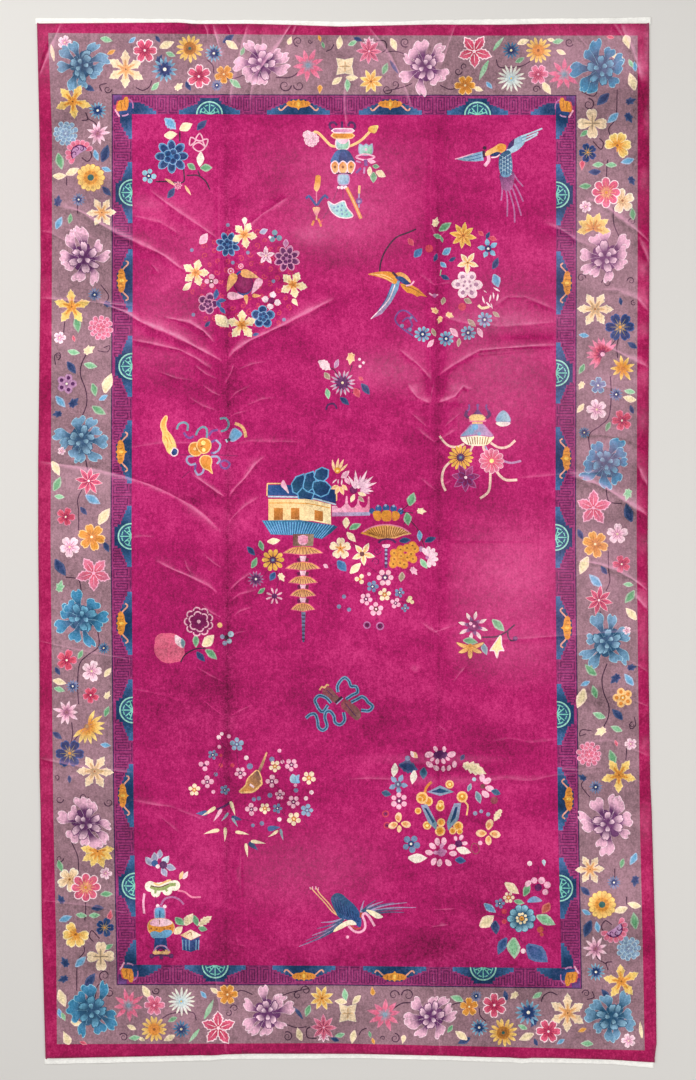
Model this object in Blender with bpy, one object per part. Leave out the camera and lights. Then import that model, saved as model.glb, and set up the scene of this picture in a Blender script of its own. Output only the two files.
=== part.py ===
"""Large Chinese art deco pile rug, lying flat, with a flat-woven ivory strip at each end.

The rug is one thick sheet: its pile side is up and carries the low ridges left by old folds, and its
foundation is flat on the floor. X runs across the rug and Y along it, from its bottom end to its top
end. The origin is on the floor, below the middle of the whole rug. Metres, +Z up.
"""
from bisect import bisect_right
from math import ceil, hypot

import bmesh
import bpy
from mathutils import Vector
from mathutils.geometry import delaunay_2d_cdt

MM = 0.001

# Driving dimensions, in millimetres
PILE_HEIGHT = 12.0  # floor to the tips of the pile
SELVEDGE_HEIGHT = 8.0  # at the overcast long sides and at the ends of the pile
SELVEDGE_WIDTH = 16.0  # over which the pile falls to its edge
STRIP_THICKNESS = 4.0  # the flat-woven ends have no pile
SEAM_GAP = 0.3  # between the pile and a woven end
GRID_PITCH = 150.0  # spacing of the pile's own points
CREASE_STEP = 95.0  # spacing of points along a crease
EDGE_STEP = 140.0  # spacing of points along the rim

# The pile's four sides as it lies, not quite straight: place along the side, then place of the side
LEFT_SIDE = (
    (-2567.5, -1502.5), (-1892.5, -1521.5), (-1337.5, -1527.0), (-1117.5, -1532.5), (-697.5, -1532.5),
    (12.5, -1539.0), (397.5, -1539.0), (1382.5, -1527.0), (2047.5, -1532.5), (2597.5, -1545.0),
)
RIGHT_SIDE = (
    (-2602.5, 1540.0), (-2502.5, 1552.5), (-2002.5, 1547.0), (-1337.5, 1528.0), (-1207.5, 1521.5),
    (-652.5, 1513.5), (12.5, 1508.0), (587.5, 1513.5), (1362.5, 1517.0), (1962.5, 1517.0), (2597.5, 1515.0),
)
TOP_END = (
    (-1545.0, 2597.5), (-830.0, 2602.5), (-755.0, 2595.0), (-480.0, 2596.0), (-280.0, 2591.0), (-30.0, 2582.0),
    (70.0, 2585.0), (270.0, 2589.0), (420.0, 2592.5), (770.0, 2591.5), (1010.0, 2596.0), (1515.0, 2597.5),
)
BOTTOM_END = (
    (-1502.5, -2582.5), (-730.0, -2566.0), (-670.0, -2568.0), (-605.0, -2562.0), (-480.0, -2558.5),
    (-180.0, -2558.5), (70.0, -2559.5), (520.0, -2569.5), (720.0, -2576.0), (830.0, -2577.5), (880.0, -2584.0),
    (920.0, -2579.0), (1070.0, -2580.5), (1320.0, -2588.0), (1540.0, -2602.5),
)

# The woven ends: place across the rug, then depth of the strip there
TOP_STRIP = (
    (-1552.5, 25.0), (-1100.0, 20.0), (-830.0, 15.0), (-480.0, 17.0), (-30.0, 22.0), (270.0, 16.0), (420.0, 20.0),
    (770.0, 26.0), (1200.0, 24.0), (1525.0, 30.0),
)
BOTTOM_STRIP = (
    (-1508.0, 26.0), (-730.0, 26.0), (-650.0, 20.0), (-480.0, 24.0), (-180.0, 22.0), (70.0, 19.0), (520.0, 19.0),
    (880.0, 22.0), (1320.0, 20.0), (1538.0, 25.0),
)

# Old folds: name, half width and height of the ridge, then the points that it runs through
CREASES = (
    ("left fold", 42, 4.0, ((-620, 2560), (-610, 1212), (-600, 12), (-615, -1088), (-620, -2520))),
    ("right fold", 42, 4.0, ((455, 2560), (435, 712), (445, -438), (440, -2520))),
    ("upper chevron, left arm", 34, 3.5, ((-1170, 1188), (-830, 1062), (-630, 908))),
    ("upper chevron, right arm", 34, 3.5, ((-590, 908), (-405, 1038), (-80, 1212))),
    ("second chevron, left arm", 30, 3.0, ((-1065, 1012), (-805, 962), (-670, 852))),
    ("third chevron, left arm", 26, 2.5, ((-880, 1102), (-670, 1002))),
    ("small chevron, left arm", 28, 3.0, ((-755, 312), (-600, 228))),
    ("small chevron, right arm", 28, 3.0, ((-600, 228), (-390, 388))),
    ("long chevron, left arm", 32, 3.5, ((-1530, 398), (-1305, 362), (-1065, 288), (-855, 212), (-655, 78))),
    ("long chevron, right arm", 28, 3.0, ((-580, 88), (-420, 212))),
    ("lower chevron, left arm", 30, 3.0, ((-930, -138), (-640, -248))),
    ("lower chevron, right arm", 26, 2.5, ((-580, -248), (-495, -172))),
    ("lowest chevron", 26, 2.5, ((-705, -802), (-615, -868), (-530, -838))),
    ("right chevron", 30, 3.0, ((320, 938), (430, 852), (580, 952))),
    ("lower right chevron", 26, 2.5, ((380, -408), (445, -448), (530, -422))),
    ("cross crease, upper", 28, 3.0, ((545, 952), (1035, 988))),
    ("cross crease, middle", 26, 2.5, ((870, 322), (1035, 338))),
    ("cross crease, lower", 28, 3.0, ((670, -1188), (1035, -1172))),
    ("corner crease", 28, 3.0, ((-1430, 2588), (-1530, 2338))),
    ("top crease, left", 26, 3.0, ((-630, 2562), (-555, 2238))),
    ("top crease, right", 26, 3.0, ((-255, 2588), (-480, 2238))),
    ("border crease", 26, 2.5, ((-1355, 1638), (-1080, 1512))),
)


def read_side(side, place):
    """A side's value at a place along it, on straight lines between its rows."""
    places = [row[0] for row in side]
    i = min(max(bisect_right(places, place), 1), len(side) - 1)
    (a, at_a), (b, at_b) = side[i - 1], side[i]
    return at_a + (at_b - at_a) * (place - a) / (b - a)


def in_from_edge(x, y):
    """How far a point lies inside the pile's outline."""
    return min(
        x - read_side(LEFT_SIDE, y),
        read_side(RIGHT_SIDE, y) - x,
        read_side(TOP_END, x) - y,
        y - read_side(BOTTOM_END, x),
    )


def ridge_at(x, y, half_width, height, points):
    """Height that one crease adds at a point: full on its line, none at its half width."""
    nearest = half_width
    for (ax, ay), (bx, by) in zip(points, points[1:]):
        run = Vector((bx - ax, by - ay))
        along = min(max(Vector((x - ax, y - ay)).dot(run) / run.length_squared, 0.0), 1.0)
        nearest = min(nearest, hypot(x - ax - along * run.x, y - ay - along * run.y))
    return height * (1.0 - nearest / half_width)


def pile_top(x, y):
    """Height of the pile's surface above the floor."""
    rise = min(max(in_from_edge(x, y) / SELVEDGE_WIDTH, 0.0), 1.0)
    ridge = max(ridge_at(x, y, half_width, height, points) for _, half_width, height, points in CREASES)
    return SELVEDGE_HEIGHT + (PILE_HEIGHT - SELVEDGE_HEIGHT + ridge) * rise


def split(points, step):
    """The points of a line, with more between them so that none are further apart than step."""
    line = [Vector(points[0])]
    for a, b in zip(map(Vector, points), map(Vector, points[1:])):
        pieces = ceil((b - a).length / step)
        line += [a.lerp(b, i / pieces) for i in range(1, pieces + 1)]
    return line


def outline(inset):
    """The pile's outline, anticlockwise from its bottom left corner, drawn in by inset."""
    bottom = [(x, y + inset) for x, y in BOTTOM_END]
    right = [(x - inset, y) for y, x in RIGHT_SIDE]
    top = [(x, y - inset) for x, y in reversed(TOP_END)]
    left = [(x + inset, y) for y, x in reversed(LEFT_SIDE)]
    bottom[0], bottom[-1] = (bottom[0][0] + inset, bottom[0][1]), (bottom[-1][0] - inset, bottom[-1][1])
    top[0], top[-1] = (top[0][0] - inset, top[0][1]), (top[-1][0] + inset, top[-1][1])
    return split(bottom + right[1:-1] + top + left[1:-1] + bottom[:1], EDGE_STEP)[:-1]


def crease_lines():
    """Each crease's line and its two feet, as lines of points inside the pile."""
    for _, half_width, _, points in CREASES:
        line = split(points, CREASE_STEP)
        for offset in (-half_width, 0.0, half_width):
            moved = []
            for i, point in enumerate(line):
                run = line[min(i + 1, len(line) - 1)] - line[max(i - 1, 0)]
                moved.append(point + run.orthogonal().normalized() * offset)
            yield [p for p in moved if in_from_edge(*p) > 1.5 * SELVEDGE_WIDTH]


def pile_plan():
    """Points and triangles of the pile in plan, with an edge along every crease."""
    rim, shoulder = outline(0.0), outline(SELVEDGE_WIDTH)
    points, edges = [], []
    for line, closed in ((rim, True), (shoulder, True), *((line, False) for line in crease_lines())):
        first = len(points)
        points += line
        edges += [(first + i, first + i + 1) for i in range(len(line) - 1)]
        if closed:
            edges.append((len(points) - 1, first))
    across, along = round(3000 / GRID_PITCH), round(5100 / GRID_PITCH)
    for i in range(-across // 2, across // 2 + 1):
        for j in range(-along // 2, along // 2 + 1):
            x, y = i * GRID_PITCH, j * GRID_PITCH
            if in_from_edge(x, y) > 3 * SELVEDGE_WIDTH:
                points.append(Vector((x, y)))
    rim_loop = [list(range(len(rim)))]
    inside_outline = 1
    plan = delaunay_2d_cdt(points, edges, rim_loop, inside_outline, 0.5)
    return plan[0], plan[2]


def close_to_floor(bm, floor=0.0):
    """Walls from the sheet's open rim to the floor, and a flat underside."""
    rim = [edge for edge in bm.edges if edge.is_boundary]
    walls = bmesh.ops.extrude_edge_only(bm, edges=rim)["geom"]
    for vert in (v for v in walls if isinstance(v, bmesh.types.BMVert)):
        vert.co.z = floor
    under = [edge for edge in bm.edges if edge.is_boundary]
    bmesh.ops.holes_fill(bm, edges=under, sides=len(under))


def make_object(name, bm, material, collection):
    """A closed mesh in metres, its faces pointing out."""
    bmesh.ops.triangulate(bm, faces=bm.faces[:])
    bmesh.ops.recalc_face_normals(bm, faces=bm.faces[:])
    bmesh.ops.scale(bm, vec=(MM, MM, MM), verts=bm.verts[:])
    mesh = bpy.data.meshes.new(name)
    bm.to_mesh(mesh)
    bm.free()
    mesh.materials.append(material)
    made = bpy.data.objects.new(name, mesh)
    collection.objects.link(made)
    return made


def make_pile_rug(material, collection):
    """The whole knotted rug in one solid: pile, foundation and overcast sides."""
    points, faces = pile_plan()
    bm = bmesh.new()
    verts = [bm.verts.new((p.x, p.y, pile_top(p.x, p.y))) for p in points]
    for face in faces:
        bm.faces.new([verts[i] for i in face])
    loose = [vert for vert in bm.verts if not vert.link_faces]
    bmesh.ops.delete(bm, geom=loose, context="VERTS")
    close_to_floor(bm)
    return make_object("rug_body", bm, material, collection)


def make_woven_end(name, end, strip, outward, material, collection):
    """A flat-woven strip along one end of the pile; outward is +1 at the top end, -1 at the bottom."""
    first, last = strip[0][0], strip[-1][0]
    across = sorted({x for x, _ in end + strip if first < x < last} | {first, last})
    inner = [(x, read_side(end, x) + outward * SEAM_GAP) for x in across]
    outer = [(x, read_side(end, x) + outward * read_side(strip, x)) for x in across]
    bm = bmesh.new()
    inner_verts = [bm.verts.new((x, y, 0.0)) for x, y in inner]
    outer_verts = [bm.verts.new((x, y, 0.0)) for x, y in outer]
    for i in range(len(across) - 1):
        bm.faces.new((inner_verts[i], inner_verts[i + 1], outer_verts[i + 1], outer_verts[i]))
    top = bmesh.ops.extrude_face_region(bm, geom=bm.faces[:])["geom"]
    lifted = [v for v in top if isinstance(v, bmesh.types.BMVert)]
    bmesh.ops.translate(bm, vec=(0.0, 0.0, STRIP_THICKNESS), verts=lifted)
    return make_object(name, bm, material, collection)


def make_material(name, colour, roughness):
    material = bpy.data.materials.new(name)
    material.use_nodes = True
    shader = material.node_tree.nodes["Principled BSDF"]
    shader.inputs["Base Color"].default_value = (*colour, 1.0)
    shader.inputs["Roughness"].default_value = roughness
    shader.inputs["Metallic"].default_value = 0.0
    return material


def main():
    for old in list(bpy.data.objects):
        bpy.data.objects.remove(old, do_unlink=True)
    rug = bpy.data.collections.new("chinese_art_deco_rug")
    bpy.context.scene.collection.children.link(rug)
    wool = make_material("magenta_wool", (0.40, 0.01, 0.12), 0.9)
    top_cotton = make_material("ivory_cotton_top", (0.80, 0.76, 0.66), 0.95)
    bottom_cotton = make_material("ivory_cotton_bottom", (0.80, 0.76, 0.66), 0.95)
    make_pile_rug(wool, rug)
    make_woven_end("woven_end_top", TOP_END, TOP_STRIP, 1, top_cotton, rug)
    make_woven_end("woven_end_bottom", BOTTOM_END, BOTTOM_STRIP, -1, bottom_cotton, rug)


main()
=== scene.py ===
"""The looks of a large Chinese art deco pile rug: its knotted pattern, velvet pile, overcast sides and
woven ivory ends, lying flat on a plain pale floor and seen from straight above.

The pattern is drawn on a chart, in cells of 5 mm: x runs to the right and y down from the chart's top
left corner. Angles on the chart are in degrees, clockwise from the right. Shapes are painted one over
another, and then the whole chart is cut into one triangulated pile surface.
"""
from functools import partial
from math import cos, hypot, pi, radians, sin, tau
from random import Random

import bpy
import numpy as np
from mathutils.geometry import delaunay_2d_cdt
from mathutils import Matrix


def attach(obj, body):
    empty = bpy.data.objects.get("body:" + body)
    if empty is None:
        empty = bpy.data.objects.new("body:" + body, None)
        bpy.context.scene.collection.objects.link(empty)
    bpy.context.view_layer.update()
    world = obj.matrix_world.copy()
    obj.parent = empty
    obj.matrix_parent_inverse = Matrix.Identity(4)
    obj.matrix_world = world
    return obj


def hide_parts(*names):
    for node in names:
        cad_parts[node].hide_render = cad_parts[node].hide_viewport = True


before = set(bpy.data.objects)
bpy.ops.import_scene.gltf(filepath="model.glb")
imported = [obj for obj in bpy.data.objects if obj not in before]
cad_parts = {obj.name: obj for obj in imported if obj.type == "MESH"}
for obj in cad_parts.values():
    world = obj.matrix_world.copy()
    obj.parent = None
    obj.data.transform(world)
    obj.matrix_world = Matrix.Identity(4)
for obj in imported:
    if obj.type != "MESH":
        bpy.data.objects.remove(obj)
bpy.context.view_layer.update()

CELL_MM = 5.0
CELL = CELL_MM / 1000  # metres
CHART_WIDTH, CHART_HEIGHT = 696, 1080
MIDDLE = (346.0, 542.5)  # the chart point over the frame's origin
dice = Random(12)
TINY = 1e-9

# ---------------------------------------------------------------- the rug's own sizes, in cells and mm
# Each side's lines: rim of the pile, foot of the plain band, dark line inside the flowers, edge of the field.
# Rows are (place along the side, place of the line).
LEFT = (
    ((21, 37), (133, 39.5), (266, 40.6), (463, 38.2), (540, 38.2), (682, 39.5), (766, 39.5), (810, 40.6),
     (921, 41.7), (1056, 45.5)),
    ((34, 48.4), (133, 52.4), (266, 52.3), (540, 50.9), (810, 53.6), (943, 56.6), (1043, 57.3)),
    ((95, 112.7), (266, 112.7), (540, 111.5), (810, 114.3), (981, 117.6)),
    ((115, 132.2), (266, 133.1), (540, 131.8), (810, 134.0), (963, 136.9)),
)
RIGHT = (
    ((22, 649), (150, 649.4), (270, 649.4), (425, 648.7), (540, 647.6), (673, 648.7), (784, 650.3),
     (810, 651.6), (943, 655.4), (1043, 656.5), (1063, 654)),
    ((35, 637.2), (266, 637.2), (540, 636.2), (810, 639.3), (988, 643.2), (1047, 644.3)),
    ((96, 575.5), (266, 575.8), (540, 575.0), (810, 577.8), (988, 581.0)),
    ((115, 555.5), (266, 556.0), (540, 555.0), (810, 557.5), (965, 561.0)),
)
TOP = (
    ((37, 23), (180, 22), (195, 23.5), (250, 23.3), (290, 24.3), (340, 26.1), (360, 25.5), (400, 24.7),
     (430, 24), (500, 24.2), (548, 23.3), (649, 23)),
    ((48, 33.7), (180, 34.5), (340, 36.0), (500, 36.3), (637, 36.2)),
    ((112, 95.4), (348, 95.8), (575, 96.3)),
    ((132, 114.7), (348, 115.4), (555, 115.6)),
)
BOTTOM = (
    ((45, 1059), (200, 1055.7), (212, 1056.1), (225, 1054.9), (250, 1054.2), (310, 1054.2), (360, 1054.4),
     (450, 1056.4), (490, 1057.7), (512, 1058), (522, 1059.3), (530, 1058.3), (560, 1058.6), (610, 1060.1),
     (654, 1063)),
    ((57, 1043.5), (333, 1042.4), (348, 1043.0), (481, 1045.7), (644, 1049.7)),
    ((117, 983.8), (340, 984.2), (581, 987.5)),
    ((137, 964.2), (340, 965.2), (561, 967.6)),
)
RIM, BAND, DARK_LINE, FIELD = range(4)


def line_at(side, line, place):
    rows = side[line]
    return float(np.interp(place, [row[0] for row in rows], [row[1] for row in rows]))


# ---------------------------------------------------------------- colours, as sRGB
PALETTE = {
    "magenta": (178, 24, 100), "band": (166, 18, 82), "taupe": (150, 114, 124), "fret": (152, 50, 108),
    "fret_line": (96, 28, 82), "dark_line": (52, 34, 78), "stem": (66, 38, 60), "selvedge": (156, 22, 84),
    "navy": (26, 54, 102), "navy_light": (44, 84, 140), "blue": (52, 108, 160), "sky": (100, 164, 204),
    "pale_blue": (160, 200, 216), "teal": (126, 206, 186), "green": (96, 160, 112), "mint": (132, 194, 146),
    "gold": (224, 150, 52), "yellow": (240, 192, 88), "cream": (246, 224, 176), "ivory": (244, 234, 214),
    "peach": (232, 180, 124), "orange": (218, 134, 56), "brown": (150, 92, 44), "pink": (228, 128, 158),
    "pale_pink": (238, 180, 196), "rose": (216, 84, 106), "red": (190, 44, 74), "purple": (90, 42, 92),
    "lilac": (190, 138, 178), "violet": (120, 76, 140), "slate": (104, 118, 150), "rust": (188, 82, 66),
    "coral": (206, 66, 84), "mist": (178, 204, 216), "haze": (156, 158, 188),
    "bloom": (250, 216, 222), "blush": (244, 176, 200), "mauve": (184, 110, 158),
    "apricot": (248, 196, 130), "butter": (252, 224, 136), "steel": (112, 154, 184),
    "deep_teal": (36, 82, 114), "fade_teal": (112, 146, 158), "fade_slate": (124, 130, 164),
    "shade": (142, 26, 88), "moss": (164, 142, 116), "moss_brown": (112, 58, 62), "plum": (112, 24, 82),
    "plum_core": (86, 22, 82), "peach_rose": (226, 98, 130), "sage": (150, 166, 100),
    "coral_faint": (206, 66, 92), "sky_light": (142, 196, 214), "blue_petal": (60, 132, 170),
    "petal": (234, 178, 200), "petal_rim": (246, 214, 224), "shell": (250, 224, 188),
    "amber": (240, 164, 84), "powder": (138, 172, 202), "straw": (252, 216, 126), "sea": (40, 98, 92),
    "rose_ash": (170, 120, 150), "blush_peach": (240, 200, 184), "steel_blue": (96, 126, 164),
    "slate_dark": (76, 84, 118), "bark": (124, 88, 84), "umber": (150, 72, 84),
}


def rgb(colour):
    return PALETTE[colour] if isinstance(colour, str) else colour


def mix(a, b, share):
    return tuple(u + (v - u) * share for u, v in zip(rgb(a), rgb(b)))


def linear(colour):
    return [(v / 255 / 12.92) if v <= 10.31 else ((v / 255 + 0.055) / 1.055) ** 2.4 for v in rgb(colour)]


# ---------------------------------------------------------------- the chart
outlines = []  # each painted shape's points
paints = []  # each one's colours: kind, the gradient's two points, and its two colours
LINEAR, RADIAL = 0, 1


def paint(points, colour, colour_to=None, start=(0, 0), end=(1, 0)):
    """Fills a closed outline. With colour_to, the colour runs from colour at start to colour_to at end."""
    outlines.append(np.array(points, float))
    paints.append([LINEAR, *start, *end, *linear(colour), *linear(colour_to or colour)])


def disc(x, y, r, colour, rim=None, sides=None, squash=1.0):
    sides = sides or max(8, min(28, int(r * 3)))
    outlines.append(np.array([(x + r * cos(tau * i / sides), y + r * squash * sin(tau * i / sides))
                              for i in range(sides)]))
    paints.append([RADIAL, x, y, r, 0, *linear(colour), *linear(rim or colour)])


def smooth_run(a, b, c, d, step):
    """Points from b toward c on a smooth line through all four, about step apart."""
    count = max(2, int(np.hypot(*(c - b)) / step))
    return [0.5 * (2 * b + (c - a) * t + (2 * a - 5 * b + 4 * c - d) * t * t
                   + (3 * b - a - 3 * c + d) * t ** 3) for t in (i / count for i in range(count))]


def smooth(points, step=2.5):
    """A smooth line through the points."""
    points = [np.array(p, float) for p in points]
    if len(points) < 3:
        return points
    ends = [2 * points[0] - points[1], *points, 2 * points[-1] - points[-2]]
    line = []
    for four in zip(ends, ends[1:], ends[2:], ends[3:]):
        line += smooth_run(*four, step)
    return line + [points[-1]]


def rounded(points, step=1.6):
    """The points of a closed form with its corners rounded."""
    points = [np.array(p, float) for p in points]
    line = []
    for i in range(len(points)):
        line += smooth_run(*(points[(i + k) % len(points)] for k in (-1, 0, 1, 2)), step)
    return line


SHARPEST = 0.6  # a ribbon is widened at a bend by at most one over this
TAPER_END = 0.25  # share of its width that a tapering ribbon keeps at its last point


def stroke(points, width, colour, taper=False, colour_to=None):
    """A ribbon along a line. With taper, it narrows to its last point."""
    line = np.array(points, float)
    runs = np.diff(line, axis=0)
    runs /= np.maximum(np.hypot(runs[:, 0], runs[:, 1]), TINY)[:, None]
    before, after = np.vstack([runs[:1], runs]), np.vstack([runs, runs[-1:]])
    along = before + after
    along /= np.maximum(np.hypot(along[:, 0], along[:, 1]), TINY)[:, None]
    across = np.stack([-along[:, 1], along[:, 0]], 1)
    stretch = 1 / np.maximum((along * before).sum(1), SHARPEST)
    half = width / 2 * stretch
    if taper:
        half = half * np.linspace(1.0, TAPER_END, len(line))
    side = across * half[:, None]
    paint(np.vstack([line + side, (line - side)[::-1]]), colour, colour_to, tuple(line[0]), tuple(line[-1]))


CURL_POINTS = 14  # in each turn
CURL_CLOSE = 0.86  # share of its radius that a curl loses on its way in


def spiral(x, y, r, turn, turns=1.4, way=1):
    """Points of a curl that winds in to x, y from r away."""
    count = int(CURL_POINTS * turns)
    found = []
    for i in range(count + 1):
        reach, angle = r * (1 - CURL_CLOSE * i / count), radians(turn) + way * tau * turns * i / count
        found.append((x + reach * cos(angle), y + reach * sin(angle)))
    return found


# Half outlines of a petal: place along it and half width there, both as shares
TIPS = {
    "round": ((0, 0.16), (0.2, 0.5), (0.42, 0.84), (0.64, 1), (0.84, 0.86), (0.95, 0.5), (1, 0)),
    "point": ((0, 0.2), (0.2, 0.66), (0.42, 1), (0.66, 0.8), (0.85, 0.4), (1, 0)),
    "thin": ((0, 0.45), (0.3, 0.85), (0.6, 1), (0.85, 0.7), (1, 0)),
    "heart": ((0, 0.16), (0.25, 0.56), (0.5, 0.92), (0.75, 1), (0.94, 0.72), (1, 0.34), (0.93, 0)),
    "jag": ((0, 0.18), (0.18, 0.5), (0.3, 0.86), (0.4, 0.8), (0.52, 1), (0.62, 0.74), (0.72, 0.78),
            (0.84, 0.36), (1, 0)),
    "wedge": ((0, 0.14), (0.25, 0.26), (0.5, 0.5), (0.66, 0.84), (0.78, 1), (0.9, 0.9), (1, 0.62),
              (1.02, 0.36), (0.93, 0.1), (0.94, 0)),
    "lobe": ((0, 0.2), (0.2, 0.55), (0.4, 0.85), (0.6, 1), (0.8, 0.95), (0.93, 0.62), (1, 0)),
    "spade": ((0, 0.1), (0.12, 0.7), (0.3, 1), (0.5, 0.82), (0.75, 0.4), (1, 0)),
    "blade": ((0, 0.5), (0.12, 0.92), (0.3, 1), (0.55, 0.74), (0.8, 0.36), (1, 0)),
    "pip": ((0, 0.2), (0.2, 0.74), (0.45, 1), (0.7, 0.94), (0.9, 0.58), (1, 0)),
    "saw": ((0, 0.3), (0.16, 0.7), (0.22, 0.5), (0.38, 1), (0.44, 0.72), (0.6, 0.96), (0.66, 0.6), (0.8, 0.6),
            (0.85, 0.32), (1, 0)),
    "maple": ((0, 0.26), (0.25, 0.5), (0.48, 0.72), (0.6, 1), (0.7, 0.62), (0.8, 0.62), (0.88, 0.3), (1, 0)),
}


def petal_outline(x, y, angle, start, end, half, tip, bend=0.0):
    """A petal or leaf that begins start away from x, y and ends at end. bend curves it to one side."""
    c, s = cos(radians(angle)), sin(radians(angle))
    sides = []
    for sign in (1, -1):
        side = []
        for along, wide in TIPS[tip]:
            d = start + (end - start) * along
            w = sign * half * wide + bend * (end - start) * along * along
            side.append((x + d * c - w * s, y + d * s + w * c))
        sides.append(side)
    return sides[0] + sides[1][-2::-1]


RIB_SPAN, RIB_WIDTH, RIB_LEAST = (0.12, 0.72), 0.1, 0.45  # shares of the petal, and cells


def petal(x, y, angle, start, end, half, tip, base, outer, edge=None, grow=0.8, rib=None, bend=0.0,
          fade=(0.0, 1.0)):
    """A petal whose colour runs from base to outer between the two shares of its length in fade."""
    c, s = cos(radians(angle)), sin(radians(angle))

    def along(share):
        d = start + (end - start) * share
        return x + d * c, y + d * s

    if edge:
        paint(petal_outline(x, y, angle, start - 0.3 * grow, end + grow, half + grow, tip, bend), edge)
    outline = petal_outline(x, y, angle, start, end, half, tip, bend)
    paint(outline, base, outer, along(fade[0]), along(fade[1]))
    if rib:
        stroke([along(share) for share in RIB_SPAN], RIB_WIDTH * half + RIB_LEAST, rib, taper=True)


TINT = 0.08  # how far a petal's colours may stray
SWAY = 60  # degrees that a petal may turn, times how much the round varies


def ring(x, y, r, n, start, end, half, tip, base, outer, turn=0, sweep=360, vary=0.06, **looks):
    """Petals round a point; start, end and half are shares of r. With a sweep, only part of the round."""
    full = sweep >= 360
    for i in range(n):
        angle = turn + (360 * i / n if full else sweep * (i / max(n - 1, 1) - 0.5))
        reach = end * (1 + dice.uniform(-vary, vary))
        tint = dice.uniform(-TINT, TINT)
        shade = "ivory" if tint > 0 else "stem"
        petal(x, y, angle + dice.uniform(-SWAY, SWAY) * vary, start * r, reach * r, half * r, tip,
              mix(base, shade, abs(tint)), mix(outer, shade, abs(tint)), **looks)


# Flower colours: edge, outer, base, heart, dot
COLOURS = {
    "blue": ("pale_blue", "steel", "deep_teal", "navy", "cream"),
    "deep": ("sky_light", "blue_petal", "deep_teal", "navy", "cream"),
    "pale": ("pale_blue", "sky_light", "navy_light", "navy", "ivory"),
    "slate": ("pale_blue", "steel_blue", "fade_slate", "navy", "ivory"),
    "misty": ("mist", "powder", "fade_slate", "slate", "mist"),
    "navy": ("navy_light", "navy", "navy", "yellow", "gold"),
    "purple": ("petal_rim", "petal", "purple", "purple", "cream"),
    "plum": ("lilac", "lilac", "purple", "purple", "ivory"),
    "lilac": ("ivory", "pale_pink", "violet", "purple", "cream"),
    "cream": ("ivory", "shell", "peach", "orange", "brown"),
    "straw": ("ivory", "shell", "peach", "moss", "brown"),
    "yellow": ("cream", "straw", "gold", "orange", "brown"),
    "sun": ("straw", "straw", "gold", "brown", "sea"),
    "gold": ("apricot", "gold", "orange", "brown", "cream"),
    "pink": ("blush", "pink", "rose", "plum", "blush"),
    "rose": ("bloom", "peach_rose", "red", "plum", "bloom"),
    "rose_grey": ("blush", "pink", "peach_rose", "fade_teal", "haze"),
    "blush": ("bloom", "petal_rim", "blush", "plum", "cream"),
    "rose_eye": ("bloom", "peach_rose", "rose", "straw", "gold"),
    "red": ("pink", "rose", "red", "plum_core", "ivory"),
    "white": ("ivory", "ivory", "pale_blue", "sky", "yellow"),
    "outline": ("pale_pink", "magenta", "magenta", "magenta", "pale_pink"),
    "starry": ("pale_pink", "pale_blue", "purple", "purple", "cream"),
    "sunny": ("yellow", "yellow", "gold", "brown", "fade_teal"),
    "blush_purple": ("ivory", "pale_pink", "lilac", "purple", "lilac"),
    "purple_eye": ("pale_pink", "pale_pink", "blush", "purple", "ivory"),
    "cream_gold": ("ivory", "cream", "peach", "gold", "brown"),
    "teal_cells": ("powder", "blue", "navy", "navy", "mist"),
    "plum_cells": ("blush", "mauve", "plum_core", "plum_core", "bloom"),
    "white_eye": ("bloom", "blush", "moss_brown", "moss_brown", "bloom"),
    "sunset": ("butter", "yellow", "orange", "brown", "brown"),
    "cream_star": ("ivory", "cream", "apricot", "orange", "brown"),
    "quilted": ("bloom", "bloom", "rose_ash", "rose_ash", "bloom"),
    "strawy": ("ivory", "shell", "shell", "orange", "cream"),
    "pinkish": ("bloom", "blush", "blush", "plum", "bloom"),
    "teal_coin": ("mist", "fade_teal", "fade_teal", "navy", "mist"),
    "mum_gold": ("brown", "apricot", "gold", "brown", "apricot"),
    "zinnia": ("bloom", "pink", "rose", "rose", "butter"),
}


def peony(x, y, r, turn, looks, sweep):
    """Uneven wedge petals with pale rims and dark feet, about smaller ones."""
    edge, outer, base, heart, _ = looks
    ring(x, y, r, 7, 0.0, 0.52, 0.17, "lobe", base, base, turn + 10, vary=0.16)
    for i in range(9):
        angle = turn + 40 * i + dice.uniform(-14, 14)
        reach, half = dice.uniform(0.72, 1.08), dice.uniform(0.15, 0.28)
        petal(x, y, angle, 0.2 * r, r * reach, r * half, "wedge", base, outer, edge=edge, grow=0.6,
              bend=dice.uniform(-0.4, 0.4), fade=(0.4, 0.74))
    for i in range(6):
        angle = turn + 15 + 60 * i + dice.uniform(-18, 18)
        reach, half = dice.uniform(0.42, 0.62), dice.uniform(0.1, 0.15)
        petal(x, y, angle, 0.08 * r, r * reach, r * half, "heart", base, mix(outer, edge, 0.5), edge=base,
              grow=0.7, bend=dice.uniform(-0.3, 0.3), fade=(0.3, 0.9))
    for i in range(3):
        angle = turn + 120 * i + dice.uniform(-20, 20)
        petal(x, y, angle, 0.04 * r, 0.26 * r, 0.08 * r, "heart", base, mix(outer, edge, 0.8), edge=heart,
              grow=0.4)


def round_point(x, y, reach, angle):
    """The point that lies reach away from x, y at an angle in degrees."""
    return x + reach * cos(radians(angle)), y + reach * sin(radians(angle))


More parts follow.
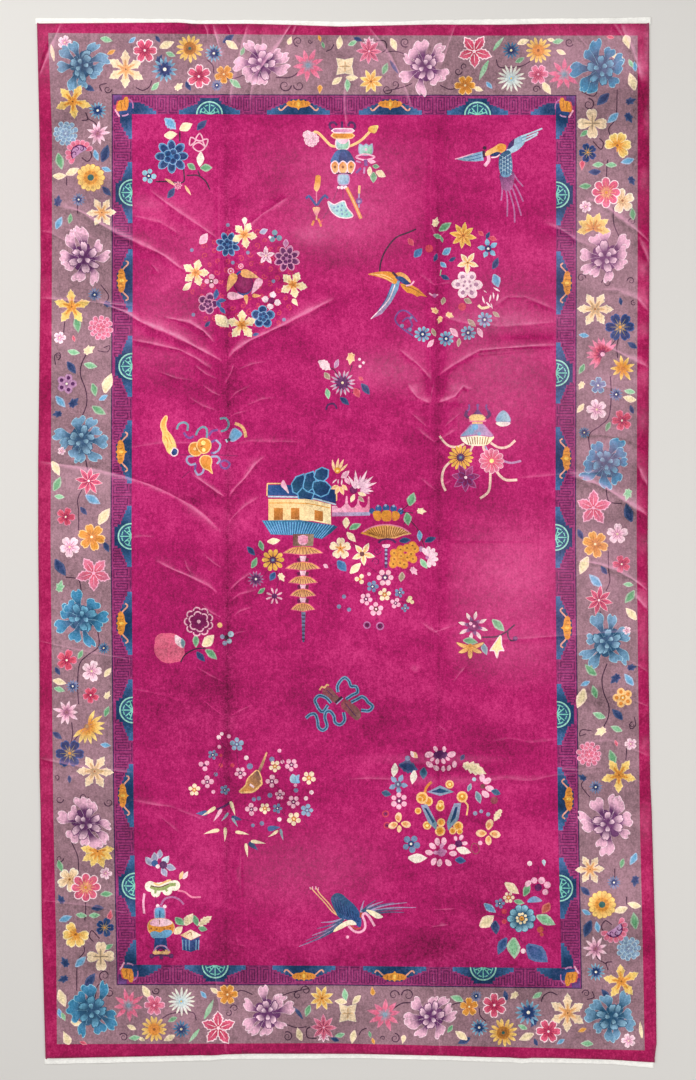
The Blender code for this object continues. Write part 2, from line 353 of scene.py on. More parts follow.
def scalloped(x, y, r, turn, looks, sweep):
    """Half a flower: small lobes round a pale inside with dark curls."""
    edge, outer, base, *_ = looks
    ring(x, y, r, 9, 0.5, 1.0, 0.17, "round", base, outer, turn, sweep, vary=0.03, edge=edge, grow=0.4)
    inside_round = [round_point(x, y, 0.62 * r, turn + a) for a in range(-95, 96, 19)]
    paint([(x, y), *inside_round], "lilac", "haze", (x, y), (x + r, y))
    for a in (-60, 0, 55):
        px, py = round_point(x, y, 0.36 * r, turn + a)
        stroke(spiral(px, py, 0.2 * r, turn + a, 0.8), 0.09 * r, "plum_core", taper=True)
    stroke([round_point(x, y, 0.6 * r, turn + a) for a in range(-90, 91, 15)], 0.08 * r, "plum_core")


def cells(x, y, r, turn, looks, sweep, n=7, core=0.8):
    """Thinly outlined cells round a few smaller ones. core is the share of each that is dark."""
    edge, outer, base, *_ = looks
    thin = max(0.45, 0.035 * r)
    half, rim, middle = 1.8 / n, mix(outer, edge, 0.3), mix(base, outer, 0.2)
    ring(x, y, r, n, 0.22, 1.0, half, "pip", outer, rim, turn, sweep, edge=edge, grow=thin)
    ring(x, y, r, n, 0.66 - 0.42 * core, 0.6 + 0.38 * core, core * half, "pip", base, middle, turn, sweep,
         vary=0.03)
    ring(x, y, r, 5, 0.02, 0.48, 0.2, "pip", outer, outer, turn + 20, sweep, edge=edge, grow=thin)
    ring(x, y, r, 5, 0.26 - 0.16 * core, 0.24 + 0.2 * core, 0.2 * core, "pip", base, middle, turn + 20,
         sweep, vary=0.03)
    disc(x, y, 0.07 * r, outer)


def tri(x, y, r, turn, looks, sweep):
    """Three round petals with a small eye."""
    _, outer, base, heart, _ = looks
    for i in range(3):
        px, py = round_point(x, y, 0.58 * r, turn + 120 * i)
        disc(px, py, 0.42 * r, mix(outer, base, 0.3), outer)
    disc(x, y, 0.24 * r, heart)


def plain(x, y, r, turn, looks, sweep, n=5):
    """Small round petals about a dark heart with a pale eye."""
    _, outer, base, heart, dot = looks
    size = 0.4 if n < 5 else 1.8 / (n + 0.2)
    for i in range(n):
        px, py = round_point(x, y, 0.62 * r, turn + 360 * i / n + dice.uniform(-5, 5))
        disc(px, py, r * size * dice.uniform(0.88, 1.06), mix(outer, base, 0.2), mix(outer, "ivory", 0.12))
    disc(x, y, 0.35 * r, heart, mix(heart, base, 0.15))
    disc(x, y, 0.12 * r + 0.15, dot)


def crescents(x, y, r, turn, looks, sweep):
    """Rings of short pale arcs over a dark round."""
    edge, *_ = looks
    disc(x, y, 0.96 * r, "plum", "shade")
    for n, reach in ((9, 0.8), (6, 0.48)):
        for i in range(n):
            middle = turn + 360 * i / n
            px, py = round_point(x, y, reach * r, middle)
            bow = [round_point(px, py, 0.26 * r, middle + a) for a in range(-80, 81, 20)]
            stroke(bow, 0.7 + 0.05 * r, edge)
    disc(x, y, 0.14 * r, edge)


def droop(x, y, r, turn, looks, sweep):
    """Curved outlined petals that hang open."""
    edge, outer, base, heart, _ = looks
    top = y - 0.5 * r
    for angle, bend in ((-78, -0.5), (78, 0.5), (-44, -0.28), (44, 0.28), (0, 0.0)):
        petal(x, top, turn + angle, 0.1 * r, 1.35 * r, 0.22 * r, "pip", base, outer, edge=edge, grow=0.5,
              bend=bend)
    disc(x, top, 0.24 * r, heart, base)


def blossom(x, y, r, turn, looks, sweep, n=5):
    """Broad notched petals with a rib each, and a thin dark ring of rays at the heart."""
    edge, outer, base, heart, dot = looks
    half, tip = BLOSSOM_PETALS[n]
    ring(x, y, r, n, 0.1, 0.96, half, tip, base, outer, turn, sweep, edge=edge, grow=min(0.9, 0.075 * r),
         rib=mix(base, heart, 0.6))
    ring(x, y, r, n, 0.0, 0.54, 0.065, "thin", heart, base, turn + 180 / n, sweep)
    disc(x, y, 0.2 * r, heart, base)
    disc(x, y, 0.09 * r + 0.2, dot)


def open_blossom(x, y, r, turn, looks, sweep):
    """Small round separate petals, each with a pale edge and a dark middle."""
    edge, outer, base, _, dot = looks
    for i in range(5):
        px, py = round_point(x, y, 0.62 * r, turn + 72 * i)
        disc(px, py, 0.4 * r, edge)
        disc(px, py, 0.2 * r, base)
    disc(x, y, 0.3 * r, base, outer)
    disc(x, y, 0.13 * r, dot)


BLOSSOM_PETALS = {5: (0.31, "heart"), 6: (0.27, "heart"), 8: (0.24, "round")}  # number: half width, tip


def petals(n, start, end, half, tip, base, outer, off=0, most=360, **looks):
    """A round of petals in a form, as in ring. It is turned by off, and spans most degrees at the most."""
    def draw(x, y, r, turn, sweep, tone):
        kept = {key: tone(value) if key in ("edge", "rib") else value for key, value in looks.items()}
        ring(x, y, r, n, start, end, half, tip, tone(base), tone(outer), turn + off, min(sweep, most), **kept)

    return draw


def eye(share, colour, rim_colour=None, more=0.0):
    """A disc of a form, its radius a share of the flower's and a little more."""
    def draw(x, y, r, turn, sweep, tone):
        disc(x, y, share * r + more, tone(colour), tone(rim_colour) if rim_colour else None)

    return draw


def lily(n):
    """Jagged petals with a star of short dark ones at the heart."""
    return (petals(n, 0.04, 1.0, 0.24, "maple", ("base", "outer", 0.3), "outer", edge="edge", grow=0.4),
            petals(n, 0.0, 0.56, 0.06, "thin", "heart", "base"),
            petals(n, 0.0, 0.3, 0.05, "thin", "heart", "base", off=180 / n),
            eye(0.09, "heart", "base"), eye(0.04, "dot", more=0.3))


def gerbera(n):
    """Round-ended petals with dark gaps between them."""
    return (eye(0.8, "moss_brown", "plum"), petals(n, 0.3, 1.0, 2.0 / n, "round", "base", "outer", vary=0.03),
            eye(0.32, "violet", "stem"), eye(0.12, "dot"))


def spiked(n):
    """Thin pale petals standing off a spiky dark heart."""
    return (petals(n, 0.42, 1.0, 0.34 / n ** 0.5, "point", ("outer", "base", 0.35), "edge"),
            petals(n // 2 + 2, 0.1, 0.62, 0.13, "point", "heart", ("heart", "base", 0.5)),
            eye(0.32, "heart", "base"), eye(0.1, "dot"))


# Flowers built of rounds and discs, from the back to the front. A colour is one of the flower's own by name,
# a palette colour, or two of them and the share of the second.
FORMS = {
    "lily": lily(6), "lily5": lily(5), "gerbera": gerbera(16), "daisy10": gerbera(10), "spiked": spiked(16),
    "spiked8": spiked(8),
    "maple": (  # broad jagged petals with a glowing star at the heart
        petals(5, 0.04, 1.0, 0.3, "maple", "base", "outer", edge="edge", grow=0.5, fade=(0.1, 0.6)),
        petals(5, 0.0, 0.5, 0.07, "thin", "heart", "base"),
        petals(5, 0.0, 0.34, 0.07, "thin", "heart", "heart", off=36), eye(0.1, "heart", "dot")),
    "lined_lily": (  # a pale outline and rib to each petal
        petals(5, 0.08, 0.94, 0.25, "jag", "base", "outer", edge="edge", grow=1.3, rib="edge"),
        eye(0.1, "edge")),
    "daisy": (
        petals(14, 0.3, 1.0, 0.125, "thin", "base", "outer"), eye(0.46, "heart", ("heart", "base", 0.5)),
        eye(0.26, ("heart", "base", 0.4), "heart"), eye(0.12, "dot")),
    "thin_daisy": (
        petals(16, 0.1, 1.0, 0.085, "thin", ("outer", "base", 0.6), "outer"), eye(0.16, "heart", "base"),
        eye(0.08, "dot")),
    "wheel": (  # short scalloped petals with dark ribs between them
        petals(14, 0.3, 1.0, 0.2, "round", "base", "outer", vary=0.03, edge=("heart", "base", 0.4), grow=0.3),
        eye(0.5, ("base", "heart", 0.3), "base"),
        petals(9, 0.12, 0.48, 0.1, "round", "base", ("base", "heart", 0.4), off=20), eye(0.24, "dot")),
    "zinnia": (
        petals(12, 0.2, 1.0, 0.2, "round", "base", "outer", vary=0.03, edge="edge", grow=0.35, rib="base"),
        eye(0.34, "base", ("base", "outer", 0.4)), eye(0.18, "dot")),
    "primrose": (
        petals(5, 0.1, 0.98, 0.34, "heart", ("outer", "base", 0.4), "outer", edge="edge", grow=0.5),
        petals(5, 0.1, 0.6, 0.1, "point", "heart", "base"), eye(0.24, "heart", ("heart", "base", 0.4)),
        eye(0.08, "dot")),
    "star5": (
        petals(5, 0.05, 1.0, 0.2, "point", "base", "outer", edge="edge", grow=0.6, rib="heart"),
        eye(0.16, "heart", "base"), eye(0.06, "dot", more=0.3)),
    "star": (
        petals(8, 0.05, 1.0, 0.18, "point", "base", "outer", edge="edge", grow=0.4, rib="heart"),
        eye(0.16, "heart", "base"), eye(0.08, "dot", more=0.2)),
    "starlet": (
        petals(5, 0.24, 1.0, 0.25, "point", ("outer", "base", 0.5), "outer"), eye(0.34, "plum_core", "heart"),
        eye(0.12, "dot")),
    "starlet4": (petals(4, 0.24, 1.0, 0.36, "jag", "outer", "edge"), eye(0.36, "shade", "plum")),
    "button": (
        petals(9, 0.3, 1.0, 0.2, "lobe", ("outer", "base", 0.5), "outer"),
        eye(0.42, "heart", ("heart", "base", 0.4)), eye(0.16, "dot")),
    "thin8": (petals(8, 0.3, 1.0, 0.12, "round", "outer", "edge"), eye(0.34, "plum", "heart")),
    "outlined_lotus": (
        petals(7, 0.1, 1.0, 0.2, "point", "shade", "fret", most=300, edge="mauve", grow=0.7),
        petals(5, 0.05, 0.62, 0.18, "point", "plum", "shade", off=12, most=220, edge="base", grow=0.7),
        eye(0.2, "plum")),
    "fan7": (  # half a flower
        petals(7, 0.2, 1.0, 0.17, "round", "base", "outer", most=190, edge="edge", grow=0.4),
        petals(5, 0.1, 0.56, 0.14, "round", "base", "outer", most=170, edge="edge", grow=0.4)),
    "rosette": (
        eye(0.9, "base"),
        petals(10, 0.3, 1.0, 0.22, "lobe", "base", "edge", vary=0.04, edge="base", grow=0.5,
               fade=(0.2, 0.8))),
    "aster": (
        petals(13, 0.3, 1.0, 0.12, "point", "base", "outer"),
        petals(9, 0.05, 0.6, 0.15, "point", "heart", ("heart", "base", 0.5), off=14), eye(0.34, "heart"),
        eye(0.14, "dot")),
    "dogwood": (  # four notched petals with a thin dark cross
        petals(4, 0.0, 1.0, 0.36, "heart", ("outer", "base", 0.5), "outer", edge="edge", grow=0.4),
        petals(4, 0.0, 0.6, 0.05, "thin", "heart", "heart", vary=0.03)),
    "sunray": (  # half a daisy
        petals(10, 0.22, 1.0, 0.12, "point", "base", "outer", vary=0.08, fade=(0.1, 0.7)),
        petals(9, 0.1, 0.5, 0.05, "thin", "heart", "base"), eye(0.13, "edge", "dot")),
    "blossom4": (  # broad petals that meet in a square
        petals(4, 0.0, 1.08, 0.44, "spade", ("outer", "base", 0.3), "outer", vary=0.03, edge="edge",
               grow=0.4),
        petals(4, 0.0, 0.5, 0.07, "thin", "heart", "base", off=45, vary=0.03), eye(0.1, "heart", "base")),
    "spiky": (  # pointed petals of uneven length
        petals(9, 0.15, 1.0, 0.15, "point", "base", "outer", vary=0.12, fade=(0.3, 0.9)),
        petals(8, 0.05, 0.55, 0.1, "point", "heart", "base", off=20, vary=0.12),
        eye(0.14, "heart", ("heart", "dot", 0.5))),
    "mum": (  # outlined petals in three rounds
        petals(11, 0.5, 1.0, 0.17, "round", "base", "outer", off=77, edge="edge", grow=0.6),
        petals(9, 0.28, 0.72, 0.16, "round", "base", "outer", off=63, edge="edge", grow=0.6),
        petals(6, 0.06, 0.44, 0.15, "round", "base", "outer", off=42, edge="edge", grow=0.6),
        eye(0.09, "dot")),
}


def draw_form(x, y, r, turn, looks, sweep, parts):
    own = dict(zip(("edge", "outer", "base", "heart", "dot"), looks))

    def tone(colour):
        if isinstance(colour, tuple):
            return mix(tone(colour[0]), tone(colour[1]), colour[2])
        return own.get(colour, colour)

    for part in parts:
        part(x, y, r, turn, sweep, tone)


FLOWERS = {
    "peony": peony, "scalloped": scalloped, "tri": tri, "crescents": crescents, "droop": droop,
    "blossom": blossom, "open_blossom": open_blossom, "quilt": partial(cells, n=6, core=0.5),
    **{f"cells{n}": partial(cells, n=n) for n in (5, 8)},
    **{f"plain{n}": partial(plain, n=n) for n in (4, 5, 6, 8)},
    **{f"blossom{n}": partial(blossom, n=n) for n in (6, 8)},
    **{kind: partial(draw_form, parts=parts) for kind, parts in FORMS.items()},
}
LEAVES = {  # half width as a share of the length, and the outline
    "leaf": (0.26, "point"), "wide": (0.34, "point"), "thin": (0.12, "point"), "bud": (0.3, "spade"),
    "jagged": (0.34, "jag"), "saw": (0.26, "saw"), "blade": (0.22, "blade"), "slim": (0.12, "blade"),
    "pip": (0.34, "pip"),
}
PALE_SUM = 360  # colours whose three values add up to more are pale


def leaf(x, y, angle, length, colour, kind="leaf"):
    """A leaf whose middle is at x, y, with a paler edge."""
    pale = sum(rgb(colour)) > PALE_SUM
    edge, light = mix(colour, "bloom", 0.38 if pale else 0.2), mix(colour, "ivory", 0.1)
    dark = mix(colour, "stem", 0.05 if pale else 0.12)
    back = -length / 2
    if kind == "lobed":
        for turn, reach in ((-48, 0.34), (48, 0.34), (0, 0.5)):
            petal(x, y, angle + turn, back * 0.5, reach * length, 0.17 * length, "point", edge, edge)
        for turn, reach in ((-48, 0.26), (48, 0.26), (0, 0.42)):
            petal(x, y, angle + turn, back * 0.4, reach * length, 0.1 * length, "point", dark, light)
        return
    half, tip = LEAVES[kind]
    bend = dice.uniform(-0.16, 0.16)
    if kind in ("blade", "pip", "thin", "slim"):
        petal(x, y, angle, back, -back, half * length, tip, light, edge, bend=bend)
        return
    petal(x, y, angle, back, -back, half * length, tip, edge, edge, bend=bend)
    petal(x, y, angle, 0.84 * back, -0.76 * back, 0.62 * half * length, tip, dark, light, bend=bend)


# ---------------------------------------------------------------- the rug turned about its middle
def share_along(value, lines):
    """Where a place lies among the lines of a side and the opposite side, from 0 to 7."""
    return float(np.interp(value, lines, range(len(lines))))


def lines_across(y):
    return [line_at(LEFT, i, y) for i in range(4)] + [line_at(RIGHT, i, y) for i in (3, 2, 1, 0)]


def lines_down(x):
    return [line_at(TOP, i, x) for i in range(4)] + [line_at(BOTTOM, i, x) for i in (3, 2, 1, 0)]


def opposite(x, y):
    """The point that x, y comes to when the pattern is turned half way round, on the rug as it lies."""
    u, v = 7 - share_along(x, lines_across(y)), 7 - share_along(y, lines_down(x))
    px, py = 2 * MIDDLE[0] - x, 2 * MIDDLE[1] - y
    for _ in range(3):
        px = float(np.interp(u, range(8), lines_across(py)))
        py = float(np.interp(v, range(8), lines_down(px)))
    return px, py


# ---------------------------------------------------------------- the flower border
# The top and left sides, which come again at the bottom and right, turned half way round.
# Flowers: kind, colours, x, y, radius, turn, sweep, and other colours for the second place where it has them
BORDER_FLOWERS = (
    # top side
    ("blossom", "blush", 65, 43, 7, 0, 360),
    ("peony", "blue", 82, 66, 26, 10, 360),
    ("lily", "cream", 126, 70, 19, 30, 360),
    ("blossom6", "rose", 145, 51, 12, 0, 360),
    ("aster", "pale", 165, 70, 13, 0, 360),
    ("daisy", "sun", 190, 49, 14, 8, 360),
    ("aster", "pale", 214, 54, 9, 20, 360),
    ("blossom6", "rose", 199, 77, 12, 30, 360),
    ("blossom", "gold", 224, 75, 9, 15, 360),
    ("aster", "slate", 217, 86, 6, 0, 360),
    ("peony", "purple", 262, 65, 26, 0, 360),
    ("spiky", "rose_grey", 308, 66, 17, 12, 360),
    ("blossom4", "straw", 345, 67, 11, 45, 360),
    ("star", "blush", 369, 44, 7, 0, 360), ("star", "pink", 369, 52, 13, 0, 360),
    ("star", "yellow", 371, 82, 12, 22, 360),
    ("peony", "purple", 425, 67, 26, 22, 360),
    ("lined_lily", "rose", 474, 52, 18, -54, 360),
    ("blossom6", "gold", 465, 86, 10, 0, 360),
    ("aster", "deep", 511, 51, 9, 0, 360),
    ("thin_daisy", "white", 511, 79, 14, 0, 360),
    ("daisy", "yellow", 538, 51, 13, 0, 360),
    ("blossom6", "pink", 538, 75, 10, 0, 360),
    ("spiky", "rose_grey", 564, 75, 16, 30, 360),
    # left side
    ("lily5", "yellow", 73, 102, 18, 12, 360),
    ("aster", "pale", 98, 111, 9, 0, 360),
    ("mum", "misty", 66, 134, 12, 0, 360),
    ("spiky", "blush", 98, 134, 12, 0, 360),
    ("scalloped", "pink", 80, 154, 14, 235, 200),
    ("wheel", "sun", 91, 178, 14, 0, 360),
    ("aster", "slate", 79, 200, 7, 0, 360),
    ("lily", "cream", 102, 213, 15, 0, 360),
    ("peony", "purple", 84, 258, 28, 14, 360),
    ("lily5", "yellow", 72, 307, 18, -90, 360),
    ("aster", "slate", 95, 295, 7, 0, 360),
    ("mum", "pink", 101, 328, 12, 0, 360),
    ("blossom", "blush", 60, 338, 6, 0, 360),
    ("open_blossom", "plum", 67, 384, 10, 0, 360, "gold"),
    ("peony", "blue", 82, 440, 27, 14, 360),
    ("blossom", "blush", 62, 451, 4, 0, 360),
    ("star", "rose", 89, 481, 14, 10, 360),
    ("blossom", "red", 66, 517, 9, 0, 360),
    ("blossom6", "gold", 92, 537, 13, 15, 360),
    ("blossom", "blush", 70, 547, 10, 20, 360),
    ("lined_lily", "pink", 94, 573, 18, 20, 360),
    ("peony", "deep", 82, 618, 27, 30, 360),
    ("aster", "deep", 104, 648, 6, 0, 360),
    ("blossom", "red", 67, 660, 10, 0, 360),
    ("blossom", "blush", 92, 671, 10, 0, 360),
    ("aster", "slate", 73, 686, 7, 0, 360),
    ("blossom", "red", 91, 695, 8, 20, 360, "slate"),
    ("spiky", "blush", 67, 712, 13, 0, 360, "yellow"),
    ("sunray", "yellow", 87, 726, 18, 40, 200, "pink"),
    ("blossom6", "navy", 70, 753, 14, 0, 360),
    ("lily", "straw", 95, 771, 18, 0, 360),
    ("peony", "purple", 86, 823, 27, 18, 360),
    ("lily", "yellow", 98, 851, 17, 90, 200),
    ("blossom", "straw", 70, 879, 12, 10, 360),
    ("blossom8", "rose_eye", 86, 887, 15, 0, 360),
    ("blossom", "blush", 106, 873, 6, 0, 360),
    ("blossom", "yellow", 76, 934, 13, 120, 230),
    ("blossom", "navy", 105, 927, 9, 0, 360),
    ("dogwood", "straw", 101, 956, 14, 0, 360),
    ("peony", "deep", 93, 1010, 28, 0, 360),
)

# Leaves and buds: kind, colour, x, y, angle, length
BORDER_LEAVES = (
    # top side
    ("thin", "cream", 53, 54, 80, 15), ("leaf", "mint", 107, 40, 10, 11), ("leaf", "sky", 133, 41, -30, 8),
    ("leaf", "navy", 158, 40, 60, 7), ("leaf", "cream", 167, 45, -25, 14), ("leaf", "mint", 171, 55, 20, 9),
    ("lobed", "navy", 159, 61, -60, 12), ("leaf", "gold", 112, 53, -20, 8),
    ("leaf", "mint", 156, 87, -40, 10), ("lobed", "cream", 178, 88, -40, 12),
    ("leaf", "navy", 188, 87, 70, 9), ("leaf", "navy", 229, 40, -28, 12),
    ("leaf", "cream", 232, 46, 38, 13), ("leaf", "mint", 236, 84, 30, 12), ("leaf", "navy", 89, 89, 40, 11),
    ("bud", "cream", 290, 41, -70, 8), ("leaf", "gold", 320, 39, 60, 6), ("leaf", "green", 323, 46, 80, 6),
    ("leaf", "cream", 340, 43, -75, 12), ("bud", "gold", 320, 90, 90, 8),
    ("leaf", "cream", 337, 81, -40, 11), ("leaf", "mint", 353, 44, -20, 9),
    ("leaf", "navy", 358, 40, 20, 8), ("leaf", "green", 385, 69, -70, 11),
    ("thin", "navy", 394, 68, 60, 14), ("leaf", "cream", 394, 45, 62, 12),
    ("leaf", "mint", 348, 86, 80, 11), ("thin", "mint", 483, 71, 118, 19),
    ("thin", "mint", 498, 44, -55, 15), ("leaf", "green", 520, 61, -20, 9), ("leaf", "sky", 489, 86, 50, 8),
    ("leaf", "cream", 523, 42, -25, 11), ("leaf", "cream", 551, 41, 20, 7),
    ("leaf", "cream", 561, 53, 25, 9), ("leaf", "cream", 546, 89, 62, 13),
    ("leaf", "mint", 558, 42, -10, 10), ("leaf", "cream", 478, 90, 30, 9),
    ("leaf", "green", 243, 52, -60, 8), ("leaf", "cream", 352, 79, 10, 11),
    # left side
    ("leaf", "green", 60, 162, 80, 15), ("leaf", "sky", 96, 156, 80, 10),
    ("leaf", "navy", 106, 154, -65, 16), ("leaf", "sky", 107, 170, 20, 9),
    ("leaf", "cream", 73, 172, -25, 13), ("leaf", "cream", 60, 177, 5, 12),
    ("leaf", "navy", 107, 192, 50, 11), ("lobed", "navy", 58, 203, -80, 14),
    ("leaf", "sky", 59, 223, -70, 12), ("leaf", "green", 71, 219, -70, 9),
    ("lobed", "navy", 107, 304, 30, 11), ("leaf", "green", 78, 325, 75, 14),
    ("leaf", "rose", 74, 339, 80, 6), ("leaf", "mint", 74, 353, 20, 11),
    ("lobed", "cream", 88, 351, -30, 15), ("leaf", "cream", 107, 383, -80, 18),
    ("leaf", "navy", 72, 368, 55, 13), ("leaf", "mint", 91, 366, 15, 12),
    ("leaf", "green", 95, 390, 70, 12), ("leaf", "sky", 104, 398, -25, 9), ("leaf", "sky", 61, 402, 50, 13),
    ("lobed", "navy", 73, 404, -45, 15), ("leaf", "green", 99, 411, 35, 14),
    ("lobed", "navy", 59, 414, 170, 12), ("leaf", "cream", 57, 468, 55, 14),
    ("leaf", "green", 58, 484, -60, 14), ("leaf", "sky", 93, 500, 35, 15), ("leaf", "navy", 84, 511, 50, 9),
    ("leaf", "cream", 104, 516, -60, 17), ("leaf", "mint", 60, 497, 10, 9),
    ("leaf", "navy", 107, 547, 60, 10), ("leaf", "navy", 60, 568, 65, 17),
    ("lobed", "mint", 60, 588, -75, 15), ("leaf", "green", 81, 654, -60, 9),
    ("leaf", "navy", 58, 671, 60, 8), ("leaf", "cream", 108, 672, -55, 10),
    ("leaf", "cream", 60, 681, 5, 12), ("leaf", "mint", 60, 689, 10, 10),
    ("lobed", "cream", 107, 696, -60, 11), ("leaf", "green", 107, 711, -70, 10),
    ("leaf", "navy", 58, 735, 30, 10), ("leaf", "sky", 106, 745, 10, 9), ("leaf", "navy", 70, 779, 80, 7),
    ("leaf", "green", 60, 866, 80, 11), ("leaf", "green", 107, 893, -10, 11),
    ("lobed", "navy", 62, 900, -120, 12), ("leaf", "navy", 98, 907, -10, 11),
    ("leaf", "sky", 66, 918, -20, 12), ("leaf", "mint", 82, 915, 10, 10), ("leaf", "mint", 95, 915, 0, 10),
    ("bud", "rose", 110, 914, -90, 9), ("lobed", "navy", 66, 963, -120, 14),
    ("leaf", "sky", 81, 961, -45, 13), ("lobed", "navy", 65, 978, 160, 13),
    ("leaf", "navy", 91, 980, -45, 15), ("leaf", "green", 109, 946, -35, 9),
    ("leaf", "cream", 62, 998, 75, 16), ("leaf", "sky", 60, 1013, 80, 9),
    ("leaf", "cream", 77, 1023, 20, 11), ("bud", "cream", 67, 1037, -110, 13),
    ("leaf", "mint", 64, 1016, 60, 8), ("leaf", "rose", 84, 1042, 10, 7),
)

# Stems and scrolls of the border: width, then points
BORDER_STEMS = (
    # top side
    (0.9, ((102, 92), (100, 86), (107, 84))), (0.9, ((225, 80), (238, 78), (250, 72))),
    (1.1, ((276, 78), (290, 78), (300, 72))), (1.0, ((136, 88), (143, 91), (150, 87), (152, 81))),
    (0.9, ((326, 52), (331, 50), (334, 45))), (1.0, ((376, 41), (385, 42), (386, 50), (382, 53))),
    (0.9, ((384, 92), (402, 88), (412, 84))), (0.9, ((496, 60), (500, 68), (520, 67), (530, 62))),
    (0.9, ((440, 86), (450, 90), (458, 88))), (0.9, ((207, 60), (213, 66), (214, 74))),
    (0.9, ((386, 53), (396, 52), (408, 56))),
    # left side
    (1.0, ((76, 150), (88, 150), (92, 156), (88, 162), (82, 158))),
    (1.0, ((82, 121), (88, 120), (86, 113))), (0.9, ((88, 119), (96, 124), (98, 130))),
    (0.9, ((67, 178), (67, 186))), (0.9, ((78, 205), (78, 214))),
    (0.9, ((101, 285), (109, 296), (106, 303))), (0.9, ((65, 322), (64, 334))),
    (1.0, ((88, 352), (82, 364), (81, 376), (86, 390), (87, 404), (82, 418))),
    (1.0, ((86, 460), (88, 470))), (0.9, ((82, 490), (78, 500), (79, 512), (79, 530))),
    (0.9, ((66, 577), (79, 580), (82, 596))),
    (1.0, ((98, 630), (99, 646), (88, 655), (80, 664), (78, 684), (79, 704))),
    (0.9, ((72, 722), (73, 734), (71, 744))), (0.9, ((73, 742), (80, 734), (88, 731))),
    (0.9, ((72, 842), (78, 856), (79, 872))), (0.9, ((86, 900), (86, 912), (85, 920))),
    (0.9, ((80, 938), (85, 950), (78, 962), (77, 990))),
    (0.9, ((100, 938), (92, 930), (90, 937), (94, 941))),
    (0.9, ((95, 1000), (98, 985), (104, 984), (112, 988))),
    (0.8, ((98, 351), (108, 352), (110, 346), (104, 348))),
    (0.8, ((56, 365), (55, 356), (60, 353), (61, 358))),
)

# Curls: x, y, radius, turn, turns, way round
BORDER_CURLS = (
    # top side
    (285, 86, 6.5, 0, 1.3, 1), (299, 86, 5.5, 180, 1.2, -1), (298, 42, 5, 90, 1.5, 1),
    (310, 42, 2.4, 0, 1.2, 1), (405, 43, 5, 60, 1.6, 1), (387, 90, 5, 0, 1.4, 1), (395, 85, 4, 90, 1.3, -1),
    (458, 72, 4, 0, 1.3, 1), (464, 67, 3.4, 120, 1.2, 1), (569, 43, 4.4, 30, 1.5, 1),
    (536, 90, 4, 0, 1.4, -1), (108, 90, 4, 0, 1.4, 1),
    # left side
    (105, 975, 6, 90, 1.5, 1), (110, 992, 5, 270, 1.5, -1), (84, 797, 5, 0, 1.4, 1),
    (60, 858, 4, 0, 1.2, 1), (58, 357, 3, 90, 1.2, -1), (60, 799, 4, 0, 1.3, 1), (57, 777, 3, 90, 1.2, -1),
    (109, 802, 4.5, 180, 1.4, -1),
)


def placed_twice(x, y):
    """A border place and its opposite, each with the turn that goes with it."""
    yield x, y, 0
    px, py = opposite(x, y)
    yield px, py, 180


def draw_border():
    for width, points in BORDER_STEMS:
        line = smooth(points, 2.0)
        stroke(line, 1.15 * width, "stem")
        stroke([opposite(*p) for p in line], 1.15 * width, "stem")
    for x, y, r, turn, turns, way in BORDER_CURLS:
        for px, py, half_turn in placed_twice(x, y):
            stroke(spiral(px, py, r, turn + half_turn, turns, way), 0.8 + 0.1 * r, "stem", taper=True)
    for kind, colour, x, y, angle, length in BORDER_LEAVES:
        for px, py, half_turn in placed_twice(x, y):
            leaf(px, py, angle + half_turn, 1.15 * length, colour, kind)
    for kind, colours, x, y, r, turn, sweep, *others in BORDER_FLOWERS:
        for px, py, half_turn in placed_twice(x, y):
            looks = COLOURS[others[0] if others and half_turn else colours]
            FLOWERS[kind](px, py, r, turn + half_turn, looks, sweep)


# ---------------------------------------------------------------- the field's motifs
# Each row names what is drawn and how it looks, then gives one or more places for it:
#   line: width, colour; lines of points         ribbon: width, colour, colour of its edge; lines of points
#   rim: width, colour; points of closed lines   area: colour, colour it runs to; corners
#   blob: as area, with its corners rounded      cell: edge, colour, colour it runs to; corners, rounded
#   crag: as cell, with its corners sharp        canopy: (x, y, half width)
#   feather: colour; (x, y, its tip's x, y)      petal: colour; (x, y, angle, length)
#   flower: kind, colours; (x, y, radius, turn)  leaf: kind, colour; (x, y, angle, length)
#   dot: colour; (x, y, radius)                  bead: edge, colour, light; (x, y, radius)
#   curl: colour; (x, y, radius, turn)
SPRAY_TOP_LEFT = (
    ("line", 1.5, "stem", ((156, 182), (166, 182), (176, 183), (184, 182), (184, 172), (183, 165)),
     ((187, 176), (198, 176), (206, 182), (210, 190)), ((198, 171), (200, 176)), ((180, 132), (180, 142))),
    ("leaf", "jagged", "sky", (171, 124, 40, 16)),
    ("leaf", "wide", "cream", (186, 127, -30, 14), (171, 136, 0, 13)),
    ("leaf", "leaf", "navy", (201.5, 125, -55, 14), (172, 193.5, -50, 13)),
    ("leaf", "leaf", "ivory", (200.5, 160, 95, 15)),
    ("leaf", "wide", "green", (192, 167, 30, 10), (206.5, 168, -5, 12)),
    ("leaf", "thin", "peach", (171, 182, 25, 13), (188, 191, 60, 12)),
    ("flower", "cells8", "teal_cells", (172, 157, 17, -90)),
    ("rim", 1.3, "pale_pink", ((190, 146), (191, 138), (196, 141)), ((196, 140), (200, 134), (203, 141)),
     ((203, 141), (208, 140), (206, 147)), ((193, 147), (199, 143), (205, 148), (199, 152))),
    ("flower", "plain5", "pale", (149, 176.5, 8, 0)), ("flower", "star", "pink", (178, 186, 4, 0)),
)
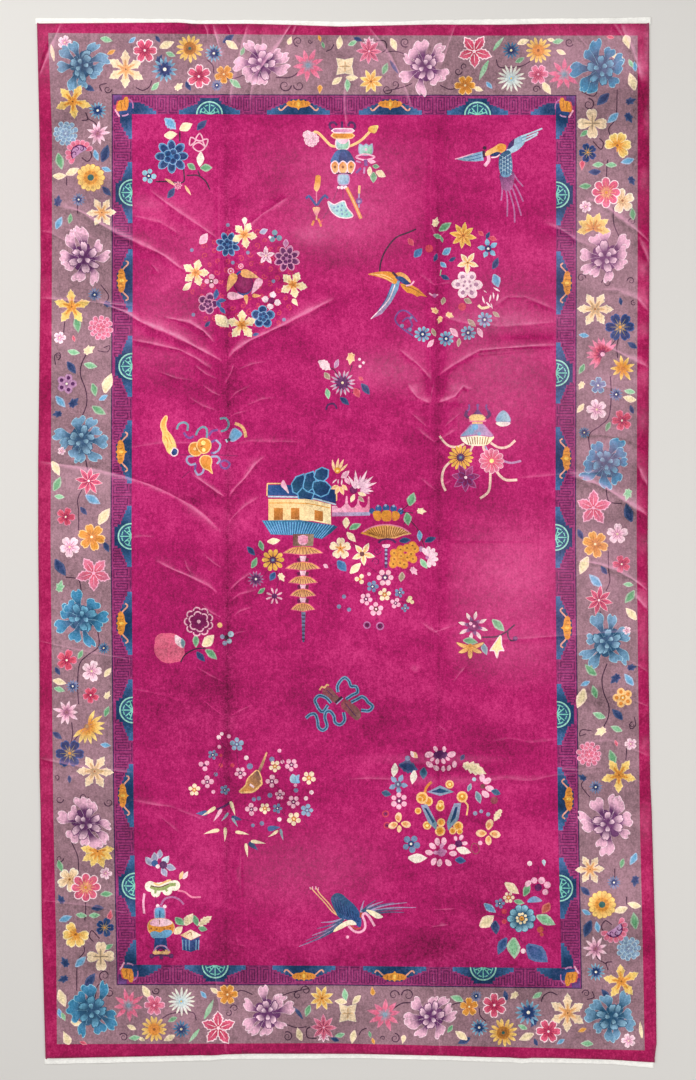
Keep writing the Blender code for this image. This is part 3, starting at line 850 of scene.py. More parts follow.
VASE = (
    ("line", 2.4, "purple", ((334, 131), (330, 128), (330, 124), (334, 123), (337, 126)), ((352, 131),
     (355, 128), (354, 124), (350, 123), (348, 127)), ((342, 131), (342, 122))),
    ("line", 2.6, "apricot", ((338, 147), (331, 146), (324, 139), (319, 134), (315, 132.5), (312, 135.5)),
     ((348, 147), (354, 145), (362, 140), (369, 133), (375, 127))),
    ("blob", "gold", "butter", ((368, 131), (370, 127), (378, 126), (377, 131), (374, 134))),
    ("flower", "mum", "pinkish", (311.5, 140, 7, 200)), ("flower", "mum", "pinkish", (307.5, 135.5, 4, 0)),
    ("cell", "bloom", "mist", "mint", ((337, 139), (348, 139), (348, 149), (337, 149))),
    ("blob", "bloom", "blush", ((337, 138), (342, 137), (348, 138), (347, 143), (342, 144.5), (338, 142))),
    ("cell", "apricot", "orange", "gold", ((333, 134), (352, 134), (352, 138.5), (334, 138.5))),
    ("cell", "bloom", "mauve", "blush", ((334, 129.5), (352, 129.5), (352, 133), (334, 133))),
    ("blob", "blue", "navy", ((332, 164), (333, 156), (338, 150.5), (347, 150.5), (352, 156),
     (353.5, 164))), ("blob", "navy", "navy_light", ((339, 162), (340, 154), (346, 153), (346, 162))),
    ("cell", "bloom", "orange", "apricot", ((331, 165), (335, 161.5), (338.6, 165), (338, 172),
     (334.5, 174), (332, 171)), ((338.6, 166), (343, 161.5), (347.4, 166), (346.4, 172.5), (343, 174),
     (339.6, 172.5)), ((347.4, 165), (351, 161.5), (355, 165), (353.5, 171), (351, 174), (348, 172))),
    ("dot", "brown", (335, 167.5, 1.5), (343, 167.5, 1.6), (351, 167.5, 1.5)),
    ("line", 1.6, "stem", ((336, 174), (351, 174)), ((338, 185.6), (348, 185.6))),
    ("cell", "lilac", "mist", "steel", ((338.5, 175.5), (348.5, 175.5), (348, 184.5), (339, 184.5))),
    ("dot", "bloom", (338.5, 188, 1.6), (342, 188, 1.9), (345.6, 188, 1.9)),
    ("line", 1.1, "shade", ((338, 189), (333, 201)), ((343, 190), (343, 200)), ((330, 208), (323, 219))),
    ("ribbon", 3.0, "peach", "orange", ((346.5, 188), (354, 203), (361, 219))),
    # the half-moon fan
    ("cell", "bloom", "mist", "teal", ((328, 202), (334, 205), (340, 202.5), (344.5, 201.5), (347, 208),
     (353, 216), (347, 218.5), (338, 217), (331, 211))),
    ("dot", "steel", (334, 208, 1.1), (338, 207, 1.1), (342, 206, 1.1), (337, 211, 1.2),
     (341.5, 210.5, 1.2), (346, 211, 1.1), (342, 214.5, 1.2), (347, 215, 1.1)),
    # the bud and its leaves
    ("line", 1.1, "pink", ((316.5, 190), (316.5, 205))), ("line", 1.6, "peach", ((317, 212), (316.5, 220))),
    ("blob", "gold", "apricot", ((315, 182), (316, 176), (320.5, 176.5), (320, 187), (317, 192),
     (314, 189))),
    ("line", 2.4, "navy_light", ((306, 199), (309, 196.5), (312, 200), (316.5, 206)), ((328, 199),
     (325, 196), (321, 200), (317, 206))),
    ("blob", "apricot", "pink", ((313, 208), (320, 208), (319, 213), (316.5, 216), (314, 213))),
    ("line", 2.2, "orange", ((318, 219), (320, 223), (321, 227)), ((314, 221), (312, 226))),
    ("line", 1.2, "coral", ((320, 224), (323, 220))),
    # the cup and its tassels
    ("cell", "haze", "mist", "mint", ((359.5, 144.5), (363, 146.5), (366, 144.5), (369, 146.5),
     (372, 144.5), (371.6, 154.5), (360, 154.5))), ("dot", "blush", (366, 150, 1.3)),
    ("rim", 1.6, "blush", ((356, 157.5), (365, 154.6), (374.5, 157.5), (365, 160.5))),
    ("line", 3.4, "violet", ((365.5, 160), (366, 166.5))),
    ("line", 2.0, "lilac", ((364.5, 168), (364, 174))),
    ("line", 2.4, "violet", ((361, 168.5), (356, 173.5))),
    ("line", 1.6, "lilac", ((356, 161.5), (361, 163))), ("leaf", "leaf", "blush", (372, 162.5, 15, 8)),
    ("leaf", "wide", "green", (376, 167, 10, 7), (373.5, 178, 90, 11)),
    ("leaf", "leaf", "cream", (369.5, 172, 95, 10)), ("leaf", "wide", "cream", (381, 174, 20, 11)),
    ("line", 2.4, "peach", ((359.5, 186), (359, 194))), ("line", 1.4, "haze", ((359, 194), (359, 208))),
    ("dot", "violet", (359, 201.5, 3.4)), ("dot", "haze", (359, 202, 1.5)),
)
FLYING_BIRD = (
    ("line", 1.5, "mauve", ((501.5, 184), (502, 192), (501, 201)), ((512, 172), (517, 180), (523, 187))),
    ("line", 1.6, "mauve", ((504, 184), (507, 198), (507, 217)), ((507, 186), (511, 198), (514, 210),
     (514.5, 223)), ((511, 186), (515, 196), (519, 209), (521, 216)), ((514, 184), (518, 191), (523, 202))),
    ("blob", "purple", "mauve", ((500, 174), (513, 172), (513.5, 183), (510, 191), (503, 190),
     (500.5, 183))),
    ("area", "powder", "fade_teal", ((483, 151.5), (483.5, 161), (476, 162), (464, 161.5), (455, 159.5),
     (466, 156))),
    ("line", 0.7, "navy_light", ((463, 158.6), (472, 157), (481, 154.5)), ((468, 161), (475, 159.5),
     (481, 158))), ("line", 1.0, "blush", ((455, 159.6), (464, 157), (473, 154))),
    ("dot", "stem", (484.5, 148.5, 2)), ("line", 2.8, "stem", ((483.5, 151), (484, 158))),
    ("blob", "mist", "steel", ((506, 151), (514, 140), (526, 135), (524, 144), (517, 151), (509, 154))),
    ("line", 1.5, "mist", ((521, 137), (532, 133), (542, 129)), ((522, 140), (532, 135.5), (538, 133)),
     ((522, 143), (530, 139), (537, 135))),
    ("area", "navy", "purple", ((506.5, 150), (509, 143.5), (514.5, 138.5), (513.5, 146), (509, 149.5))),
    ("blob", "apricot", "gold", ((485, 156), (486, 152), (493, 148), (500, 144), (506, 146.5), (503, 153),
     (495, 153), (489, 156))),
    ("blob", "gold", "orange", ((497, 147), (503, 146), (504, 151), (499, 151.5))),
    ("blob", "navy", "navy", ((490, 155.5), (496, 152.5), (500, 153), (498, 156), (493, 157))),
    ("line", 1.2, "bloom", ((491, 158), (496, 157.6), (499.6, 155))),
    ("line", 3.4, "blush", ((488, 156), (488.5, 161), (484.5, 166.5))),
    ("blob", "deep_teal", "steel", ((500, 155), (506, 151), (510, 152), (512, 162), (512, 171), (509, 177),
     (502, 177), (499, 170), (498.5, 162))),
    ("line", 0.6, "mist", *(((500, 156 + 4 * i), (511.5, 163 + 4 * i)) for i in range(4)),
     *(((511, 154 + 4 * i), (499.5, 161 + 4 * i)) for i in range(4))),
    ("line", 0.7, "navy", *(((501 + 2.7 * i, 156), (501 + 2.7 * i, 175)) for i in range(4))),
)
ROUNDEL_LEFT = (
    ("flower", "cells8", "teal_cells", (228, 245, 12, 20)),
    ("flower", "cells5", "teal_cells", (263, 317, 11.5, -90)),
    ("flower", "cells8", "plum_cells", (287, 259, 13, 20)),
    ("flower", "cells5", "plum_cells", (208, 304, 10.5, -70)),
    ("flower", "maple", "cream_star", (244.5, 235, 13, -65), (196, 273, 13.5, -75), (293, 285, 14, -65),
     (242, 325, 15, -90)), ("leaf", "bud", "ivory", (244.5, 222, 95, 9)),
    ("leaf", "leaf", "navy_light", (216.5, 295, 95, 11), (222, 300.5, -15, 9), (219, 305, 60, 9),
     (222.5, 311, 60, 9)), ("leaf", "wide", "cream", (222, 322, 48, 18)),
    ("leaf", "leaf", "cream", (188, 287, -35, 12)), ("leaf", "wide", "blush", (204.5, 239.5, -45, 13)),
    ("flower", "tri", "teal_coin", (275.5, 237, 7, -100)), ("dot", "bloom", (270, 237.5, 1.5)),
    ("leaf", "wide", "haze", (264, 232, -15, 9)), ("leaf", "wide", "mauve", (286, 244, 90, 9)),
    ("flower", "star5", "blush", (266, 256, 9, -90)),
    ("flower", "plain4", "white_eye", (211.5, 281.5, 7, 0)),
    ("bead", "blush", "rose", "bloom", (241, 266.5, 2.8), (231, 271.5, 3.4)),
    # the middle
    ("line", 2.0, "navy_light", ((236, 276), (240, 272), (245, 273)), ((252, 281), (251, 290), (244, 295),
     (238, 292))), ("dot", "plum", (243.5, 284, 10)), ("dot", "shade", (243.3, 284, 8.6)),
    ("leaf", "blade", "amber", (250.5, 274.5, 10, 19), (230.5, 283, 118, 20)),
    ("leaf", "blade", "blush", (256.5, 287, 118, 18), (236.5, 296.5, 4, 18)),
    ("leaf", "blade", "amber", (246.5, 300, 80, 10), (257, 296.5, 10, 9)),
    ("flower", "starlet4", "blush", (271.5, 301, 10, 15)), ("leaf", "bud", "cream", (295, 303, 60, 9)),
    ("leaf", "leaf", "navy", (208, 324.5, -40, 8)), ("leaf", "leaf", "navy_light", (256, 334.5, -20, 7)),
    ("dot", "fade_slate", (228, 225.5, 2), (192, 250.5, 2), (248, 253, 2), (233, 263, 2), (273.5, 281.5, 2),
     (193.5, 315, 2), (284, 320, 2)),
)
ROUNDEL_RIGHT = (
    ("line", 1.6, "stem", ((379.5, 272), (381, 262), (386, 250), (396, 238), (408, 233), (416, 229.5))),
    ("leaf", "lobed", "cream", (435, 224, -70, 14)),
    ("leaf", "leaf", "green", (445, 227, -35, 15), (438, 237, 20, 10), (442, 240, 70, 6)),
    ("flower", "star", "sunset", (463, 236, 13, 10)),
    ("flower", "star5", "cream_star", (467.5, 263, 11, -55)),
    ("flower", "starlet", "pale", (488, 249, 10.5, -30)),
    ("leaf", "leaf", "navy", (487.5, 235.5, -70, 8), (436, 258, -60, 9), (452.5, 260, -20, 8),
     (445, 278, 30, 10), (496, 264, -55, 13)),
    ("leaf", "wide", "coral", (481, 234, 40, 7), (493, 239, 20, 8), (411, 242.5, 50, 9)),
    ("dot", "coral", (429, 249, 4), (462, 307, 4)), ("leaf", "wide", "blue", (418, 253, -50, 12)),
    ("leaf", "wide", "sky", (447, 252, -30, 11), (443, 265.5, 50, 8), (496.5, 281, 65, 14)),
    ("line", 0.9, "mint", ((441, 270), (440, 276))),
    # the long-tailed bird
    ("area", "steel", "lilac", ((391, 286), (394, 281), (400, 281), (398, 290), (391, 303), (382, 314),
     (370, 320), (380, 309), (387, 297))), ("line", 1.0, "bloom", ((395, 285), (388, 301), (371, 319))),
    ("line", 0.8, "navy_light", ((392, 284), (386, 299), (378, 311))),
    ("blob", "orange", "gold", ((368, 274.5), (380, 272), (391, 272.5), (397, 279), (395, 284.5),
     (386, 280), (377, 277))),
    ("line", 0.9, "apricot", ((371, 274.4), (384, 275.6), (393, 280)), ((376, 275), (386, 279),
     (393, 283))),
    ("area", "gold", "orange", ((400, 284), (411, 285), (418, 289), (427, 297.5), (421, 296), (417, 297),
     (412, 294), (407, 293), (402, 288))), ("line", 0.8, "brown", ((403, 286), (413, 289), (422, 294.5))),
    ("blob", "orange", "apricot", ((394, 275), (400, 272.5), (407, 276), (411, 283), (404, 280),
     (397, 279))),
    ("blob", "navy_light", "navy", ((395, 277.5), (402, 277), (410, 284), (405, 285), (399, 281))),
    ("line", 2.4, "stem", ((392.5, 272.5), (397, 277))),
    ("line", 1.6, "blush", ((406, 286), (411, 285), (414, 281.5))),
    ("flower", "quilt", "quilted", (467, 285, 14.5, 0)),
    ("leaf", "wide", "moss", (468, 301, 20, 9), (443.5, 301.5, 95, 8)),
    ("leaf", "thin", "bloom", (485, 292, 40, 4), (496.5, 290, 35, 8), (483, 300.5, 80, 8),
     (490, 299, 100, 8), (493.5, 296, 80, 7), (497.5, 298, 95, 8), (488.5, 305, 45, 8),
     (491.5, 306.5, 75, 6)), ("line", 2.6, "cream", ((478, 305.5), (482, 308.5), (489, 307))),
    ("leaf", "lobed", "apricot", (435.5, 311.5, 215, 12), (448.5, 315, 25, 12), (440, 319, 110, 11)),
    ("leaf", "leaf", "moss", (433.5, 333, 70, 9), (459, 343, 90, 9), (471.5, 323.5, 45, 11),
     (496, 315, 40, 9)),
    ("leaf", "leaf", "blush", (431, 344, -40, 10), (454.5, 332.5, 40, 12), (480, 333, 62, 11)),
    ("flower", "button", "pale", (422.5, 334.5, 8, 0), (446, 339, 7.8, 20), (468, 333, 7.6, 0),
     (484.5, 320, 7.8, 10)),
    ("line", 1.8, "violet", ((397, 324), (395, 319), (399, 312), (405, 311), (411, 315), (417, 322)),
     ((397, 324), (404, 330), (413, 336)), ((402, 322), (408, 318), (412, 326), (406, 330))),
    ("dot", "fade_slate", (402, 326, 2), (410, 330, 2), (411, 318, 1.6)),
    ("line", 1.5, "blush", ((429, 293.5), (433, 296), (438, 295))), ("dot", "mauve", (434.5, 296, 2.2)),
)
SPRAY_MIDDLE = (
    ("line", 0.9, "stem", ((326, 366), (334, 370), (338, 376)), ((350, 372), (352, 365)), ((352, 393),
     (360, 389))), ("flower", "spiked", "starry", (342.5, 383, 13, 8)),
    ("leaf", "jagged", "bloom", (325, 365, 30, 15)), ("leaf", "leaf", "lilac", (337, 364, -60, 10)),
    ("leaf", "lobed", "apricot", (351, 357, 100, 17)),
    ("dot", "bloom", (359.5, 359.5, 1.5), (363.5, 363, 1.5), (360, 366.5, 1.6)),
    ("leaf", "wide", "moss", (327, 376.5, 60, 9)), ("leaf", "leaf", "mint", (328, 394, 75, 11)),
    ("leaf", "leaf", "navy", (366, 389, 48, 14), (345, 401, 32, 12)),
    ("line", 2.0, "purple", ((326, 410), (328, 405), (334, 404), (337, 409))),
    ("leaf", "wide", "coral", (361, 379, 40, 6), (357, 393, 60, 11)),
)
GOURD = (
    ("line", 1.2, "shade", ((182, 478), (190, 471)), ((180, 455), (188, 455)), ((216, 455), (238, 456))),
    ("cell", "apricot", "gold", "butter", ((166, 416), (162, 421), (161, 427), (163, 433), (163, 440),
     (166, 447), (168, 452), (172, 454), (176, 448), (174.5, 441), (171, 435), (167, 430), (166, 424),
     (167.5, 418))),
    ("line", 0.8, "orange", ((165, 436), (168, 441), (168, 448)), ((169, 437), (172, 444))),
    ("cell", "bloom", "navy", "navy_light", ((171, 453), (174, 448), (178, 450), (177, 455), (173, 456))),
    ("line", 2.2, "fade_teal", ((177, 429.5), (179, 424.5), (184, 422.5), (188, 425), (187.5, 431)),
     ((196, 435.5), (198.5, 430), (203, 427), (207, 429.5), (207, 438)), ((220, 419), (226, 418.5),
     (229, 424.5), (226, 430), (221, 431.5))),
    ("line", 2.4, "violet", ((184, 432.5), (187, 437), (191, 438), (194, 436)), ((209, 436), (212, 431.5),
     (218, 430)), ((211, 442.5), (216, 440)), ((211, 453), (215, 453.5)), ((196, 464), (195, 470))),
    ("line", 2.0, "haze", ((216, 440), (220.5, 445), (218, 451), (213, 453.5)), ((194, 456), (188, 457),
     (187, 461.5), (191, 465), (196, 463.5)), ((195, 470), (198, 475), (203, 472.5), (204, 467.5)),
     ((211, 457), (217, 456.5), (220, 460), (217, 464))),
    ("rim", 2.2, "violet", ((220.5, 463), (225, 460.5), (230, 464), (227, 468.5), (222, 467.5))),
    ("cell", "apricot", "orange", "gold", ((189, 449), (191, 444), (196, 442.5), (201, 445), (202.5, 450),
     (200, 455), (195, 456), (190.5, 453.5)), ((197, 446), (199, 440.5), (204, 438.5), (210, 441),
     (211, 447), (208, 452), (203, 453.5), (199, 450.5)), ((200, 461), (202, 456.5), (206, 455.5),
     (210.5, 457), (212, 461.5), (211, 467), (212.5, 473.5), (209, 470.5), (203, 467.5))),
    ("dot", "butter", (203.5, 443, 2.4), (204, 450, 2)), ("dot", "apricot", (195, 449, 1.6)),
    ("line", 1.1, "brown", ((197, 448), (197.5, 451)), ((200.5, 446.5), (204, 446))),
    ("cell", "haze", "steel", "sky", ((229.5, 439), (231.5, 431.5), (235, 428.5), (242, 433.5), (239, 438),
     (233, 441.5))), ("dot", "stem", (229, 440, 1.8)),
    ("line", 1.6, "mist", ((226, 439.5), (227.5, 442.5))),
    ("line", 3.0, "peach", ((235, 423.5), (241, 426), (244.5, 430.5), (246, 437.5))),
)
LANTERN = (
    ("line", 3.2, "purple", ((469, 418), (465.5, 415.5), (467, 411)), ((486, 418), (489.5, 415),
     (488, 411))),
    ("line", 1.8, "violet", ((467, 411), (469, 409), (469, 404.5)), ((488, 411), (486, 408),
     (486.5, 404.5)), ((477.5, 413), (477.5, 405))),
    ("area", "purple", "violet", ((472.5, 415), (477.5, 408.5), (482.5, 415))),
    ("dot", "violet", (477.5, 405.5, 1.6)),
    ("line", 2.2, "blush_peach", ((439.5, 436), (443, 441), (449, 446), (457, 447), (464, 444)),
     ((473, 445), (470, 451.5))),
    ("line", 2.4, "blush_peach", ((490.5, 443), (497, 447), (503, 448), (509, 446), (515, 440.5)),
     ((450, 462), (444.5, 468), (442, 476), (442.5, 484), (445.5, 491)), ((490, 470), (490, 482),
     (488, 492), (480, 498.5)), ((483, 445.5), (484, 450), (488, 453))),
    ("line", 2.6, "blush_peach", ((494, 467), (499, 475), (506, 480), (517, 480))),
    ("line", 2.2, "lilac", ((503, 461), (511, 463), (521, 461))),
    ("line", 1.4, "haze", ((485, 446), (488, 452))),
    ("blob", "ivory", "cream", ((461, 436), (477, 434.5), (493, 436), (491.5, 441), (485, 445.5),
     (470, 445.5), (463, 442))),
    ("line", 0.8, "brown", *(((466 + 2.8 * i, 437), (468.6 + 2.2 * i, 444.6)) for i in range(9))),
    ("cell", "mauve", "steel", "lilac", ((461, 436.5), (466, 430), (472, 424), (482, 424), (488, 430),
     (492.5, 436.5), (477, 435.2))), ("dot", "steel", (471, 431, 3), (479, 434, 2)),
    ("dot", "sky", (475, 427, 3.2)), ("line", 2.0, "peach", ((472, 423), (482.5, 423))),
    ("line", 1.8, "pink", ((469, 421), (486, 421))),
    ("cell", "peach", "apricot", "butter", ((470, 420), (471.5, 415.5), (482.5, 415.5), (484, 420))),
    ("flower", "gerbera", "sunny", (460.5, 457.5, 12.6, 0)),
    ("flower", "zinnia", "zinnia", (491.5, 461, 12.5, 0)),
    ("flower", "outlined_lotus", "lilac", (465.5, 478, 14, 90)), ("dot", "bloom", (465.5, 477.5, 1.6)),
    ("cell", "haze", "steel", "mist", ((496, 421), (498, 415), (503, 411), (508, 415), (510, 421.5),
     (503, 422))),
    ("blob", "ivory", "bloom", ((495.5, 423), (503, 422), (510.5, 423), (507, 426), (500, 426.5))),
)
PAVILION = (
    # roof and rocks
    ("area", "navy_light", "navy", ((267, 485), (300, 485), (336, 490), (336, 503.5), (314, 498),
     (298, 496), (267, 495.5))),
    ("line", 1.2, "apricot", ((281, 483.6), (267.4, 483.6)), ((267.4, 483.6), (267, 496)), ((336.6, 491),
     (336.6, 501))), ("line", 1.5, "mist", ((268, 496.6), (298, 497.2), (314, 498.8), (336, 504.6))),
    ("blob", "blush", "bloom", ((281, 485.5), (283, 480), (285.5, 483), (289, 493.5), (285, 490))),
    ("crag", "sky", "deep_teal", "navy", ((291.5, 484), (296, 477), (304, 474), (305.5, 482), (302, 490),
     (298, 494.5), (293, 492)), ((303.5, 484), (306, 474), (313.5, 471.5), (316, 479), (313.5, 488),
     (308, 492), (303, 488)), ((314, 477), (316, 470.5), (322, 467.5), (328.5, 470), (328, 477), (323, 482),
     (317, 480)), ((313.5, 482), (320, 480.5), (326, 482), (331, 487), (328, 494), (321, 497), (315, 494),
     (312.5, 488)), ((302.5, 487.5), (307, 491.5), (314, 493.5), (312, 499.5), (305, 502), (299, 499.5),
     (297.5, 493.5))),
    # walls and windows
    ("area", "apricot", "cream", ((268.5, 499), (305, 499), (313, 500), (331, 504.5), (331, 524.5),
     (313, 521), (268.5, 520.5))),
    ("area", "orange", "brown", ((274, 508), (283, 508), (283, 520), (274, 520)), ((291, 508), (299.5, 508),
     (299.5, 520), (291, 519)), ((314.5, 510), (323, 511.5), (323, 521.5), (314.5, 520))),
    ("line", 0.9, "gold", ((269, 503), (305, 503.5), (330, 508))),
    # the pleated base
    ("area", "blue_petal", "deep_teal", ((262, 520.5), (300, 520), (318, 523), (338, 526.5), (331, 533),
     (322, 539), (300, 535.5), (271, 534.5))),
    ("line", 1.0, "sky", *(((264 + 2.9 * i, 521.4 + 0.0062 * i * i),
     (272 + 2.05 * i, 534 + 0.0076 * i * i)) for i in range(25))),
    ("line", 0.6, "navy_light", *(((265.4 + 2.9 * i, 521.4 + 0.0062 * i * i),
     (273 + 2.05 * i, 534 + 0.0076 * i * i)) for i in range(25))),
    # the gold and pink blossoms on its right
    ("leaf", "thin", "apricot", (333, 466, 250, 13), (337, 464.5, 272, 13), (341, 465, 295, 13),
     (344, 468, 320, 11)), ("dot", "gold", (337.5, 470.5, 3.2)), ("dot", "butter", (337.5, 471, 1.3)),
    ("leaf", "leaf", "blush", (345.5, 474.5, -40, 11), (347, 481, 65, 9)),
    ("leaf", "thin", "bloom", (334.5, 481, -50, 6), (338, 481.5, 265, 5), (342, 482, 285, 6)),
    ("leaf", "leaf", "apricot", (334.5, 487.5, 150, 8), (337.5, 490.5, 110, 9), (341.5, 491, 80, 9),
     (345, 487.5, 40, 8)),
    # the great lotus
    ("dot", "plum", (353.5, 490, 4)),
    ("petal", "mauve", (358, 489, 251, 13), (358, 489, 281, 14), (359, 489, 307, 14), (359, 489, 329, 14),
     (359, 490, 352, 13), (359, 490, 20, 12)),
    ("petal", "bloom", (357, 490, 238, 17), (357, 490, 265, 20), (358, 489, 296, 21), (359, 489, 318, 19),
     (359, 489, 340, 19), (359, 490, 5, 15)),
    ("leaf", "leaf", "cream", (362, 494.5, 25, 9), (352.5, 498.5, 115, 9)),
    ("leaf", "leaf", "moss", (361, 499.5, 50, 8)), ("dot", "bloom", (358.5, 487, 1.7)),
    # the pink fence
    ("area", "blush", "pink", ((332, 506), (337, 506), (338, 508), (341, 508), (345, 504), (346, 496),
     (347.4, 496), (348, 504), (351, 507.6), (354, 507.6), (357, 504), (357.6, 499), (358.8, 499),
     (359.4, 504), (362, 507.6), (365, 507.6), (367.4, 504), (368, 496.6), (369.4, 496.6), (370, 514),
     (332, 514))), ("area", "lilac", "haze", ((332, 512.5), (370, 512), (370, 515.5), (332, 516.5))),
    # the table of fruit
    ("dot", "navy_light", (372, 511, 3), (378.5, 508.5, 3.4), (386, 508, 3.6), (393.5, 508.5, 3.4),
     (400.5, 511.5, 3.2)),
    ("dot", "haze", (378, 506, 1.3), (385.5, 505.4, 1.4), (393.5, 506, 1.3), (401, 509, 1.1)),
    ("blob", "gold", "orange", ((373, 512), (380.6, 511.6), (380.8, 520), (375, 520)), ((382.4, 511.4),
     (390.6, 511.4), (390.8, 520.4), (382.4, 520.4)), ((392.6, 511.6), (398, 512), (400, 516), (397.5, 520),
     (392.6, 520.2))),
    # the fan
    ("line", 2.2, "purple", ((378.5, 543), (381, 540.4), (387, 538.8), (393, 540.4), (396, 543))),
    ("area", "gold", "peach", ((360.5, 533.5), (366, 529), (375, 526), (386, 525), (397, 526), (405, 529),
     (411.5, 534), (403, 535.5), (395, 538.5), (387, 538), (378, 539), (371, 536.5))),
    ("line", 0.9, "brown", *(((386.5 + 2.6 * i, 526 + 0.07 * i * i),
     (386.5 + 1.5 * i, 538 - 0.04 * i * i)) for i in range(-9, 10))),
    ("line", 1.3, "pink", ((363, 532), (372, 527), (386, 524.6), (400, 527), (409, 532))),
    ("blob", "blush", "bloom", ((382, 544.5), (390, 544.5), (388.5, 547.5), (383.5, 547.5))),
    ("line", 3.0, "purple", ((386, 548), (386, 568))),
    ("dot", "haze", *((386, y, 1.4) for y in (550, 554, 558.5, 563))),
)
GOLD_BERRIES = ((394, 553), (400.5, 549.5), (407, 548), (412.5, 545.5), (415, 549), (411, 554), (413, 559),
                (407, 557.5), (401, 556), (394, 559), (400, 563), (404, 564.5), (393, 564))
# Each of the parasol's canopies: its place down the chart and its half width
TIERS = ((551.5, 20), (567, 17.5), (581, 14.5), (594, 12.8), (608, 12))
GARDEN = (
    ("line", 0.9, "stem", ((399, 512), (407, 506), (411, 500)), ((402, 512), (413, 513)), ((410, 520),
     (418, 530), (424, 546), (427, 556)), ((404, 524), (408, 514))),
    ("line", 0.8, "shade", ((346, 528), (350, 540), (358, 552), (362, 562), (374, 570), (384, 578)),
     ((372, 586), (376, 596), (377, 606)), ((384, 596), (392, 600), (404, 602)), ((361, 582), (364, 592),
     (368, 602)), ((330, 566), (342, 560), (348, 552)), ((377, 613), (376, 622))),
    ("leaf", "wide", "green", (411, 499, -80, 14), (408, 519, 75, 13)),
    ("leaf", "lobed", "cream", (420, 511, 5, 13)), ("leaf", "leaf", "green", (355, 526, -30, 13)),
    ("leaf", "wide", "cream", (346, 523, 95, 11)), ("leaf", "leaf", "cream", (351.5, 537, 45, 13)),
    ("leaf", "leaf", "sky", (420, 536, 80, 11)),
    ("leaf", "leaf", "navy", (430, 539, -30, 12), (405, 540, -12, 12)), ("dot", "lilac", (421, 549, 2.8)),
    ("dot", "orange", *((x, y, 4.3) for x, y in GOLD_BERRIES)),
    ("dot", "gold", *((x, y, 3.4) for x, y in GOLD_BERRIES)),
    ("dot", "brown", *((x, y, 1.0) for x, y in GOLD_BERRIES)),
    ("flower", "fan7", "blush", (427.5, 557.5, 10.5, -20)), ("dot", "mauve", (427, 557.5, 1.8)),
    ("leaf", "leaf", "mint", (423.5, 564, 60, 12)), ("leaf", "lobed", "blush", (413, 570, 50, 13)),
    ("leaf", "wide", "moss", (402, 577, 90, 10)),
    # the tiered canopies
    ("area", "fade_slate", "slate_dark", ((301.4, 612), (305.6, 612), (304.5, 642), (302.5, 642))),
    ("line", 1.1, "stem", *(((301.8, y), (305.2, y)) for y in range(615, 641, 4))),
    ("area", "moss_brown", "moss", ((293, 534), (314, 534), (313, 546), (293, 546))),
    ("dot", "blush", (303, 540, 5.2)),
    ("area", "blush", "pink", ((298, 536), (308, 536), (307.6, 543), (298.6, 543))),
    ("area", "plum", "moss_brown", *(((297, y - 9), (309, y - 9), (308, y - 3), (298, y - 3))
                                     for y, _ in TIERS[1:])),
    ("area", "bloom", "blush", *(((299.6, y - 11), (306.4, y - 11), (305, y - 5), (301, y - 5))
                                 for y, _ in TIERS[1:])),
    ("canopy", *((303, y, half) for y, half in TIERS)),
    # beside them
    ("line", 0.8, "shade", ((262, 548), (268, 553)), ((256, 552), (264, 557)), ((268, 570), (262, 578)),
     ((276, 568), (278, 582), (275, 592))), ("flower", "daisy10", "sunny", (273, 560, 11.2, 0)),
    ("leaf", "leaf", "green", (261, 546, 80, 11), (255, 563, -55, 12), (262, 591, -30, 9)),
    ("leaf", "leaf", "navy", (251.5, 551, 45, 12)), ("leaf", "leaf", "cream", (274, 541.5, 0, 13)),
    ("leaf", "wide", "navy_light", (272.5, 576.5, 120, 10)), ("leaf", "lobed", "cream", (281, 576, 60, 13)),
    ("flower", "aster", "plum", (256, 579, 8.5, 0)),
    ("flower", "thin8", "purple_eye", (274.5, 596, 8.4, 22)), ("leaf", "wide", "blush", (326, 566, 30, 6)),
    # the loose blossoms on the right
    ("flower", "primrose", "cream", (340.5, 548.5, 10.5, -90)),
    ("flower", "star5", "cream_star", (363, 554, 11.5, -60)), ("dot", "moss_brown", (362, 554, 2.6)),
    ("leaf", "leaf", "cream", (355.5, 568, -45, 15)), ("leaf", "wide", "blue", (342, 566, 50, 14)),
    ("dot", "blush", (369, 574, 1.9)), ("flower", "tri", "cream", (360, 579, 5.5, 180)),
    ("flower", "plain6", "purple_eye", (385, 577.5, 9.5, 0)),
    ("flower", "plain5", "slate", (372.5, 586.5, 6.4, 0)),
    ("flower", "plain5", "strawy", (384.5, 594.5, 7, 54)),
    ("flower", "plain5", "slate", (399.5, 592.5, 5.4, 0)),
    ("flower", "plain5", "pinkish", (366, 599, 6.8, 10)),
    ("flower", "plain5", "white_eye", (376, 609, 7.6, -90)),
    ("flower", "plain4", "pinkish", (395.5, 603, 5.4, 30)),
    ("dot", "cream", (410, 598, 2.3), (408.5, 600.5, 2.2), (412, 602, 2)),
    ("flower", "plain4", "slate", (405, 608, 4.2, 0)),
    ("dot", "fade_slate", (344, 596.5, 2.2), (339, 606.5, 2.3), (349, 609.5, 2.2)),
    ("curl", "plum", (377, 551, 4, 0), (376, 562, 4, 180)),
    ("bead", "mauve", "plum", "stem", (367, 625, 3.9), (380, 626, 4.2)),
)
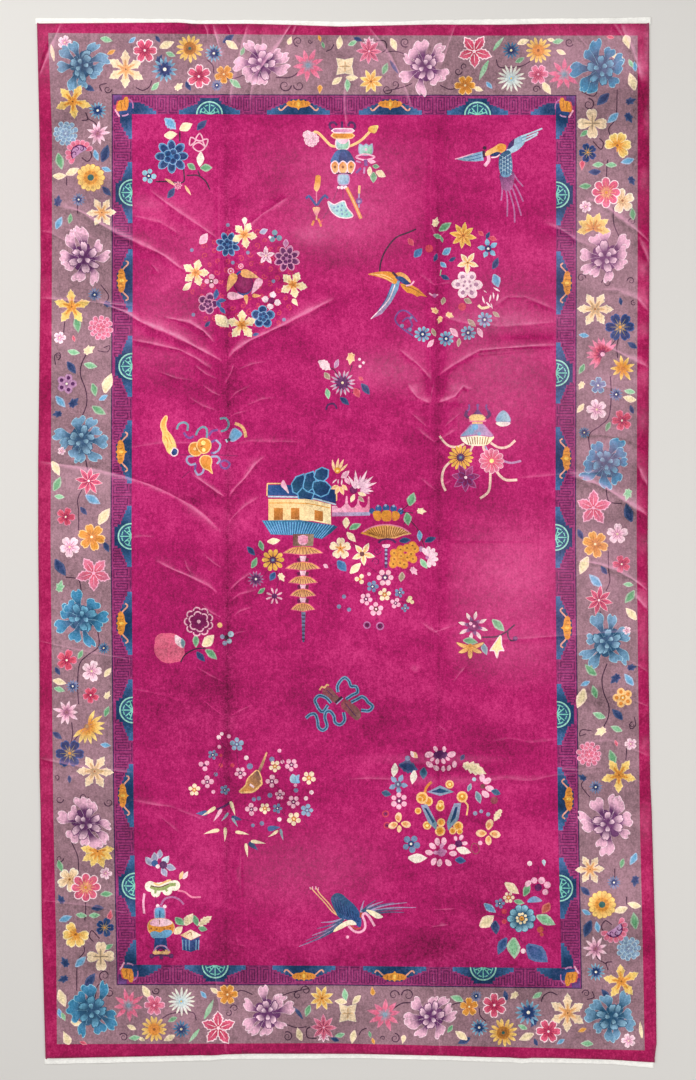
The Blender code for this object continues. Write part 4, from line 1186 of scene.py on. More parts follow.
LOWER_LEFT = (
    ("dot", "peach_rose", (169.5, 648, 15.2), (163, 641, 8), (176, 653, 9)),
    ("line", 1.4, "stem", ((181, 662), (185, 655), (195, 649), (206, 648))),
    ("leaf", "leaf", "bloom", (179.5, 641.5, 58, 15)), ("leaf", "leaf", "fade_teal", (183.5, 643, 70, 10)),
    ("leaf", "leaf", "green", (196, 641, 90, 13), (212, 653.5, 30, 15)),
    ("leaf", "wide", "cream", (209, 641, -38, 16)), ("leaf", "leaf", "navy", (200.5, 657, 58, 13)),
    ("flower", "crescents", "outline", (199, 621.5, 13.5, 20)), ("dot", "apricot", (220, 625, 2.7)),
    ("dot", "stem", (226.5, 637.5, 2.6)), ("dot", "mist", (231, 634, 3.1), (229.5, 641, 2.6)),
    ("dot", "haze", (225, 643, 2.5), (222.5, 636.5, 2.4)),
)
LOWER_RIGHT = (
    ("line", 1.6, "stem", ((482, 637), (490, 637), (498, 636), (507, 631), (514.5, 624.5)), ((507.5, 631),
     (508, 637), (511, 640.5), (515, 640))), ("flower", "spiked8", "blush_purple", (473, 626, 15.5, 15)),
    ("dot", "plum", (473, 626, 5.6)), ("dot", "blush", (470.5, 623.5, 1.8), (473.8, 626, 1.3)),
    ("leaf", "leaf", "green", (498.5, 625, 40, 17), (470.5, 640.5, 2, 15)),
    ("dot", "purple", (515, 638.5, 2.6)),
    ("cell", "bloom", "butter", "cream", ((500.5, 635.5), (496, 641), (492.5, 646), (490, 650.5),
     (494, 650.5), (496.8, 657.5), (499, 650.5), (503.5, 650.5), (501.5, 645))),
    ("leaf", "leaf", "fade_teal", (483.8, 649, 80, 13)),
    ("flower", "droop", "mum_gold", (470, 650.5, 9.5, 90)),
)
KNOT = (
    ("blob", "umber", "bark", ((322, 692), (325, 687), (331, 688), (336, 694), (340, 699), (336, 703),
     (330, 699), (325, 695)), ((341, 703), (346, 699), (352, 703), (359, 709), (361, 716), (357, 720),
     (352, 717), (347, 712), (342, 708))),
    ("line", 0.8, "purple", ((327, 690), (334, 697)), ((345, 703), (350, 709), (356, 716))),
    ("ribbon", 2.9, "deep_teal", "steel", ((338, 692), (337.5, 686), (341, 680), (345, 677.5), (349, 681),
     (351, 686), (356, 686.5), (357.5, 692), (352, 695), (346, 699)), ((351, 702), (357, 699), (362, 696.5),
     (366, 699), (368, 702), (372.5, 706), (369, 710.5), (361, 710)), ((331, 703), (326, 697.5),
     (319, 695.5), (315, 700), (317, 705), (319, 709), (323, 711.5), (328, 705)), ((306, 718), (310, 714.5),
     (315, 714), (317.5, 720), (318.5, 727), (323, 730), (327, 726), (325, 718), (326, 712), (330, 711),
     (334, 716), (335, 722), (340, 724.5), (344.5, 720), (343.5, 712))),
    ("line", 2.6, "stem", ((335.5, 703), (342, 696.5))), ("line", 1.0, "haze", ((336.5, 704), (343, 698))),
    ("line", 1.6, "peach", ((319.5, 690), (322, 686.5), (324.5, 687.5), (327, 684.5), (329, 685.5))),
)
LOWER_FLOWERS = (
    ("dot", "bloom", (219, 737, 2.3), (222, 733.5, 1.9), (246.5, 757.5, 2.4), (279.5, 819, 2.3),
     (311.5, 792, 2.3), (306, 798, 2.2)),
    ("dot", "blush", (229, 736, 2.1), (219.5, 746.5, 2), (213.5, 791.5, 2), (279.5, 750.5, 2.1),
     (282.5, 761.5, 2.1)),
    ("dot", "fade_slate", (250, 766, 3.2), (216, 774, 2.2), (272, 759, 2.8), (296, 790, 2.4),
     (254, 799, 2.2), (259, 798, 2.2), (262, 823, 2.4), (253, 825, 2), (270, 795, 2.6)),
    ("dot", "coral", (221, 765, 2.4), (232.5, 765, 2.2), (221, 755, 1.8)),
    ("line", 0.8, "shade", ((219, 738), (225, 748), (222, 762), (212, 778), (200, 790)), ((237, 750),
     (238, 762), (240, 772)), ((279, 752), (284, 764), (290, 772), (300, 780)), ((272, 781), (280, 790),
     (292, 800), (305, 808)), ((252, 809), (266, 806), (280, 808)), ((280, 796), (280, 808), (286, 816)),
     ((302, 818), (308, 826))), ("flower", "plain5", "misty", (237, 744, 7.4, -90), (307, 810, 6.8, 0)),
    ("flower", "plain5", "slate", (213, 754.5, 5.4, 0), (225, 789.5, 5.2, 0), (277.5, 808, 5.4, 0)),
    ("flower", "tri", "pinkish", (204.5, 765, 6, 80)),
    ("flower", "plain5", "pinkish", (240.5, 772.5, 6.4, 90), (291.5, 764.5, 7, 90), (280, 794.5, 5.4, -90),
     (293.5, 801.5, 7, 90)),
    ("flower", "plain4", "pinkish", (207.5, 781.5, 6.4, 0), (272, 781, 6.6, 0), (251.5, 809, 6.4, 0)),
    ("flower", "plain5", "strawy", (194.5, 789.5, 6.6, -90), (275, 766, 6.4, 90), (309, 777.5, 7.4, 90),
     (265, 808, 6, 90), (294, 818.5, 7.4, 90)),
    ("blob", "mist", "sky", ((290, 777), (293, 773.5), (296, 775.5), (299.5, 774), (299, 779), (300, 782.5),
     (294, 783), (290.5, 781.5))), ("dot", "blush", (295.5, 785, 1.8)),
    # the perching bird
    ("area", "peach", "bark", ((266.4, 751.5), (267.6, 752.5), (263.5, 765), (260, 773), (257.5, 771))),
    ("cell", "apricot", "bark", "amber", ((257.5, 770), (261, 776), (261.5, 783), (256, 790), (249, 792),
     (239.5, 791.5), (245.5, 785), (247.5, 779), (252, 774))),
    ("line", 1.8, "apricot", ((241, 792.2), (253, 791.4), (258, 787), (262, 783.5), (260.5, 780))),
    ("line", 2.0, "bloom", ((250, 784), (254, 787))),
    # bamboo
    ("line", 2.2, "purple", ((232, 801), (224, 806), (217, 809))),
    ("line", 0.8, "shade", ((232, 815), (240, 818), (256, 822))),
    ("leaf", "blade", "navy_light", (202, 813, 175, 12), (274, 827, -18, 13)),
    ("leaf", "blade", "navy", (237, 818, 10, 11), (254, 845.5, 31, 12)),
    ("leaf", "slim", "cream", (209.5, 812, 139, 16), (233.5, 808, 67, 15), (211.5, 830.5, 174, 16),
     (226, 834, 84, 14), (242.5, 832, 3, 14), (258.5, 841.5, 5, 15), (246.7, 850, 84, 14),
     (273.5, 834, 140, 12)), ("leaf", "slim", "blush", (218, 815, 120, 15)),
    ("leaf", "slim", "fade_teal", (225.5, 817, 122, 11), (235.5, 822, 52, 11), (281.5, 834.5, 82, 12)),
)
GOLD_ROUNDEL = (
    # the pink flower at the top
    ("blob", "plum_core", "purple", ((433, 754), (437, 750.5), (444, 750.5), (448, 754), (446, 758),
     (440, 759), (434.5, 758))),
    ("leaf", "pip", "blush", (429, 754, 180, 9), (435.6, 748.5, 255, 6), (444.4, 749, 285, 6),
     (451.4, 754.6, 0, 9), (432, 759, 140, 5), (437, 761, 105, 6), (443, 761, 80, 6), (447.4, 758.6, 50, 5),
     (429, 764.5, 50, 8), (436, 767.6, 40, 7), (443, 768.4, 100, 6), (449, 767.6, 95, 6),
     (454.4, 764, 90, 7)), ("leaf", "jagged", "navy", (408.5, 766, 8, 20)),
    ("dot", "fade_slate", (407.5, 758, 2.8)), ("leaf", "wide", "apricot", (414, 755, 50, 9)),
    ("leaf", "leaf", "bloom", (412.5, 754, 60, 7)), ("leaf", "leaf", "ivory", (395, 770, 90, 14)),
    ("leaf", "wide", "deep_teal", (423, 773, 100, 12)), ("leaf", "leaf", "ivory", (413.5, 777, 97, 14)),
    ("flower", "starlet", "misty", (398, 784, 10.5, 10)),
    ("leaf", "wide", "deep_teal", (386.5, 793, 10, 10)),
    ("flower", "plain6", "pinkish", (399, 800.5, 9.6, 30)),
    ("bead", "coral", "shade", "stem", (385.5, 813.5, 3.6), (387, 825, 3.6)),
    # the gold blossoms
    ("leaf", "pip", "apricot", (398, 817, -100, 10), (393, 825, 155, 10), (406, 824, 15, 10),
     (399.5, 828.5, 80, 7), (489, 824, -78, 11), (481, 833, 178, 11), (495, 833.5, 4, 11),
     (488, 840, 98, 9.5)),
    ("leaf", "pip", "orange", (398, 817.4, -100, 5.6), (393.6, 824.8, 155, 5.6), (405.4, 823.8, 15, 5.6),
     (488.8, 824.6, -78, 6), (481.8, 833, 178, 6), (494.4, 833.4, 4, 6), (488, 839.2, 98, 5)),
    ("line", 2.6, "orange", ((431.5, 781.5), (427, 786), (425, 791), (426, 797))),
    ("line", 1.6, "apricot", ((464, 801), (467.6, 805), (466.5, 815))),
    ("bead", "apricot", "gold", "orange", (428, 801, 4.8), (422, 797.5, 6), (420, 799, 3.2),
     (418, 810.5, 3.4), (449.5, 784, 4.3), (462, 796.5, 5.6), (440.5, 803, 3.4), (440, 806.5, 4.4),
     (427, 825, 4.3), (441, 822, 4.2), (440, 830.5, 5.2), (452.5, 830.5, 3.6), (458, 826, 5),
     (459.5, 831, 3.2)),
    ("dot", "butter", (449.5, 784, 1.6), (440, 805, 1.5), (427, 825, 1.6), (462, 796, 1.4)),
    ("area", "haze", "fade_teal", ((427, 791.6), (440, 785), (454, 791.6), (440, 795.6)), ((420.5, 804.5),
     (427, 804), (437, 823), (436, 829.5), (428, 822)), ((454, 803), (461, 802.5), (458.5, 819), (448, 830),
     (446.5, 822))),
    ("area", "navy", "deep_teal", ((431, 791.2), (440, 787.8), (449, 791.2), (440, 793)), ((424, 807.5),
     (426.5, 808), (434.5, 821), (432.5, 823)), ((455, 807), (457.6, 806.5), (455.5, 817), (449.5, 824))),
    ("leaf", "wide", "navy", (462.5, 757, -55, 7)), ("leaf", "saw", "cream", (475, 767.5, 14, 25)),
    ("leaf", "pip", "blush", (482, 777.5, 280, 8), (487, 781, 345, 9), (489.5, 788, 10, 9),
     (485, 794, 50, 9)), ("dot", "moss_brown", (482.5, 786, 2.6)), ("dot", "mist", (474, 779, 2.1)),
    ("leaf", "leaf", "fade_teal", (469.5, 787, -65, 9), (478.5, 797, 68, 13)),
    ("leaf", "wide", "deep_teal", (496, 791.5, 10, 10)), ("dot", "umber", (494, 800, 3.8)),
    ("dot", "haze", (475, 813, 2.3), (481, 811, 2), (488, 814, 2.2)),
    ("leaf", "saw", "cream", (497, 815, 125, 14)), ("dot", "blush", (480, 842.5, 2.3)),
    ("rim", 1.1, "umber", ((471, 849), (473, 843), (478, 845), (479, 851), (475, 853.5))),
    ("flower", "plain5", "slate", (411, 843.5, 9.6, 10)),
    ("leaf", "pip", "blush", (455.4, 838, 250, 5), (461, 837, 290, 6), (464.5, 843, 10, 6)),
    ("dot", "plum_core", (458.4, 843.4, 3.8)), ("leaf", "leaf", "ivory", (463.5, 850.5, 20, 15)),
    ("leaf", "pip", "blush", *((441 + reach * cos(radians(a)), 852 + 0.95 * reach * sin(radians(a)), a,
     8) for reach, a in ((12, 6), (13, 58), (11, 98), (12, 130), (12, 178), (11, 218), (12, 250), (12, 285),
     (12, 330)))),
    ("leaf", "pip", "mauve", (441.5, 845.5, 290, 6), (444, 851.5, 350, 6), (436, 852, 200, 6)),
    ("dot", "mauve", (441.5, 852, 4.2)), ("leaf", "leaf", "ivory", (417.5, 858.5, 8, 19)),
    ("leaf", "wide", "navy_light", (460.5, 859.5, 0, 11)),
)
LOWER_VASE = (
    ("leaf", "wide", "haze", (149.5, 860.5, 240, 11), (155, 857, 265, 11), (160.5, 853.5, 280, 9)),
    ("leaf", "wide", "mist", (165.5, 859.5, 300, 11)),
    ("leaf", "wide", "haze", (171, 866.5, 5, 11), (164.5, 872, 60, 10)),
    ("dot", "purple", (163.5, 864.5, 4)), ("dot", "navy_light", (155, 863, 3.4)),
    ("dot", "bloom", (158, 866, 2.2)), ("leaf", "leaf", "apricot", (182, 875, -60, 9)),
    ("leaf", "leaf", "bloom", (186, 875, -50, 9)),
    ("dot", "ivory", (150.5, 886, 5.4), (156, 892, 4.8), (167.5, 890, 5), (175, 885, 5.4), (162, 886.5, 5),
     (169, 883, 4), (158, 886, 4)),
    ("line", 3.6, "sage", ((150.5, 886), (156, 888), (164, 888), (170, 884.5), (176, 884))),
    ("line", 2.2, "sage", ((156, 888), (155.5, 893)), ((165, 887), (167.5, 891))),
    ("line", 1.8, "apricot", ((154, 882.5), (159, 884.5), (164, 882), (171, 879.5))),
    ("line", 1.0, "moss_brown", ((151, 885.5), (160, 886.6), (169, 883.5))),
    ("line", 2.2, "blush", ((144.6, 893), (143.6, 903), (144.5, 913))),
    ("line", 1.8, "pink", ((178, 890), (185, 891.5), (192, 896.5), (201, 896.5))),
    ("line", 2.0, "mauve", ((161, 905), (165, 898.5), (173, 896.5), (180, 899.5), (184, 904))),
    ("line", 1.0, "shade", ((156, 896), (156, 904))), ("dot", "bloom", (158, 905.5, 1.9), (165, 906, 1.9)),
    ("cell", "lilac", "sky", "steel", ((155.5, 908), (164.5, 908), (164.3, 920), (156, 920))),
    ("line", 1.2, "navy_light", ((160, 910), (160, 919))),
    ("cell", "peach", "gold", "orange", ((148, 926), (151, 920), (160, 918), (170, 920), (174.5, 926),
     (172, 933), (161, 935), (151, 933))),
    ("blob", "blush", "bloom", ((150, 922.5), (155, 918.5), (167, 918.5), (172.5, 922.5), (168, 925),
     (160, 926), (152, 925))), ("line", 0.8, "brown", ((160, 919.5), (160, 924))),
    ("dot", "brown", (151.5, 928, 1.1), (157, 928.5, 1), (164.5, 928.5, 1), (170.5, 927.5, 1.1)),
    ("blob", "steel", "sky", ((150.5, 932.5), (155.5, 930.5), (160, 932), (165, 929.5), (172, 930),
     (171.5, 934), (166, 937.5), (154, 938))),
    ("area", "navy_light", "navy", ((155, 937.4), (166.6, 937.4), (168, 949), (154, 949))),
    ("blob", "apricot", "peach", ((153, 951.5), (156, 949), (161, 951), (166, 949), (170.5, 950.5),
     (168, 954), (155, 954))),
    ("line", 1.5, "lilac", ((154, 950.5), (158, 945.6), (165, 945.6), (169.5, 950.5))),
    ("line", 1.4, "plum_core", ((157, 950.6), (161, 947), (165, 950.6))),
    ("line", 2.0, "purple", ((152.5, 955.5), (161, 954.6), (171, 955.5))),
    ("dot", "purple", (152, 955.6, 2.5), (161.5, 956.6, 2.2), (171.5, 955.4, 2.5)),
    # the planter
    ("area", "navy_light", "navy", ((181.5, 936), (191, 940), (200, 936), (199, 948.6), (191, 951.5),
     (183.5, 949.5))),
    ("line", 1.1, "steel", *(((x, 939.5), (x + 0.06 * (191 - x),
     949.6)) for x in (182.6, 186, 189.4, 196.4, 199.2))),
    ("area", "peach", "ivory", ((180.5, 934.6), (191, 929), (201.5, 934.6), (191, 939.6))),
    ("line", 0.7, "brown", ((187, 934), (191, 931.6), (192, 935))),
    ("leaf", "wide", "green", (179.5, 921.5, 50, 12), (203, 928.5, 20, 9)),
    ("leaf", "wide", "cream", (179, 930, -35, 11), (188.5, 918.5, -65, 14)),
    ("leaf", "leaf", "green", (196, 920.5, 72, 12)), ("leaf", "saw", "cream", (205, 919.5, -45, 16)),
)
CRANE = (
    ("line", 1.1, "peach", ((310.6, 887), (318, 895), (325, 902.5), (332, 911), (337.6, 915)), ((316, 887),
     (320, 893.5), (328, 902), (334, 910.5), (337.6, 915))),
    ("line", 0.9, "blush", ((310.5, 889), (309.8, 886.5)), ((312.6, 889), (312.6, 886)), ((315.4, 889),
     (316, 885.6)), ((318, 890), (318.6, 887))),
    # the wings' long feathers, and the near wing
    ("feather", "haze", (345, 918, 321, 922), (342, 921, 312, 935), (338, 926, 299, 946)),
    ("feather", "deep_teal", (344, 919, 317, 928), (340, 923, 306, 940), (337, 928, 303, 944),
     (343, 922, 322, 931)),
    ("feather", "haze", (361, 912, 364, 900), (363, 910, 383, 901), (364, 911, 407, 902),
     (366, 912, 416, 907)),
    ("feather", "deep_teal", (362, 911, 376, 899.5), (363, 911, 394, 902), (366, 913, 402, 909),
     (370, 914, 404, 912)),
    ("blob", "deep_teal", "navy_light", ((331, 900), (332.5, 895), (337, 892.5), (342.5, 894), (347, 898),
     (354, 904), (359, 911), (361.5, 920), (360, 927), (354, 923), (346, 919), (339, 917), (335, 910))),
    ("line", 0.9, "navy", *(((334 + 3.1 * i, 896 + 2.4 * i), (336 + 2.9 * i, 905 + 2.0 * i),
     (340 + 2.6 * i, 913 + 1.2 * i)) for i in range(8))), ("line", 2.6, "rust", ((361, 912), (361, 917))),
    ("line", 1.6, "rust", ((350, 924), (356, 928.5), (361, 927))),
    ("blob", "cream", "ivory", ((333.5, 931.5), (336, 927), (345, 921), (352, 919.6), (356.5, 924),
     (348, 925), (341, 928.5))),
    ("blob", "cream", "ivory", ((366, 909.5), (372, 910), (378, 912.5), (383, 916.5), (377, 918),
     (371, 914.5))),
    ("line", 2.3, "blush", ((348.5, 925.5), (354, 930.6), (360, 931.6), (364.8, 928), (364.8, 921),
     (362.5, 915.6), (365, 912.6), (369.5, 917), (374.6, 925.6))), ("dot", "blush", (347.5, 936.5, 1.6)),
)
SPRAY_BOTTOM_RIGHT = (
    ("line", 1.1, "shade", ((520, 932), (519, 938), (523, 943)), ((496, 915), (508, 918)), ((534, 916),
     (545, 918)), ((515, 903), (519, 908)), ((530, 900), (527, 908))),
    ("flower", "rosette", "deep", (521.5, 918, 14, 0)),
    ("flower", "plain8", "cream_gold", (521.5, 918, 7.4, 10)),
    ("leaf", "leaf", "cream", (512, 887.5, 35, 18)), ("flower", "plain6", "strawy", (508.5, 897, 6.4, 0)),
    ("leaf", "leaf", "green", (527, 889, -63, 15), (519, 901.5, 12, 11)),
    ("leaf", "pip", "blush", (527.5, 883, 300, 8)),
    ("dot", "blush", (534, 880, 3.2), (541.5, 880, 3.6), (547, 884.5, 3.5), (545, 891.5, 3.1)),
    ("dot", "plum_core", (538, 887, 3.8)),
    ("blob", "sky", "haze", ((527, 901.5), (530.5, 897), (536, 896), (542, 900.5), (534, 902))),
    ("dot", "coral", (504, 911, 2.8), (504, 921, 2.6)), ("dot", "rust", (540, 929, 3.4), (541.5, 934, 2)),
    ("leaf", "wide", "rust", (546, 908, 120, 13)), ("leaf", "leaf", "mint", (546, 919, 20, 21)),
    ("flower", "plain5", "slate", (499.5, 903, 5.4, 0)), ("leaf", "leaf", "sky", (489.5, 908, 42, 15)),
    ("leaf", "wide", "cream", (487, 921, -35, 18)), ("leaf", "wide", "navy", (494.5, 927, 95, 14)),
    ("leaf", "leaf", "navy_light", (501, 945, 125, 19)), ("leaf", "wide", "mint", (512.5, 947.5, 97, 21)),
    ("leaf", "wide", "navy_light", (536, 954, 48, 27)),
    ("dot", "bloom", (523, 950.5, 2.6), (529.5, 863, 2.6)), ("leaf", "bud", "mist", (543.5, 862.5, 90, 7)),
    ("line", 1.0, "shade", ((538, 866), (538, 873))),
)
MOTIFS = (
    SPRAY_TOP_LEFT, VASE, FLYING_BIRD, ROUNDEL_LEFT, ROUNDEL_RIGHT, SPRAY_MIDDLE, GOURD, LANTERN, PAVILION,
    GARDEN, LOWER_LEFT, LOWER_RIGHT, KNOT, LOWER_FLOWERS, GOLD_ROUNDEL, LOWER_VASE, CRANE, SPRAY_BOTTOM_RIGHT,
)
LINE_STEP, RIBBON_STEP = 2.0, 1.6  # cells between the points of a smooth line


def open_line(width, colour, points):
    stroke(smooth(points, LINE_STEP), width, colour)


def ribbon(width, colour, edge, points):
    """A woven ribbon: dark, with a paler edge."""
    stroke(smooth(points, RIBBON_STEP), width + 0.5, edge)
    stroke(smooth(points, RIBBON_STEP), 0.42 * width, colour)


def closed_line(width, colour, points):
    stroke([*points, points[0]], width, colour)


def soft_line(width, colour, points):
    """A line round a closed form with rounded corners."""
    closed_line(width, colour, rounded(points))


def filled(colour, colour_to, points):
    """A filled form, its colour running from its first point to the one farthest from that."""
    start = points[0]
    end = max(points, key=lambda p: hypot(p[0] - start[0], p[1] - start[1]))
    paint(points, colour, colour_to, start, end)


def blob(colour, colour_to, points):
    filled(colour, colour_to, rounded(points))


def cell(edge, colour, colour_to, points):
    """A rounded form with an outline."""
    outline = rounded(points)
    filled(colour, colour_to, outline)
    closed_line(1.1, edge, outline)


def crag(edge, colour, colour_to, points):
    """An angular form with an outline."""
    filled(colour, colour_to, points)
    closed_line(1.2, edge, points)


# One tier of a parasol: shares of its half width, and cells down from its middle
TIER = ((-1, 1.5), (-0.8, -1.4), (-0.5, -4.2), (0, -5.4), (0.5, -4.2), (0.8, -1.4), (1, 1.5), (0.55, 2.2),
        (0, 3.6), (-0.55, 2.2))


def canopy(place):
    """One ribbed tier of a parasol: place of its middle and half width."""
    x, y, half = place
    tier = [(x + share * half, y + down) for share, down in TIER]
    paint(tier, "amber", "peach", (x, y - 6), (x, y + 4))
    for i in range(-4, 5):
        high = x + 0.12 * half * i, y - 4.4 + 0.14 * i * i
        low = x + 0.19 * half * i, y + 2.8 - 0.09 * i * i
        stroke([high, low], 0.65, "umber")
    closed_line(0.8, "peach_rose", tier)


def feather(colour, place):
    """A thin feather from its root to its tip."""
    x, y, tip_x, tip_y = place
    middle = (x + tip_x) / 2 + 0.04 * (tip_y - y), (y + tip_y) / 2 - 0.04 * (tip_x - x)
    vane = smooth([(x, y), middle, (tip_x, tip_y)], 4.0)
    stroke(vane, 2.6, colour, taper=True, colour_to=mix(colour, "mauve", 0.6))


def flower(kind, colours, place):
    x, y, r, turn = place
    FLOWERS[kind](x, y, r, turn, COLOURS[colours], 360)


def berry(colour, place):
    x, y, r = place
    disc(x, y, r, mix(colour, "ivory", 0.12), colour)


def bead(edge, colour, light, place):
    """A small round form with an outline and a spot in it."""
    x, y, r = place
    disc(x, y, r, edge)
    disc(x, y, 0.68 * r, colour)
    disc(x, y, 0.26 * r, light)


def curl(colour, place):
    x, y, r, turn = place
    stroke(spiral(x, y, r, turn, 1.3), 1.0, colour, taper=True)


def placed_leaf(kind, colour, place):
    x, y, angle, length = place
    leaf(x, y, angle, length, colour, kind)


def placed_petal(colour, place):
    """A long narrow petal from its root: place, angle and length."""
    x, y, angle, length = place
    foot, tip = mix(colour, "mauve", 0.35), mix(colour, "bloom", 0.6)
    petal(x, y, angle, 0.1 * length, length, 2.0, "blade", foot, tip)


# What draws each kind of row, and how many of the row's values every place shares
DRAW = {
    "line": (open_line, 2), "ribbon": (ribbon, 3), "rim": (soft_line, 2), "area": (filled, 2),
    "blob": (blob, 2), "cell": (cell, 3), "crag": (crag, 3), "canopy": (canopy, 0), "feather": (feather, 1),
    "flower": (flower, 2), "dot": (berry, 1), "bead": (bead, 3), "curl": (curl, 1), "leaf": (placed_leaf, 2),
    "petal": (placed_petal, 1),
}
FADED_ROUND = (244, 281, 55)  # the worn round ground of the left roundel: place and radius
FADED_CURLS = 96
SEED_TURN = 2.39996  # the golden angle: from each seed of a flower head to the next, in radians


def draw_faded_round():
    """Faint coral curls, spread as seeds are in a flower head."""
    x, y, r = FADED_ROUND
    for i in range(FADED_CURLS):
        reach, angle = r * ((i + 0.5) / FADED_CURLS) ** 0.5, SEED_TURN * i
        size, turn = 2.9 + dice.uniform(-0.5, 0.6), dice.uniform(0, 360)
        middle = x + reach * cos(angle), y + reach * sin(angle)
        stroke(spiral(*middle, size, turn, 1.1, 1 if i % 2 else -1), 1.0, "coral_faint")


def draw_field():
    draw_faded_round()
    for motif in MOTIFS:
        for kind, *row in motif:
            draw, shared = DRAW[kind]
            for place in row[shared:]:
                draw(*row[:shared], place)


# ---------------------------------------------------------------- the bands
# Places along the sides where the lines of the sides they meet are read
NEAR_TOP, NEAR_LEFT, NEAR_RIGHT, FOOT_OF_LEFT, FOOT_OF_RIGHT = 40, 60, 640, 1040, 1050


def frame_outline(line, grow=0.0, step=24.0):
    """The closed outline of one line right round the rug."""
    def run(a, b):
        return np.linspace(a, b, max(2, int(abs(b - a) / step)))[:-1]

    x0, x1 = line_at(LEFT, line, NEAR_TOP), line_at(RIGHT, line, NEAR_TOP)
    y0, y1 = line_at(TOP, line, NEAR_LEFT), line_at(TOP, line, NEAR_RIGHT)
    x2, x3 = line_at(LEFT, line, FOOT_OF_LEFT), line_at(RIGHT, line, FOOT_OF_RIGHT)
    y2, y3 = line_at(BOTTOM, line, NEAR_LEFT), line_at(BOTTOM, line, NEAR_RIGHT)
    return ([(x, line_at(TOP, line, x) - grow) for x in run(x0 - grow, x1 + grow)]
            + [(line_at(RIGHT, line, y) + grow, y) for y in run(y1 - grow, y3 + grow)]
            + [(x, line_at(BOTTOM, line, x) + grow) for x in run(x3 + grow, x2 - grow)]
            + [(line_at(LEFT, line, y) - grow, y) for y in run(y2 + grow, y0 - grow)])


# Middles of the half medallions (M) and bats (B) along each side of the fret border
FRET_SIDES = {
    "top": (TOP, (132, 555), ((209.7, "M"), (298.5, "B"), (390.2, "B"), (477.4, "M"))),
    "bottom": (BOTTOM, (137, 561), ((215.3, "M"), (304, "B"), (394.6, "B"), (483, "M"))),
    "left": (LEFT, (115, 964), ((193, "M"), (281, "B"), (366.5, "M"), (452, "B"), (536.3, "M"), (623.2, "B"),
                                (709.8, "M"), (795.2, "B"), (885.5, "M"))),
    "right": (RIGHT, (115, 967), ((195.3, "M"), (283.3, "B"), (373.2, "M"), (458.6, "B"), (537.4, "M"),
                                  (627.7, "B"), (714.2, "M"), (798.5, "B"), (887.7, "M"))),
}
FRET_DEPTH = 19.6
FRET_PITCH = 2.7
FRET_LINE = 0.95
FRET_LOW, FRET_HIGH = 1.5, 17.4  # the lines' reach, measured out from the field
SCROLL = 8.0  # width of one squared scroll
# Half lozenges: distance from the middle, and how deep the steps stand there
STEPS = {
    "M": ((9.5, 16.6), (12, 13.6), (15.5, 10.2), (19, 9), (22.5, 7.6), (26, 6.2), (30.5, 4.6)),
    "B": ((8, 15.5), (11.5, 13.2), (15, 11.4), (19, 9.8), (23, 8.2), (27, 6.4), (31.5, 4.6)),
    "corner": ((9, 12), (13, 10.6), (17, 8.6), (21, 6.2), (24.5, 3.6)),
}
LOZENGE, LOZENGE_TIP = (20, 58, 98), (66, 112, 160)


def side_place(name):
    """A function that places a point s along a side of the fret border and d in from the field's edge."""
    side, _, _ = FRET_SIDES[name]

    def place(s, d):
        inner, outer = line_at(side, FIELD, s), line_at(side, DARK_LINE, s)
        across = inner + (outer - inner) * d / FRET_DEPTH
        return (s, across) if name in ("top", "bottom") else (across, s)

    return place


def step_height(kind, distance):
    return next((height for reach, height in STEPS[kind] if distance <= reach), 0.0)


def stepped(place, middle, kind, sides=(1, -1)):
    """A half lozenge with stepped sides, or a quarter with one of them."""
    reach = STEPS[kind][-1][0]
    for sign in sides:
        outline = [(middle, 0.0)]
        last = 0.0
        for distance, height in STEPS[kind]:
            outline += [(middle + sign * last, height), (middle + sign * distance, height)]
            last = distance
        outline.append((middle + sign * last, 0.0))
        start, end = place(middle + sign * 0.35 * reach, 0), place(middle + sign * reach, 0)
        paint([place(s, d) for s, d in outline], LOZENGE, LOZENGE_TIP, start, end)


def arc(place, s, r, first, last, count=16):
    """Points of a part round in a side's own measures, its angles counted from along the side."""
    turns = [radians(first + (last - first) * i / count) for i in range(count + 1)]
    return [place(s + r * cos(t), r * sin(t)) for t in turns]


# Half a medallion: radii of its rings, the parts of the inner ring, and its spokes' angles and ends
MEDALLION_RIM, MEDALLION_GROUND, MEDALLION_RING, MEDALLION_CURLS, MEDALLION_HUB = 13.4, 12.0, 9.4, 5.6, 2.6
RING_PARTS, CURL_PARTS = ((4, 40), (60, 82), (98, 120), (140, 176)), ((18, 50), (130, 162))
SPOKES = ((18, 9.4), (50, 9.4), (90, 11.0), (130, 9.4), (162, 9.4))
SPOKE_FOOT, SPOKE_WIDTH = 2.0, 1.1


def medallion(place, s):
    """Half a round medallion: a hub, spokes and two rings."""
    paint(arc(place, s, MEDALLION_RIM, 0, 180, 24), mix("teal", "ivory", 0.25))
    paint(arc(place, s, MEDALLION_GROUND, 0, 180, 24), mix("navy", "teal", 0.18))
    for first, last in RING_PARTS:
        stroke(arc(place, s, MEDALLION_RING, first, last, 6), SPOKE_WIDTH, "teal")
    for angle, outer in SPOKES:
        a = radians(angle)
        spoke = [place(s + reach * cos(a), reach * sin(a)) for reach in (SPOKE_FOOT, outer)]
        stroke(spoke, SPOKE_WIDTH, "teal")
    for first, last in CURL_PARTS:
        stroke(arc(place, s, MEDALLION_CURLS, first, last, 5), 1.0, "teal")
    paint(arc(place, s, MEDALLION_HUB, 0, 180, 8), "teal")


